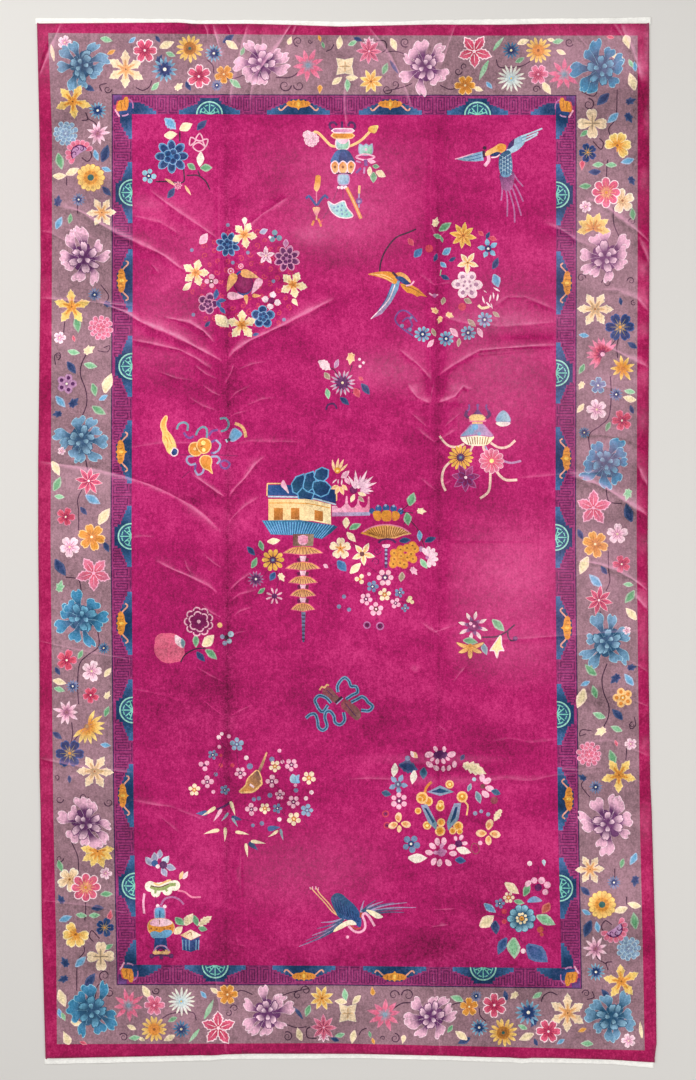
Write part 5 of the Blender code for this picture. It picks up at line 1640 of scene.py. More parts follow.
# Half a bat's body and wing: place along and out, from its knob to its point
BAT_WING = ((0, 15.8), (1.7, 14.2), (3.4, 14.0), (5.0, 15.0), (6.8, 13.6), (9.8, 13.8), (12.2, 11.4),
            (10.8, 9.0), (7.4, 7.6), (3.6, 7.2), (1.4, 6.6), (0, 4.6))
BAT_RIBBON = ((10.6, 10.0), (13.6, 7.4), (16.2, 4.9), (18.4, 4.6), (19.8, 6.8))
BAT_LINES = (((3.2, 13), (3.8, 9)), ((7.4, 12.6), (6.8, 9.4)))
BAT_HEAD, BAT_HEAD_SIZE, BAT_HEAD_SIDES = 10.6, (1.5, 2.4), 8


def bat(place, s):
    """A gold bat with two thin ribbons."""
    for sign in (1, -1):
        stroke([place(s + sign * a, d) for a, d in smooth(BAT_RIBBON, 1.5)], 1.5, mix("peach", "pink", 0.4))
        wing = [place(s + sign * a, d) for a, d in BAT_WING]
        paint(wing, "gold", "orange", place(s, 9), place(s + sign * 12, 12))
        for line in BAT_LINES:
            stroke([place(s + sign * a, d) for a, d in line], 0.6, "brown")
    turns = [tau * i / BAT_HEAD_SIDES for i in range(BAT_HEAD_SIDES)]
    wide, tall = BAT_HEAD_SIZE
    paint([place(s + wide * cos(t), BAT_HEAD + tall * sin(t)) for t in turns], "yellow")


# The fret border's corners: chart place of the dark line's corner, and the ways in to the field
FRET_CORNERS = ((112.7, 95.4, 1, 1), (575.5, 96.3, -1, 1), (117.6, 983.8, 1, -1), (581.0, 987.5, -1, -1))
# What stands in each, in cells in from that corner: colour, colour it runs to, corners
CORNER_FORMS = (
    ("navy_light", "navy", ((6.5, 7.5), (20, 7.5), (20, 19.5), (6.5, 19.5))),
    ("violet", "dark_line", ((1, 0.5), (9.5, 0.5), (9.5, 5), (6, 5), (5, 10), (1, 10))),
    ("coral", "orange", ((4.6, 6.2), (6, 5.6), (5.4, 9), (4.6, 13), (5.5, 16.5), (3.6, 15.6), (3.4, 11))),
    ("gold", "orange", ((6, 6.5), (7.5, 5.5), (11, 5), (12.5, 2), (15, 2), (16.5, 5.5), (16, 11.5),
                        (14.5, 15.5), (9.5, 16), (5.5, 16.5), (4.6, 13.5), (5.4, 8.5))),
)
CORNER_RIBBONS = (  # width, colour, points
    (1.2, "mauve", ((16, 4), (19, 6), (20.5, 9.5), (20.5, 13.5))),
    (1.6, "blush", ((2.5, 14.5), (5, 18.5), (7, 22))), (1.5, "lilac", ((9.5, 21), (13.5, 20.5), (16, 19))),
    (0.7, "brown", ((8, 7), (9.4, 10.4), (8.6, 14))), (0.7, "brown", ((12.6, 4.4), (12, 8.4), (13, 12.6))),
)


def draw_fret_corner(x, y, across, down):
    def place(points):
        return [(x + across * u, y + down * v) for u, v in points]

    for colour, colour_to, points in CORNER_FORMS:
        filled(colour, colour_to, place(points))
    for width, colour, points in CORNER_RIBBONS:
        stroke(smooth(place(points), 1.5), width, colour)


def square_scroll(left, right, low, high):
    """A squared spiral that winds in from the box's lower left corner."""
    points = [(left, low), (right, low), (right, high), (left, high)]
    room = 0.5 * FRET_PITCH
    while True:
        low += FRET_PITCH
        if high - low < room:
            return points
        points.append((left, low))
        right -= FRET_PITCH
        if right - left < room:
            return points
        points.append((right, low))
        high -= FRET_PITCH
        if high - low < room:
            return points
        points.append((right, high))
        left += FRET_PITCH
        if right - left < room:
            return points
        points.append((left, high))


FOOT_ROOM = 1.7  # cells between a fret line's foot and what stands under it
SHORTEST, SHORTEST_TIE = 1.5, 4  # cells, for a fret line and for two joined at their feet
SCROLL_ROOM = 1.7  # cells from the middle between two motifs to the scrolls beside it
COMB_ROOM = 1.6
CORNER_REACH = 3  # cells that a side's fret runs on into the corner


def comb(place, first, last, floor):
    """Lines across the side from first to last, joined in pairs; floor gives their feet."""
    count = max(1, round(abs(last - first) / FRET_PITCH))
    spots = [first + (last - first) * i / count for i in range(count + 1)]
    for i, s in enumerate(spots):
        foot = max(FRET_LOW, floor(s) + FOOT_ROOM)
        if FRET_HIGH - foot > SHORTEST:
            stroke([place(s, foot), place(s, FRET_HIGH)], FRET_LINE, "fret_line")
        if i % 2 and FRET_HIGH - foot > SHORTEST:
            stroke([place(spots[i - 1], FRET_HIGH), place(s, FRET_HIGH)], FRET_LINE, "fret_line")
        elif i and FRET_HIGH - foot > SHORTEST_TIE:
            low = max(foot, floor(spots[i - 1]) + FOOT_ROOM)
            stroke([place(spots[i - 1], low), place(s, low)], FRET_LINE, "fret_line")


def draw_fret_side(name):
    _, (first, last), middles = FRET_SIDES[name]
    place = side_place(name)
    stops = [(first, "corner"), *middles, (last, "corner")]
    for (a, kind_a), (b, kind_b) in zip(stops, stops[1:]):
        end_a, end_b = a + STEPS[kind_a][-1][0], b - STEPS[kind_b][-1][0]
        middle = (end_a + end_b) / 2
        inner_a, inner_b = middle - SCROLL_ROOM - SCROLL, middle + SCROLL_ROOM + SCROLL
        for sign in (1, -1):
            scroll = square_scroll(-SCROLL, 0.0, FRET_LOW, FRET_HIGH)
            stroke([place(middle + sign * (s - SCROLL_ROOM), d) for s, d in scroll], FRET_LINE, "fret_line")
        start_a = a if kind_a != "corner" else a - CORNER_REACH
        start_b = b if kind_b != "corner" else b + CORNER_REACH
        comb(place, inner_a - FRET_PITCH, start_a + COMB_ROOM, lambda s: step_height(kind_a, abs(s - a)))
        comb(place, inner_b + FRET_PITCH, start_b - COMB_ROOM, lambda s: step_height(kind_b, abs(s - b)))
    for s, kind in middles:
        stepped(place, s, kind)
        (medallion if kind == "M" else bat)(place, s)
    stepped(place, first, "corner", sides=(1,))
    stepped(place, last, "corner", sides=(-1,))


# The bands under the fret, from the outermost in: line, cells by which it is drawn outward, colour
BANDS = (
    (RIM, 3.0, "band"), (BAND, 0.0, "taupe"), (DARK_LINE, 0.7, "dark_line"), (DARK_LINE, -0.4, "fret"),
    (FIELD, 0.35, "fret_line"),
)


def draw_bands():
    for line, grow, colour in BANDS:
        paint(frame_outline(line, grow), colour)
    for name in FRET_SIDES:
        draw_fret_side(name)
    for corner in FRET_CORNERS:
        draw_fret_corner(*corner)
    paint(frame_outline(FIELD), "magenta")


draw_bands()
draw_border()
draw_field()

# ---------------------------------------------------------------- creases, in mm on the rug
# Old folds: half width and height of the ridge, then its points
CREASES = (
    (42, 4.0, ((-620, 2560), (-610, 1212), (-600, 12), (-615, -1088), (-620, -2520))),
    (42, 4.0, ((455, 2560), (435, 712), (445, -438), (440, -2520))),
    (34, 3.5, ((-1170, 1188), (-830, 1062), (-630, 908))),
    (34, 3.5, ((-590, 908), (-405, 1038), (-80, 1212))),
    (30, 3.0, ((-1065, 1012), (-805, 962), (-670, 852))),
    (26, 2.5, ((-880, 1102), (-670, 1002))),
    (28, 3.0, ((-755, 312), (-600, 228))),
    (28, 3.0, ((-600, 228), (-390, 388))),
    (32, 3.5, ((-1530, 398), (-1305, 362), (-1065, 288), (-855, 212), (-655, 78))),
    (28, 3.0, ((-580, 88), (-420, 212))),
    (30, 3.0, ((-930, -138), (-640, -248))),
    (26, 2.5, ((-580, -248), (-495, -172))),
    (26, 2.5, ((-705, -802), (-615, -868), (-530, -838))),
    (30, 3.0, ((320, 938), (430, 852), (580, 952))),
    (26, 2.5, ((380, -408), (445, -448), (530, -422))),
    (28, 3.0, ((545, 952), (1035, 988))),
    (26, 2.5, ((870, 322), (1035, 338))),
    (28, 3.0, ((670, -1188), (1035, -1172))),
    (28, 3.0, ((-1430, 2588), (-1530, 2338))),
    (26, 3.0, ((-630, 2562), (-555, 2238))),
    (26, 3.0, ((-255, 2588), (-480, 2238))),
    (26, 2.5, ((-1355, 1638), (-1080, 1512))),
)
# Painted light and shade of the pile's folds: a painted highlight where the crushed pile catches the light,
# or painted shade below nought: half width in mm, strength, chart points.
# Above a line that runs to the right the pile is painted light, and below it painted shade.
LIGHT_SHADE_STREAKS = (
    # the two long folds: faint painted highlights, with painted shade along them
    (14, 0.1, ((219, 118), (219, 240), (220, 400), (220, 560), (219, 760), (218, 962))),
    (20, -0.3, ((226, 118), (227, 240), (228, 400), (228, 560), (227, 760), (226, 962))),
    (12, 0.08, ((431, 118), (430, 330), (431, 520), (431, 760), (431, 962))),
    (18, -0.24, ((438, 118), (437, 330), (439, 520), (438, 962))),
    # upper left
    (22, 0.8, ((60, 206), (80, 211), (96, 221), (112, 230), (133, 240), (150, 248), (165, 256), (178, 266),
     (188, 272))),
    (16, 0.35, ((133, 216), (160, 222), (178, 233))),
    (16, 0.6, ((152, 192), (175, 209), (200, 226), (217, 238))),
    (12, 0.45, ((288, 198), (262, 215), (246, 229))),
    (12, 0.4, ((40, 231), (52, 233), (64, 240), (78, 244))),
    (11, 0.35, ((66, 229), (82, 233), (97, 240))),
    (9, 0.35, ((152, 265), (155, 268), (159, 273))),
    # chevrons about the left fold
    (22, 1.0, ((98, 300), (112, 307), (128, 313), (140, 321), (165, 331), (182, 339), (200, 349),
     (213, 356), (222, 361))),
    (16, 0.85, ((168, 318), (190, 322), (204, 331), (213, 341))),
    (12, 0.65, ((133, 340), (150, 343), (180, 350), (196, 358), (211, 368))),
    (20, 0.95, ((226, 361), (234, 351), (245, 343), (264, 334), (285, 324), (302, 315), (332, 300))),
    (12, 0.65, ((225, 384), (231, 373), (234, 364))),
    (20, 0.75, ((221, 531), (215, 526), (205, 516), (190, 505), (170, 494), (150, 485), (128, 478),
     (100, 471), (42, 462))),
    (14, 0.8, ((194, 475), (205, 483), (215, 490), (225, 497))),
    (14, 0.75, ((228, 498), (235, 488), (245, 478), (255, 464), (264, 457))),
    (14, 0.5, ((226, 526), (235, 515), (246, 505), (259, 497))),
    (14, 0.65, ((157, 561), (175, 570), (192, 577), (208, 585), (218, 593))),
    (9, 0.35, ((185, 560), (187, 567), (191, 573))),
    (12, 0.6, ((229, 591), (238, 582), (250, 573))),
    (12, 0.45, ((230, 601), (240, 594), (256, 590))),
    (12, 0.3, ((133, 537), (144, 536), (153, 537))),
    (10, 0.5, ((196, 366), (206, 374), (217, 379))),
    (9, 0.45, ((204, 386), (212, 392), (221, 396))),
    (9, 0.4, ((190, 398), (203, 406), (218, 411))),
    (10, 0.45, ((228, 402), (236, 393), (248, 387))),
    (9, 0.4, ((226, 421), (235, 414), (247, 411))),
    (9, 0.35, ((238, 370), (252, 364), (266, 362))),
    (9, 0.35, ((160, 372), (176, 378), (190, 380))),
    (9, 0.4, ((212, 424), (219, 431), (224, 440))),
    (9, 0.35, ((248, 405), (262, 399), (274, 398))),
    (9, 0.4, ((206, 556), (214, 563), (222, 568))),
    (9, 0.45, ((202, 604), (211, 612), (222, 618))),
    (9, 0.4, ((230, 619), (240, 611), (252, 607))),
    (9, 0.4, ((226, 640), (236, 633), (246, 631))),
    (9, 0.35, ((196, 640), (207, 648), (220, 652))),
    (16, 0.25, ((130, 448), (160, 443), (200, 443))),
    (16, 0.25, ((228, 446), (250, 441), (300, 442))),
    # chevrons about the right fold
    (12, 0.45, ((400, 350), (415, 362), (425, 372), (431, 379))),
    (12, 0.55, ((436, 377), (450, 367), (468, 356), (480, 350), (505, 348), (530, 346), (557, 345))),
    (12, 0.5, ((408, 384), (417, 397), (430, 403))),
    (12, 0.55, ((437, 403), (455, 396), (463, 386), (471, 389))),
    (10, 0.35, ((434, 384), (432, 390), (431, 395))),
    (10, 0.3, ((412, 414), (420, 421), (428, 428))),
    (10, 0.3, ((444, 427), (452, 420), (460, 413))),
    (14, 0.3, ((495, 305), (507, 297), (525, 297), (545, 305), (557, 311))),
    (14, 0.3, ((440, 316), (470, 324), (500, 326), (556, 322))),
    (11, 0.35, ((430, 225), (437, 239), (450, 228))),
    (11, 0.35, ((420, 275), (434, 285), (450, 283))),
    (12, 0.45, ((422, 623), (434, 632), (453, 626))),
    (12, 0.4, ((416, 428), (434, 442), (456, 430))),
    (12, 0.35, ((420, 478), (435, 490), (452, 480))),
    # across the field
    (12, 0.3, ((520, 478), (553, 475), (600, 471))),
    (18, 0.25, ((480, 781), (505, 777), (530, 780), (553, 775), (600, 771))),
    (12, 0.25, ((484, 640), (553, 636), (640, 630))),
    (13, 0.3, ((130, 688), (160, 694), (196, 704))),
    (12, 0.3, ((133, 800), (170, 806), (206, 820))),
    # across the top border
    (16, 0.7, ((61, 25), (52, 46), (40, 75))),
    (10, 0.5, ((204, 24), (207, 31), (208, 37))),
    (12, 0.8, ((213, 25), (218, 44), (222, 57))),
    (9, 0.45, ((227, 25), (230, 30), (231, 35))),
    (13, 0.55, ((248, 25), (243, 42), (239, 56), (235, 72), (231, 92), (230, 106))),
    (20, 0.45, ((263, 34), (262, 48), (259, 62))),
    (16, 0.95, ((256, 76), (265, 62), (275, 50), (284, 36), (292, 24))),
    (11, 0.5, ((256, 76), (252, 88), (250, 100))),
    (10, 0.6, ((293, 34), (297, 24))),
    (16, 0.55, ((345, 84), (344, 100), (346, 126))),
    (14, 0.55, ((412, 108), (407, 93), (398, 71), (391, 58), (384, 47), (374, 34), (368, 27))),
    (12, 0.5, ((440, 68), (446, 52), (450, 40), (455, 27))),
    (11, 0.4, ((576, 34), (581, 40), (587, 47))),
    (12, 0.45, ((612, 22), (620, 33), (628, 46), (636, 62))),
    # down and across the right border
    (18, 0.7, ((620, 22), (625, 34), (632, 48), (638, 66), (641, 80))),
    (22, 0.75, ((588, 199), (604, 205), (618, 216), (636, 230), (649, 242))),
    (20, 0.5, ((548, 224), (562, 230), (577, 240), (592, 246))),
    (24, 0.6, ((637, 235), (642, 244), (650, 264))),
    (22, 0.6, ((600, 290), (618, 290), (637, 298), (648, 311))),
    (20, 0.7, ((600, 341), (616, 351), (637, 361), (649, 368))),
    (10, 0.35, ((588, 392), (606, 386), (626, 392), (638, 396))),
    (14, -0.5, ((577, 438), (600, 436), (620, 439), (640, 447), (649, 455))),
    (26, 1.0, ((572, 474), (588, 480), (604, 487), (622, 498), (640, 510), (649, 517))),
    (22, 0.6, ((638, 466), (643, 476), (649, 488))),
    (16, 0.8, ((577, 560), (600, 564), (618, 570), (637, 582), (648, 591))),
    (20, 0.6, ((634, 594), (640, 601), (649, 610))),
    (11, 0.35, ((628, 660), (639, 666), (648, 672))),
    (11, 0.4, ((634, 700), (640, 703), (648, 706))),
    (11, 0.35, ((578, 742), (610, 740), (640, 752), (649, 756))),
    (11, 0.35, ((556, 768), (580, 770), (600, 766))),
    # down and across the left border
    (12, 0.5, ((40, 298), (80, 301), (133, 306))),
    (12, 0.45, ((40, 758), (80, 766), (133, 772))),
    (10, 0.35, ((36, 640), (80, 650), (133, 660))),
    (10, 0.3, ((40, 900), (90, 905), (133, 914))),
    (11, 0.4, ((214, 966), (220, 1010), (226, 1052))),
    (11, 0.35, ((432, 966), (436, 1010), (440, 1052))),
    # low in the field
    (9, 0.45, ((197, 667), (210, 675), (223, 681))),
    (9, 0.4, ((200, 697), (212, 707), (224, 716))),
    (9, 0.45, ((230, 716), (241, 710), (252, 705))),
    (8, 0.35, ((140, 803), (152, 804), (165, 806))),
    (8, 0.3, ((160, 816), (170, 824), (179, 832))),
    (8, 0.45, ((431, 628), (436, 632), (440, 636))),
    (8, 0.4, ((454, 681), (459, 674), (465, 667))),
    (8, 0.35, ((438, 724), (442, 728), (447, 732))),
    (20, 0.22, ((490, 741), (510, 738), (530, 742), (557, 739))),
    (10, 0.3, ((350, 779), (370, 778), (392, 779))),
    (9, 0.45, ((433, 909), (445, 909), (457, 908))),
    (8, 0.45, ((431, 926), (441, 925), (449, 924))),
    (7, 0.45, ((236, 935), (238, 944), (247, 946))),
)
# Broad soft places of painted light and painted shade, glints among them: chart x, y, reach across, reach
# down, strength
LIGHT_SHADE_PATCHES = (
    (228, 380, 9, 260, -0.3), (228, 760, 9, 220, -0.28), (438, 480, 9, 170, -0.26),
    (436, 300, 8, 120, -0.18), (345, 215, 60, 40, 0.3), (340, 160, 90, 25, 0.15), (200, 250, 60, 60, 0.12),
    (500, 330, 70, 60, 0.25), (500, 400, 60, 50, 0.2), (160, 330, 40, 40, 0.2), (385, 370, 40, 18, 0.3),
    (510, 575, 60, 50, 0.3), (505, 650, 60, 35, 0.18), (170, 720, 60, 40, -0.22), (200, 690, 50, 30, -0.2),
    (350, 690, 90, 35, -0.2), (500, 730, 60, 30, -0.12), (300, 870, 80, 35, 0.15),
    (500, 880, 70, 40, -0.28), (400, 960, 160, 25, -0.3), (180, 960, 70, 22, -0.35),
    (500, 940, 60, 30, -0.2), (223, 939, 8, 9, -0.4), (435, 951, 18, 14, -0.3), (445, 760, 60, 5, 0.3),
    (445, 769, 60, 5, -0.3), (445, 779, 60, 5, 0.25), (238, 869, 2.5, 2.5, 0.6), (238, 877, 2.5, 4, 0.5),
    (227, 909, 3, 3, 0.5), (224, 922, 3, 3, 0.5), (414, 667, 4, 3, 0.5), (488, 895, 4, 3, 0.5),
    (360, 946, 5, 3, 0.5), (441, 925, 4, 4, 0.4), (50, 55, 14, 28, 0.3), (240, 60, 40, 26, 0.35),
    (290, 62, 30, 22, 0.25), (400, 62, 40, 24, 0.32), (560, 60, 40, 26, 0.35), (620, 60, 24, 30, 0.3),
    (120, 60, 60, 20, 0.15), (612, 455, 30, 14, 0.25), (620, 512, 22, 8, -0.3), (600, 378, 26, 8, 0.2),
    (643, 420, 6, 9, 0.3), (644, 445, 6, 7, -0.3), (643, 480, 6, 10, 0.25), (645, 520, 6, 9, -0.3),
    (644, 545, 6, 8, 0.25), (310, 235, 20, 9, 0.3), (500, 320, 48, 7, 0.3), (520, 338, 40, 6, -0.3),
    (150, 204, 20, 7, 0.25), (415, 391, 6, 5, 0.45), (425, 400, 8, 3, 0.5), (446, 400, 9, 3, 0.5),
    (456, 389, 6, 5, 0.4), (436, 405, 26, 2, -0.35), (188, 495, 24, 6, -0.25), (648, 50, 3, 24, 0.7),
    (641, 66, 3, 12, 0.6), (640, 96, 4, 14, -0.5), (647, 120, 3, 16, 0.5), (643, 152, 6, 12, -0.3),
    (645, 180, 4, 12, 0.4), (630, 34, 16, 5, 0.4), (643, 238, 7, 9, -0.35), (643, 268, 6, 8, 0.5),
    (643, 298, 6, 8, 0.45), (643, 330, 6, 6, 0.4), (645, 350, 7, 6, -0.4), (644, 376, 6, 10, 0.3),
    (643, 567, 6, 10, -0.25), (643, 600, 7, 13, 0.35), (643, 640, 6, 22, 0.3), (642, 718, 6, 9, -0.35),
    (644, 744, 6, 8, 0.3), (643, 778, 6, 12, -0.35), (645, 822, 6, 20, 0.25), (45, 250, 5, 20, -0.3),
    (45, 284, 5, 10, 0.2), (45, 211, 5, 8, -0.2), (600, 240, 34, 50, 0.42), (602, 430, 30, 60, 0.3),
    (610, 560, 26, 50, 0.35), (80, 200, 34, 50, 0.12), (80, 480, 34, 50, 0.12), (80, 760, 34, 60, 0.15),
    (200, 1015, 80, 20, 0.12), (600, 860, 30, 60, 0.12),
)
PILE_HEIGHT, SELVEDGE_HEIGHT, SELVEDGE_WIDTH = 12.0, 8.0, 16.0


def to_mm(points):
    points = np.asarray(points, float)
    return np.stack([(points[:, 0] - MIDDLE[0]) * CELL_MM, (MIDDLE[1] - points[:, 1]) * CELL_MM], 1)


def to_chart(points):
    points = np.asarray(points, float)
    return np.stack([points[:, 0] / CELL_MM + MIDDLE[0], MIDDLE[1] - points[:, 1] / CELL_MM], 1)


def from_line(xy, points):
    """How far each point lies from a line, which side it is on, and how far along, from 0 to 1."""
    best = np.full(len(xy), 1e9)
    side, along = np.zeros(len(xy)), np.zeros(len(xy))
    lengths = [hypot(b[0] - a[0], b[1] - a[1]) for a, b in zip(points, points[1:])]
    passed = 0.0
    for a, b, length in zip(points, points[1:], lengths):
        a, b = np.array(a, float), np.array(b, float)
        run = b - a
        t = np.clip(((xy - a) @ run) / (run @ run), 0, 1)
        away = xy - a - t[:, None] * run
        distance = np.hypot(away[:, 0], away[:, 1])
        nearer = distance < best
        best = np.where(nearer, distance, best)
        side = np.where(nearer, np.sign(run[0] * away[:, 1] - run[1] * away[:, 0]), side)
        along = np.where(nearer, (passed + t * length) / sum(lengths), along)
        passed += length
    return best, side, along


def in_from_edge(chart):
    """How far points of the chart lie in from the rug's rim, in mm."""
    x, y = chart[:, 0], chart[:, 1]

    def read(side, place):
        rows = np.array(side[RIM])
        return np.interp(place, rows[:, 0], rows[:, 1])

    cells_in = (x - read(LEFT, y), read(RIGHT, y) - x, y - read(TOP, x), read(BOTTOM, x) - y)
    return CELL_MM * np.minimum.reduce(cells_in)


def heights(chart):
    """Height of the pile in mm at points of the chart."""
    xy = to_mm(chart)
    ridge = np.zeros(len(xy))
    for half, height, points in CREASES:
        distance, _, _ = from_line(xy, points)
        share = np.clip(1 - distance / half, 0, 1)
        ridge = np.maximum(ridge, height * share * share * (3 - 2 * share))
    rise = np.clip(in_from_edge(chart) / SELVEDGE_WIDTH, 0, 1)
    return SELVEDGE_HEIGHT + (PILE_HEIGHT - SELVEDGE_HEIGHT + ridge) * np.sin(rise * pi / 2)


# A streak has a painted highlight on its crest and wide banks of painted light and shade. Reaches are shares
# of its width.
CREST_REACH, BANK_REACH = 0.45, 1.2
CREST_GAIN = 1.3
LIGHT_BANK, DARK_BANK = 0.4, -1.25
SWELLS = ((0.3, 9, 1), (0.2, 31, 2))  # how its width varies: gain, rate along it, and how its phase is set
LEAST_WIDTH = 0.8
FADE_RATE, FADE_START = 6, 0.25  # its ends fade out


def painted_light_and_shade(chart):
    """Painted light and shade on the pile: above nought a painted highlight where its folds catch the light,
    below nought painted shade.
    """
    tone = np.zeros(len(chart))
    for half, strength, points in LIGHT_SHADE_STREAKS:
        distance, side, along = from_line(chart, points)
        (gain, rate, phase), (fine_gain, fine_rate, fine_phase) = SWELLS
        width = half / CELL_MM * (LEAST_WIDTH + gain * np.sin(along * rate + phase * half)
                                  + fine_gain * np.sin(along * fine_rate + fine_phase * half))
        fade = np.clip(np.minimum(along, 1 - along) * FADE_RATE + FADE_START, 0, 1)
        crest = np.exp(-(distance / (CREST_REACH * width)) ** 2)
        spread = np.exp(-(distance / (BANK_REACH * width)) ** 1.5)
        bank = np.where(side < 0, LIGHT_BANK, DARK_BANK) if strength > 0 else LIGHT_BANK
        tone += strength * fade * (CREST_GAIN * crest + bank * spread * (1 - crest))
    for x, y, across, down, strength in LIGHT_SHADE_PATCHES:
        tone += strength * np.exp(-((chart[:, 0] - x) / across) ** 2 - ((chart[:, 1] - y) / down) ** 2)
    return tone


# ---------------------------------------------------------------- the pile surface
GRID = 5.6  # cells between the pile's own points
GRID_ACROSS, GRID_DOWN = (38, 656), (24, 1062)  # where they begin and end
GRID_JITTER, GRID_SEED = 0.9, 3
GRID_MARGIN = 6  # mm from the rim to the nearest of them
PILE_INSET, RIM_STEP = 1.0, 8.0  # cells from the rug's rim to the pile's, and between the rim's points
WALL_FOOT, WALL_SPREAD = 1.0, 1.6  # foot of the pile's sides: height in mm, and how far out on the chart
# painted shade on the foot of the pile's sides
FOOT_SHADE = -0.3
TILES_ACROSS, TILES_DOWN = (0, 242, 446, 700), (0, 282, 542, 802, 1100)
TILE_COLUMNS = ("left", "middle", "right")
CUT_ACROSS, CUT_DOWN = (20, 670), (10, 1075)  # reach of the lines between the tiles
CREASE_LINES, CREASE_STEP = (-1, -0.5, 0, 0.5, 1), 60.0  # mesh lines beside each, as shares of its width
STREAK_LINES, STREAK_STEP = (-0.28, -0.14, -0.07, 0, 0.07, 0.14, 0.28), 6.0
HULL, INSIDE = 0, 1  # what delaunay_2d_cdt fills
NEAREST = 0.02  # cells; points of the mesh nearer than this become one
UV_MARGIN = 0.02


def mesh_lines(rim):
    """Lines that the pile's triangles keep to, and whether each is closed."""
    yield rim, True
    for outline in outlines[1:]:
        yield outline, True
    for x in TILES_ACROSS[1:-1]:
        yield [(x, y) for y in CUT_DOWN], False
    for y in TILES_DOWN[1:-1]:
        yield [(x, y) for x in CUT_ACROSS], False
    for half, _, points in CREASES:
        for share in CREASE_LINES:
            yield to_chart(beside(smooth(points, CREASE_STEP), share * half)), False
    for half, _, points in LIGHT_SHADE_STREAKS:
        for share in STREAK_LINES:
            yield beside(smooth(points, STREAK_STEP), share * half), False


def grid_points(across, down, step):
    xs, ys = np.meshgrid(np.arange(*across, step), np.arange(*down, step))
    return np.stack([xs.ravel(), ys.ravel()], 1)


def triangulate(points, edges, rim, fill, nearest):
    """Triangles that join the points, keep to the edges and lie inside the rim."""
    found, _, faces, *_ = delaunay_2d_cdt(points, edges, [], fill, nearest, False)
    verts = np.array([tuple(v) for v in found])
    tris = np.array([face for face in faces if len(face) == 3])
    return verts, tris[inside(rim, verts[tris].mean(1))]


def chart_mesh():
    """Cuts the chart into triangles, and sorts them from left to right."""
    rim = np.array(frame_outline(RIM, -PILE_INSET, RIM_STEP))
    points, edges = [], []
    for line, closed in mesh_lines(rim):
        first = len(points)
        points.extend(map(tuple, line))
        edges.extend((first + i, first + i + 1) for i in range(len(line) - 1))
        if closed:
            edges.append((len(points) - 1, first))
    grid = grid_points(GRID_ACROSS, GRID_DOWN, GRID)
    grid = grid + np.random.default_rng(GRID_SEED).uniform(-GRID_JITTER, GRID_JITTER, grid.shape)
    points.extend(map(tuple, grid[in_from_edge(grid) > GRID_MARGIN]))
    verts, tris = triangulate(points, edges, rim, HULL, NEAREST)
    return verts, tris[np.argsort(verts[tris].mean(1)[:, 0])]


def topmost(verts, tris):
    """The last shape painted over each triangle's middle. The triangles are sorted from left to right."""
    middles = verts[tris].mean(1)
    owner = np.zeros(len(tris), int)
    for i, outline in enumerate(outlines):
        low, high = outline.min(0), outline.max(0)
        near = np.arange(*np.searchsorted(middles[:, 0], (low[0], high[0])))
        near = near[(middles[near, 1] >= low[1]) & (middles[near, 1] <= high[1])]
        owner[near[inside(outline, middles[near])]] = i
    return owner


def beside(line, offset):
    """A line drawn offset away from another."""
    line = np.array(line, float)
    run = np.gradient(line, axis=0)
    run /= np.hypot(run[:, 0], run[:, 1])[:, None]
    return line + offset * np.stack([-run[:, 1], run[:, 0]], 1)


def inside(outline, points):
    """Which points lie inside a closed outline, by counting the edges crossed."""
    x, y = points[:, 0], points[:, 1]
    crossed = np.zeros(len(points), bool)
    for (x0, y0), (x1, y1) in zip(outline, np.roll(outline, -1, 0)):
        if y0 != y1:
            spans = (y0 > y) != (y1 > y)
            crossed ^= spans & (x < (x1 - x0) * (y - y0) / (y1 - y0) + x0)
    return crossed


def corner_colours(points, owner):
    """The chart's colour at each corner, from the shape that owns its triangle."""
    table = np.array(paints)[owner]
    kind, a, b = table[:, 0], table[:, 1:3], table[:, 3:5]
    from_a = points - a
    run = b - a
    along = (from_a * run).sum(1) / np.maximum((run * run).sum(1), TINY)
    out = np.hypot(from_a[:, 0], from_a[:, 1]) / np.maximum(b[:, 0], TINY)
    t = np.clip(np.where(kind == RADIAL, out, along), 0, 1)[:, None]
    return table[:, 5:8] * (1 - t) + table[:, 8:11] * t


def make_mesh(name, verts, tris, colours=None, tones=None, uvs=None):
    mesh = bpy.data.meshes.new(name)
    mesh.vertices.add(len(verts))
    mesh.vertices.foreach_set("co", np.asarray(verts, np.float32).ravel())
    mesh.loops.add(len(tris) * 3)
    mesh.loops.foreach_set("vertex_index", np.asarray(tris, np.int32).ravel())
    mesh.polygons.add(len(tris))
    mesh.polygons.foreach_set("loop_start", np.arange(0, len(tris) * 3, 3, dtype=np.int32))
    mesh.update(calc_edges=True)
    if colours is not None:
        layer = mesh.color_attributes.new("Pattern", "FLOAT_COLOR", "CORNER")
        rgba = np.hstack([colours, np.ones((len(colours), 1))])
        layer.data.foreach_set("color", rgba.astype(np.float32).ravel())
    if tones is not None:
        # each point's painted light and shade
        layer = mesh.attributes.new("PaintedLight", "FLOAT", "POINT")
        layer.data.foreach_set("value", np.asarray(tones, np.float32))
    if uvs is not None:
        layer = mesh.uv_layers.new(name="OFBake")
        layer.data.foreach_set("uv", np.asarray(uvs, np.float32).ravel())
    mesh.shade_smooth()
    mesh.validate()
    return mesh


def add_object(name, mesh, slot, *materials):
    made = bpy.data.objects.new(name, mesh)
    bpy.context.scene.collection.objects.link(made)
    for material in materials:
        mesh.materials.append(material)
    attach(made, "root")
    return made


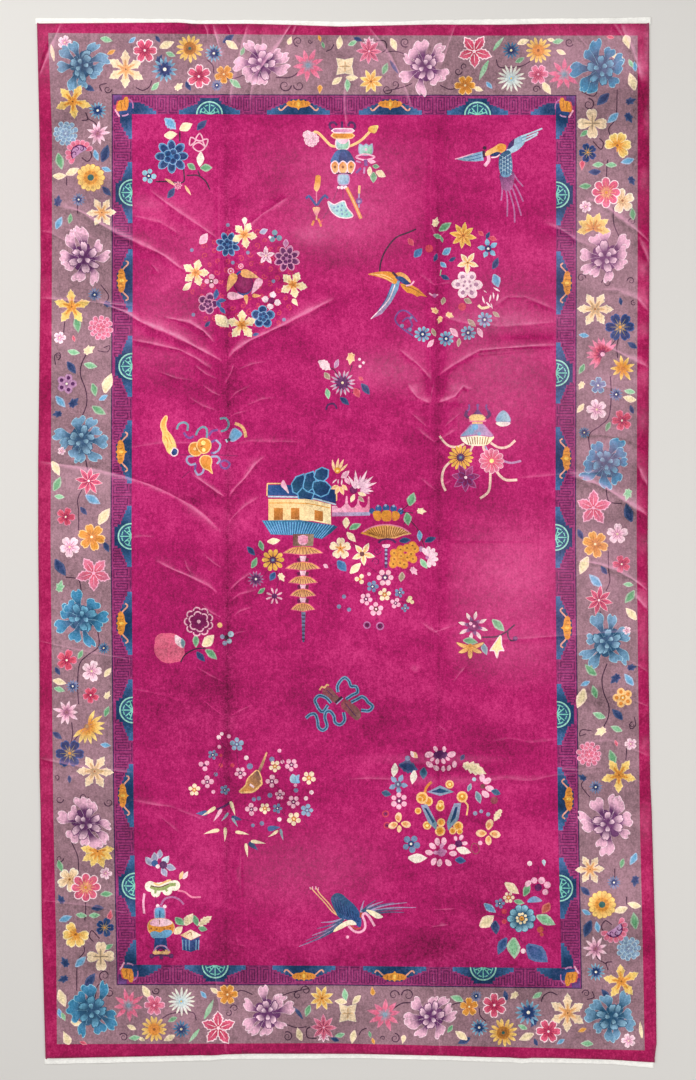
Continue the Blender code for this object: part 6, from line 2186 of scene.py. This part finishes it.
# ---------------------------------------------------------------- materials
def new_material(name, roughness=0.9):
    """A material, its node tree and its shader."""
    material = bpy.data.materials.new(name)
    material.use_nodes = True
    shader = material.node_tree.nodes["Principled BSDF"]
    shader.inputs["Roughness"].default_value = roughness
    return material, material.node_tree, shader


def math_node(tree, operation, a, b=None, clamp=False):
    node = tree.nodes.new("ShaderNodeMath")
    node.operation = operation
    node.use_clamp = clamp
    for socket, value in zip(node.inputs, (a, b)):
        if isinstance(value, (int, float)):
            socket.default_value = value
        elif value is not None:
            tree.links.new(value, socket)
    return node.outputs[0]


def noise(tree, scale, detail, roughness=0.5, stretch=(1, 1, 1), distortion=0.0):
    """A noise over the rug's own place, in metres."""
    place = tree.nodes.new("ShaderNodeTexCoord")
    mapping = tree.nodes.new("ShaderNodeMapping")
    mapping.inputs["Scale"].default_value = stretch
    tree.links.new(place.outputs["Object"], mapping.inputs["Vector"])
    texture = tree.nodes.new("ShaderNodeTexNoise")
    texture.inputs["Scale"].default_value = scale
    texture.inputs["Detail"].default_value = detail
    texture.inputs["Roughness"].default_value = roughness
    texture.inputs["Distortion"].default_value = distortion
    tree.links.new(mapping.outputs["Vector"], texture.inputs["Vector"])
    return texture.outputs["Fac"]


def tinted(tree, colour, tone, low, high):
    """A colour made lighter and darker by a tone about nought, between a low and a high gain."""
    gain = math_node(tree, "ADD", tone, 1.0)
    gain = math_node(tree, "MINIMUM", math_node(tree, "MAXIMUM", gain, low), high)
    scaled = tree.nodes.new("ShaderNodeVectorMath")
    scaled.operation = "SCALE"
    if isinstance(colour, tuple):
        scaled.inputs[0].default_value = colour
    else:
        tree.links.new(colour, scaled.inputs[0])
    tree.links.new(gain, scaled.inputs["Scale"])
    return scaled.outputs[0]


def with_noise(tree, tone, gain, *measures, **more):
    """A tone with a noise about nought added to it."""
    field = math_node(tree, "SUBTRACT", noise(tree, *measures, **more), 0.5)
    return math_node(tree, "ADD", tone, math_node(tree, "MULTIPLY", field, gain))


def mottle(tree, *fields):
    """The sum of several noises about nought: each one's scale, detail and gain."""
    tone = 0.0
    for scale, detail, gain in fields:
        tone = with_noise(tree, tone, gain, scale, detail, 0.55, distortion=0.3)
    return tone


def bump(tree, shader, height, strength, distance):
    node = tree.nodes.new("ShaderNodeBump")
    node.inputs["Strength"].default_value = strength
    node.inputs["Distance"].default_value = distance
    tree.links.new(height, node.inputs["Height"])
    tree.links.new(node.outputs["Normal"], shader.inputs["Normal"])


PILE_SHADER = {
    "Sheen Weight": 0.25, "Sheen Roughness": 0.45, "Sheen Tint": (1.0, 0.8, 0.9, 1),
    "Specular IOR Level": 0.15,
}
# The mottle is a random tone of the pile, partly painted sheen where the pile turns. The waves across are
# painted shading of low ripples; the ribs up and down are the weave's own.
PILE_MOTTLE = ((1.6, 2, 0.8), (7.0, 3, 0.6), (38.0, 3, 0.65), (130.0, 2, 1.2))  # scale, detail, gain
PILE_RIBS_AND_WAVE_SHADE = ((90.0, (1, 0.25, 1), 0.5), (6.0, (0.3, 1, 1), 0.75))  # ribs up and down, waves across
TUFT_NOISE, TUFT_GAIN = (46.0, 5, 0.65), 2.0
# The pale colour that painted sheen runs towards, on the folds and on the mottle's lighter places, and how
# far.
SHEEN_HIGHLIGHT_COLOUR = (0.78, 0.36, 0.52, 1)
SHEEN_TONE, SHEEN_MIX, MOTTLE_SHEEN_MIX = 0.5, 0.42, 0.16


def lit_part(tree, tone, gain):
    """What of a tone lies above nought, times a gain."""
    return math_node(tree, "MULTIPLY", math_node(tree, "MAXIMUM", tone, 0.0), gain)


def pile_material():
    """Velvet wool: the chart's colours, made lighter and darker by a random mottle and by painted sheen and
    shade.
    """
    material, tree, shader = new_material("velvet_pile", 0.85)
    pattern = tree.nodes.new("ShaderNodeVertexColor")
    pattern.layer_name = "Pattern"
    lie = tree.nodes.new("ShaderNodeAttribute")
    lie.attribute_name = "PaintedLight"
    tufts = math_node(tree, "MULTIPLY", noise(tree, *TUFT_NOISE, distortion=0.4), TUFT_GAIN)
    # painted sheen and shade along the folds, broken up by the tufts
    painted_sheen = math_node(tree, "MULTIPLY", lie.outputs["Fac"], tufts)
    mottled = mottle(tree, *PILE_MOTTLE)
    for scale, stretch, gain in PILE_RIBS_AND_WAVE_SHADE:
        mottled = with_noise(tree, mottled, gain, scale, 2, 0.5, stretch)
    tone = math_node(tree, "ADD", mottled, math_node(tree, "MULTIPLY", painted_sheen, SHEEN_TONE))
    colour = tinted(tree, pattern.outputs["Color"], tone, 0.3, 1.7)
    streaked, mottle_sheen = lit_part(tree, painted_sheen, SHEEN_MIX), lit_part(tree, mottled, MOTTLE_SHEEN_MIX)
    lit = tree.nodes.new("ShaderNodeMix")
    lit.data_type = "RGBA"
    lit.inputs["B"].default_value = SHEEN_HIGHLIGHT_COLOUR
    tree.links.new(math_node(tree, "ADD", streaked, mottle_sheen, clamp=True), lit.inputs["Factor"])
    tree.links.new(colour, lit.inputs["A"])
    tree.links.new(lit.outputs["Result"], shader.inputs["Base Color"])
    for socket, value in PILE_SHADER.items():
        shader.inputs[socket].default_value = value
    bump(tree, shader, noise(tree, 160.0, 3, 0.6), 0.3, 0.004)
    return material


def whipping_material():
    """Dark magenta wool, wound round the edge."""
    material, tree, shader = new_material("overcast_wool", 0.9)
    tone = mottle(tree, (3.0, 2, 0.7), (60.0, 3, 0.9))
    tree.links.new(tinted(tree, tuple(linear("selvedge")), tone, 0.4, 1.6), shader.inputs["Base Color"])
    bump(tree, shader, noise(tree, 300.0, 2, 0.5, stretch=(0.3, 1, 1)), 0.4, 0.002)
    return material


THREADS, THREAD_STRETCH = (420.0, 2), (0.2, 1, 1)


def cotton_material(name, colour):
    """Flat-woven cotton, a little soiled."""
    material, tree, shader = new_material(name, 0.95)
    tone = mottle(tree, (1.5, 3, 0.35), (25.0, 3, 0.35))
    tone = with_noise(tree, tone, 0.5, *THREADS, stretch=THREAD_STRETCH)
    tree.links.new(tinted(tree, colour, tone, 0.7, 1.15), shader.inputs["Base Color"])
    bump(tree, shader, noise(tree, *THREADS, stretch=THREAD_STRETCH), 0.5, 0.002)
    return material


def border(tris):
    """The edges that belong to one triangle only."""
    sides = np.concatenate([tris[:, [0, 1]], tris[:, [1, 2]], tris[:, [2, 0]]])
    edges = {(int(a), int(b)) for a, b in sides}
    return sorted((a, b) for a, b in edges if (b, a) not in edges)


def rim_walls(verts, tris):
    """The rim's points, a foot for each of them drawn outward on the chart, and the walls' triangles."""
    rim = border(tris)
    outward = {}
    for a, b in rim:
        run = verts[b] - verts[a]
        normal = np.array([run[1], -run[0]]) / max(hypot(*run), TINY)
        for point in (a, b):
            outward[point] = outward.get(point, 0) + normal
    foot = {point: len(verts) + i for i, point in enumerate(outward)}
    low = [verts[point] + WALL_SPREAD * way / max(hypot(*way), TINY) for point, way in outward.items()]
    walls = []
    for a, b in rim:
        walls += [(a, foot[a], foot[b]), (a, foot[b], b)]
    return list(outward), np.array(low), np.array(walls)


def tile_mesh(name, faces, owner, verts, placed, tones):
    """One tile of the pile, with the chart's colour at each corner."""
    used, local = np.unique(faces, return_inverse=True)
    corners = verts[faces.ravel()]
    colours = corner_colours(corners, np.repeat(owner, 3))
    low, high = corners.min(0), corners.max(0)
    uvs = UV_MARGIN + (1 - 2 * UV_MARGIN) * (corners - low) / (high - low)
    uvs[:, 1] = 1 - uvs[:, 1]
    return make_mesh(name, placed[used], local.reshape(-1, 3), colours, tones[used], uvs)


def make_pile():
    verts, tris = chart_mesh()
    print("chart:", len(outlines), "shapes,", len(verts), "points,", len(tris), "triangles")
    above, low, walls = rim_walls(verts, tris)
    placed = np.column_stack([to_mm(verts), heights(verts)]) / 1000
    feet = placed[above]
    feet[:, 2] = WALL_FOOT / 1000
    # painted light and shade of each point; the feet of the sides are painted in shade
    tones = np.concatenate([painted_light_and_shade(verts), np.full(len(low), FOOT_SHADE)])
    middles = np.concatenate([verts[tris].mean(1), verts[walls[:, 0]]])
    owner = np.concatenate([topmost(verts, tris), np.zeros(len(walls), int)])
    faces = np.vstack([tris, walls])[:, ::-1]
    verts, placed = np.vstack([verts, low]), np.vstack([placed, feet])
    material = pile_material()
    made = []
    for i, (x0, x1) in enumerate(zip(TILES_ACROSS, TILES_ACROSS[1:])):
        for j, (y0, y1) in enumerate(zip(TILES_DOWN, TILES_DOWN[1:])):
            x, y = middles.T
            mine = (x >= x0) & (x < x1) & (y >= y0) & (y < y1)
            mesh = tile_mesh(f"pile_{i}_{j}", faces[mine], owner[mine], verts, placed, tones)
            made.append(add_object(f"pile_{TILE_COLUMNS[i]}_{j + 1}", mesh, "pile", material))
    return made


# ---------------------------------------------------------------- what lies under and beside the pile
FOUNDATION_THICKNESS, STRIP_THICKNESS = 3.0, 3.2
FOUNDATION_INSET, STRIP_INSET = 1.3, 1.2  # cells inside the rug's rim
FOUNDATION_ACROSS, FOUNDATION_DOWN, FOUNDATION_GRID = (50, 646), (36, 1050), 12.0  # cells
FOUNDATION_RIM_STEP, FOUNDATION_MARGIN = 10.0, 20  # cells, and mm from the rim to the grid
FOUNDATION_NEAREST, FOUNDATION_UV_MARGIN = 0.001, 0.01
FOUNDATION_COLOUR, COTTON_COLOUR = (0.42, 0.2, 0.24), (0.94, 0.92, 0.865)
CORD_RADIUS, CORD_SIDES = 4.2, 8
CORD_OUT, CORD_PITCH, CORD_ROOM = 0.9, 0.55, 0.4  # cells: out from the rim, a turn of wool, room at its ends
CORD_RIDGE, CORD_GROOVE, CORD_UNEVEN = 0.3, -0.15, 0.25  # mm on its radius
CORD_PLACES = {1: 40, -1: 650}  # where the ends' rims are read for the left and the right cord
# The woven ends: place across the rug in mm, then the strip's depth there in mm
TOP_STRIP = ((-1552.5, 25), (-1100, 20), (-830, 15), (-480, 17), (-30, 22), (270, 16), (420, 20), (770, 26),
             (1200, 24), (1525, 30))
BOTTOM_STRIP = ((-1508, 26), (-730, 26), (-650, 20), (-480, 24), (-180, 22), (70, 19), (520, 19), (880, 22),
                (1320, 20), (1538, 25))
STRIP_PLACES, STRIP_RIBS = 420, 19  # points along a strip and across it
RAGGED, RAGGED_ROOM, RAGGED_BLUR = 0.7, 0.4, (0.25, 0.5, 0.25)  # mm, and how its edge is evened out
RAGGED_SEEDS = {1: 5, -1: 6}
STRIP_LIFT, LIFT_WAVES = 1.6, (141, 57)  # mm that its free edge rises in places, and mm in each wave
RIB_HEIGHT, EDGE_DROP = 0.32, 0.8
UNDER_SAG = 0.1  # mm by which the underside hangs below the free edge's rise


def closed_sheet(flat, tris, thickness):
    """Points and triangles of a sheet with two faces and walls between them."""
    n = len(flat)
    verts = np.vstack([np.column_stack([flat, np.full(n, height)]) for height in (thickness, 0.0)])
    turned = tris[:, ::-1]
    a, b, c = (flat[turned[:, i]] for i in range(3))
    area = np.cross(b - a, c - a)
    turned = np.where(area[:, None] < 0, turned[:, ::-1], turned)
    walls = []
    for a, b in border(turned):
        walls += [(b, a, a + n), (b, a + n, b + n)]
    return verts, np.vstack([turned, turned[:, ::-1] + n, walls])


def make_foundation():
    """The ground weave that the pile is knotted on: one thin closed sheet."""
    rim = np.array(frame_outline(RIM, -FOUNDATION_INSET, FOUNDATION_RIM_STEP))
    grid = grid_points(FOUNDATION_ACROSS, FOUNDATION_DOWN, FOUNDATION_GRID)
    grid = grid[in_from_edge(grid) > CELL_MM * FOUNDATION_INSET + FOUNDATION_MARGIN]
    points = [tuple(p) for p in np.vstack([rim, grid])]
    edges = [(i, (i + 1) % len(rim)) for i in range(len(rim))]
    flat, tris = triangulate(points, edges, rim, INSIDE, FOUNDATION_NEAREST)
    flat = to_mm(flat)
    verts, tris = closed_sheet(flat, tris, FOUNDATION_THICKNESS)
    share = (verts[tris.ravel()][:, :2] - flat.min(0)) / (flat.max(0) - flat.min(0))
    below = np.repeat(tris.min(1) >= len(flat), 3)  # the underside lies beside the top on the map
    u = FOUNDATION_UV_MARGIN + (0.5 - 2 * FOUNDATION_UV_MARGIN) * share[:, 0] + 0.5 * below
    v = FOUNDATION_UV_MARGIN + (1 - 2 * FOUNDATION_UV_MARGIN) * share[:, 1]
    uvs = np.stack([u, v], 1)
    mesh = make_mesh("foundation", verts / 1000, tris, uvs=uvs)
    return add_object("rug_foundation", mesh, "pile", cotton_material("ground_weave", FOUNDATION_COLOUR))


def make_selvedge(name, side, way):
    """An overcast long side: a cord whipped round with wool, each turn a small ridge."""
    first, last = (line_at(end, RIM, CORD_PLACES[way]) for end in (TOP, BOTTOM))
    places = np.arange(first + CORD_ROOM, last - CORD_ROOM, CORD_PITCH)
    turns = [tau * k / CORD_SIDES for k in range(CORD_SIDES)]
    verts, tris = [], []
    for i, y in enumerate(places):
        (cx, cy), = to_mm([(line_at(side, RIM, y) + way * CORD_OUT, y)])
        uneven = CORD_UNEVEN * sin(0.9 * i) * sin(0.23 * i)
        r = CORD_RADIUS + (CORD_RIDGE if i % 2 else CORD_GROOVE) + uneven
        verts += [(cx + r * cos(t), cy, max(0.0, CORD_RADIUS + r * sin(t))) for t in turns]
    for i in range(len(places) - 1):
        for k in range(CORD_SIDES):
            a, b = i * CORD_SIDES + k, i * CORD_SIDES + (k + 1) % CORD_SIDES
            tris += [(a, b, b + CORD_SIDES), (a, b + CORD_SIDES, a + CORD_SIDES)]
    end = (len(places) - 1) * CORD_SIDES
    for k in range(1, CORD_SIDES - 1):
        tris += [(0, k + 1, k), (end, end + k, end + k + 1)]
    mesh = make_mesh(name, np.array(verts) / 1000, np.array(tris))
    return add_object(name, mesh, "pile", whipping_material())


def strip_points(side, strip, way):
    """Points of a woven end's top and of its underside, with ribs along it and a slightly uneven edge."""
    places = np.linspace(strip[0][0], strip[-1][0], STRIP_PLACES)
    depths = np.interp(places, [row[0] for row in strip], [row[1] for row in strip])
    ragged = np.random.default_rng(RAGGED_SEEDS[way]).normal(0, RAGGED, STRIP_PLACES)
    ragged = np.minimum(0, np.convolve(ragged, RAGGED_BLUR, "same") - RAGGED_ROOM)
    top, bottom = [], []
    for x, depth, rough in zip(places, depths, ragged):
        place = x / CELL_MM + MIDDLE[0]
        rim = line_at(side, RIM, place)
        start = rim + way * STRIP_INSET
        reach = rim - way * (depth + rough) / CELL_MM
        lift = STRIP_LIFT * max(0.0, sin(x / LIFT_WAVES[0]) * sin(x / LIFT_WAVES[1] + 1))
        for k in range(STRIP_RIBS):
            share = k / (STRIP_RIBS - 1)
            (_, y), = to_mm([(place, start + (reach - start) * share)])
            rise = lift * share * share
            rib = 0 if k in (0, STRIP_RIBS - 1) else RIB_HEIGHT if k % 2 else -RIB_HEIGHT
            drop = EDGE_DROP if k == STRIP_RIBS - 1 else 0
            top.append((x, y, STRIP_THICKNESS + rib + rise - drop))
            bottom.append((x, y, max(0.0, rise - UNDER_SAG)))
    return top + bottom


def strip_triangles(rows, columns, way):
    """Triangles of a closed strip whose points run across it row by row, first on top and then below."""
    n = rows * columns
    quads = []
    for i in range(rows - 1):
        a, b = i * columns, (i + 1) * columns
        for k in range(columns - 1):
            quads.append((a + k, b + k, b + k + 1, a + k + 1))
            quads.append((a + k + n, a + k + 1 + n, b + k + 1 + n, b + k + n))
        quads.append((a, a + n, b + n, b))
        a, b = a + columns - 1, b + columns - 1
        quads.append((a, b, b + n, a + n))
    quads += [(k, k + 1, k + 1 + n, k + n) for k in range(columns - 1)]
    quads += [(k, k + n, k + 1 + n, k + 1) for k in range(n - columns, n - 1)]
    tris = []
    for a, b, c, d in quads:
        tris += [(a, b, c), (a, c, d)] if way > 0 else [(a, c, b), (a, d, c)]
    return tris


def make_woven_end(name, side, strip, way):
    verts = strip_points(side, strip, way)
    mesh = make_mesh(name, np.array(verts) / 1000, np.array(strip_triangles(STRIP_PLACES, STRIP_RIBS, way)))
    return add_object(name, mesh, "woven_end", cotton_material("ivory_cotton", COTTON_COLOUR))


pile = make_pile()
foundation = make_foundation()
selvedges = [make_selvedge("selvedge_left", LEFT, 1), make_selvedge("selvedge_right", RIGHT, -1)]
end_top = make_woven_end("woven_top", TOP, TOP_STRIP, 1)
end_bottom = make_woven_end("woven_bottom", BOTTOM, BOTTOM_STRIP, -1)
for piece in (*pile, foundation, *selvedges):
    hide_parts("rug_body")
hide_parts("woven_end_top")
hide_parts("woven_end_bottom")


# ---------------------------------------------------------------- camera, light and floor
FLOOR_REACH, FLOOR_LEVEL, FLOOR_COLOUR = 40, -0.0005, (0.7, 0.677, 0.643, 1)
LIGHTS = (  # name, place, size, power
    ("key", (-4.5, 3.5, 5.5), 6.5, 325),
    ("fill", (4.5, -2.0, 6.0), 6.0, 170),
    ("top", (0.0, 0.0, 8.0), 7.0, 190),
)
WORLD_COLOUR, WORLD_STRENGTH = (1, 1, 1, 1), 0.36
CAMERA_HEIGHT, CAMERA_FAR, SENSOR_WIDTH = 9.0, 100, 36


def make_floor():
    mesh = bpy.data.meshes.new("floor")
    corners = ((-1, -1), (1, -1), (1, 1), (-1, 1))
    places = [(FLOOR_REACH * x, FLOOR_REACH * y, FLOOR_LEVEL) for x, y in corners]
    mesh.from_pydata(places, [], [(0, 1, 2, 3)])
    floor = bpy.data.objects.new("floor", mesh)
    bpy.context.scene.collection.objects.link(floor)
    material, _, shader = new_material("plain_floor", 0.9)
    shader.inputs["Base Color"].default_value = FLOOR_COLOUR
    mesh.materials.append(material)


def make_lights():
    """Area lights that face the rug's middle, in a plain pale world."""
    for name, place, size, power in LIGHTS:
        data = bpy.data.lights.new(name, "AREA")
        data.size, data.energy = size, power
        light = bpy.data.objects.new(name, data)
        light.location = place
        bpy.context.scene.collection.objects.link(light)
        light.rotation_euler = (-light.location).to_track_quat("-Z", "Y").to_euler()
    world = bpy.data.worlds.new("studio")
    world.use_nodes = True
    background = world.node_tree.nodes["Background"]
    background.inputs["Color"].default_value = WORLD_COLOUR
    background.inputs["Strength"].default_value = WORLD_STRENGTH
    bpy.context.scene.world = world


def make_camera():
    """Straight above, with the whole chart in view."""
    data = bpy.data.cameras.new("camera")
    data.sensor_width = SENSOR_WIDTH
    data.lens = data.sensor_width * CAMERA_HEIGHT / (CHART_HEIGHT * CELL)
    data.clip_end = CAMERA_FAR
    camera = bpy.data.objects.new("camera", data)
    x, y = (CHART_WIDTH / 2 - MIDDLE[0]) * CELL, (MIDDLE[1] - CHART_HEIGHT / 2) * CELL
    camera.location = (x, y, CAMERA_HEIGHT)
    bpy.context.scene.collection.objects.link(camera)
    bpy.context.scene.camera = camera


make_floor()
make_lights()
make_camera()
bpy.context.scene.view_settings.view_transform = "Standard"
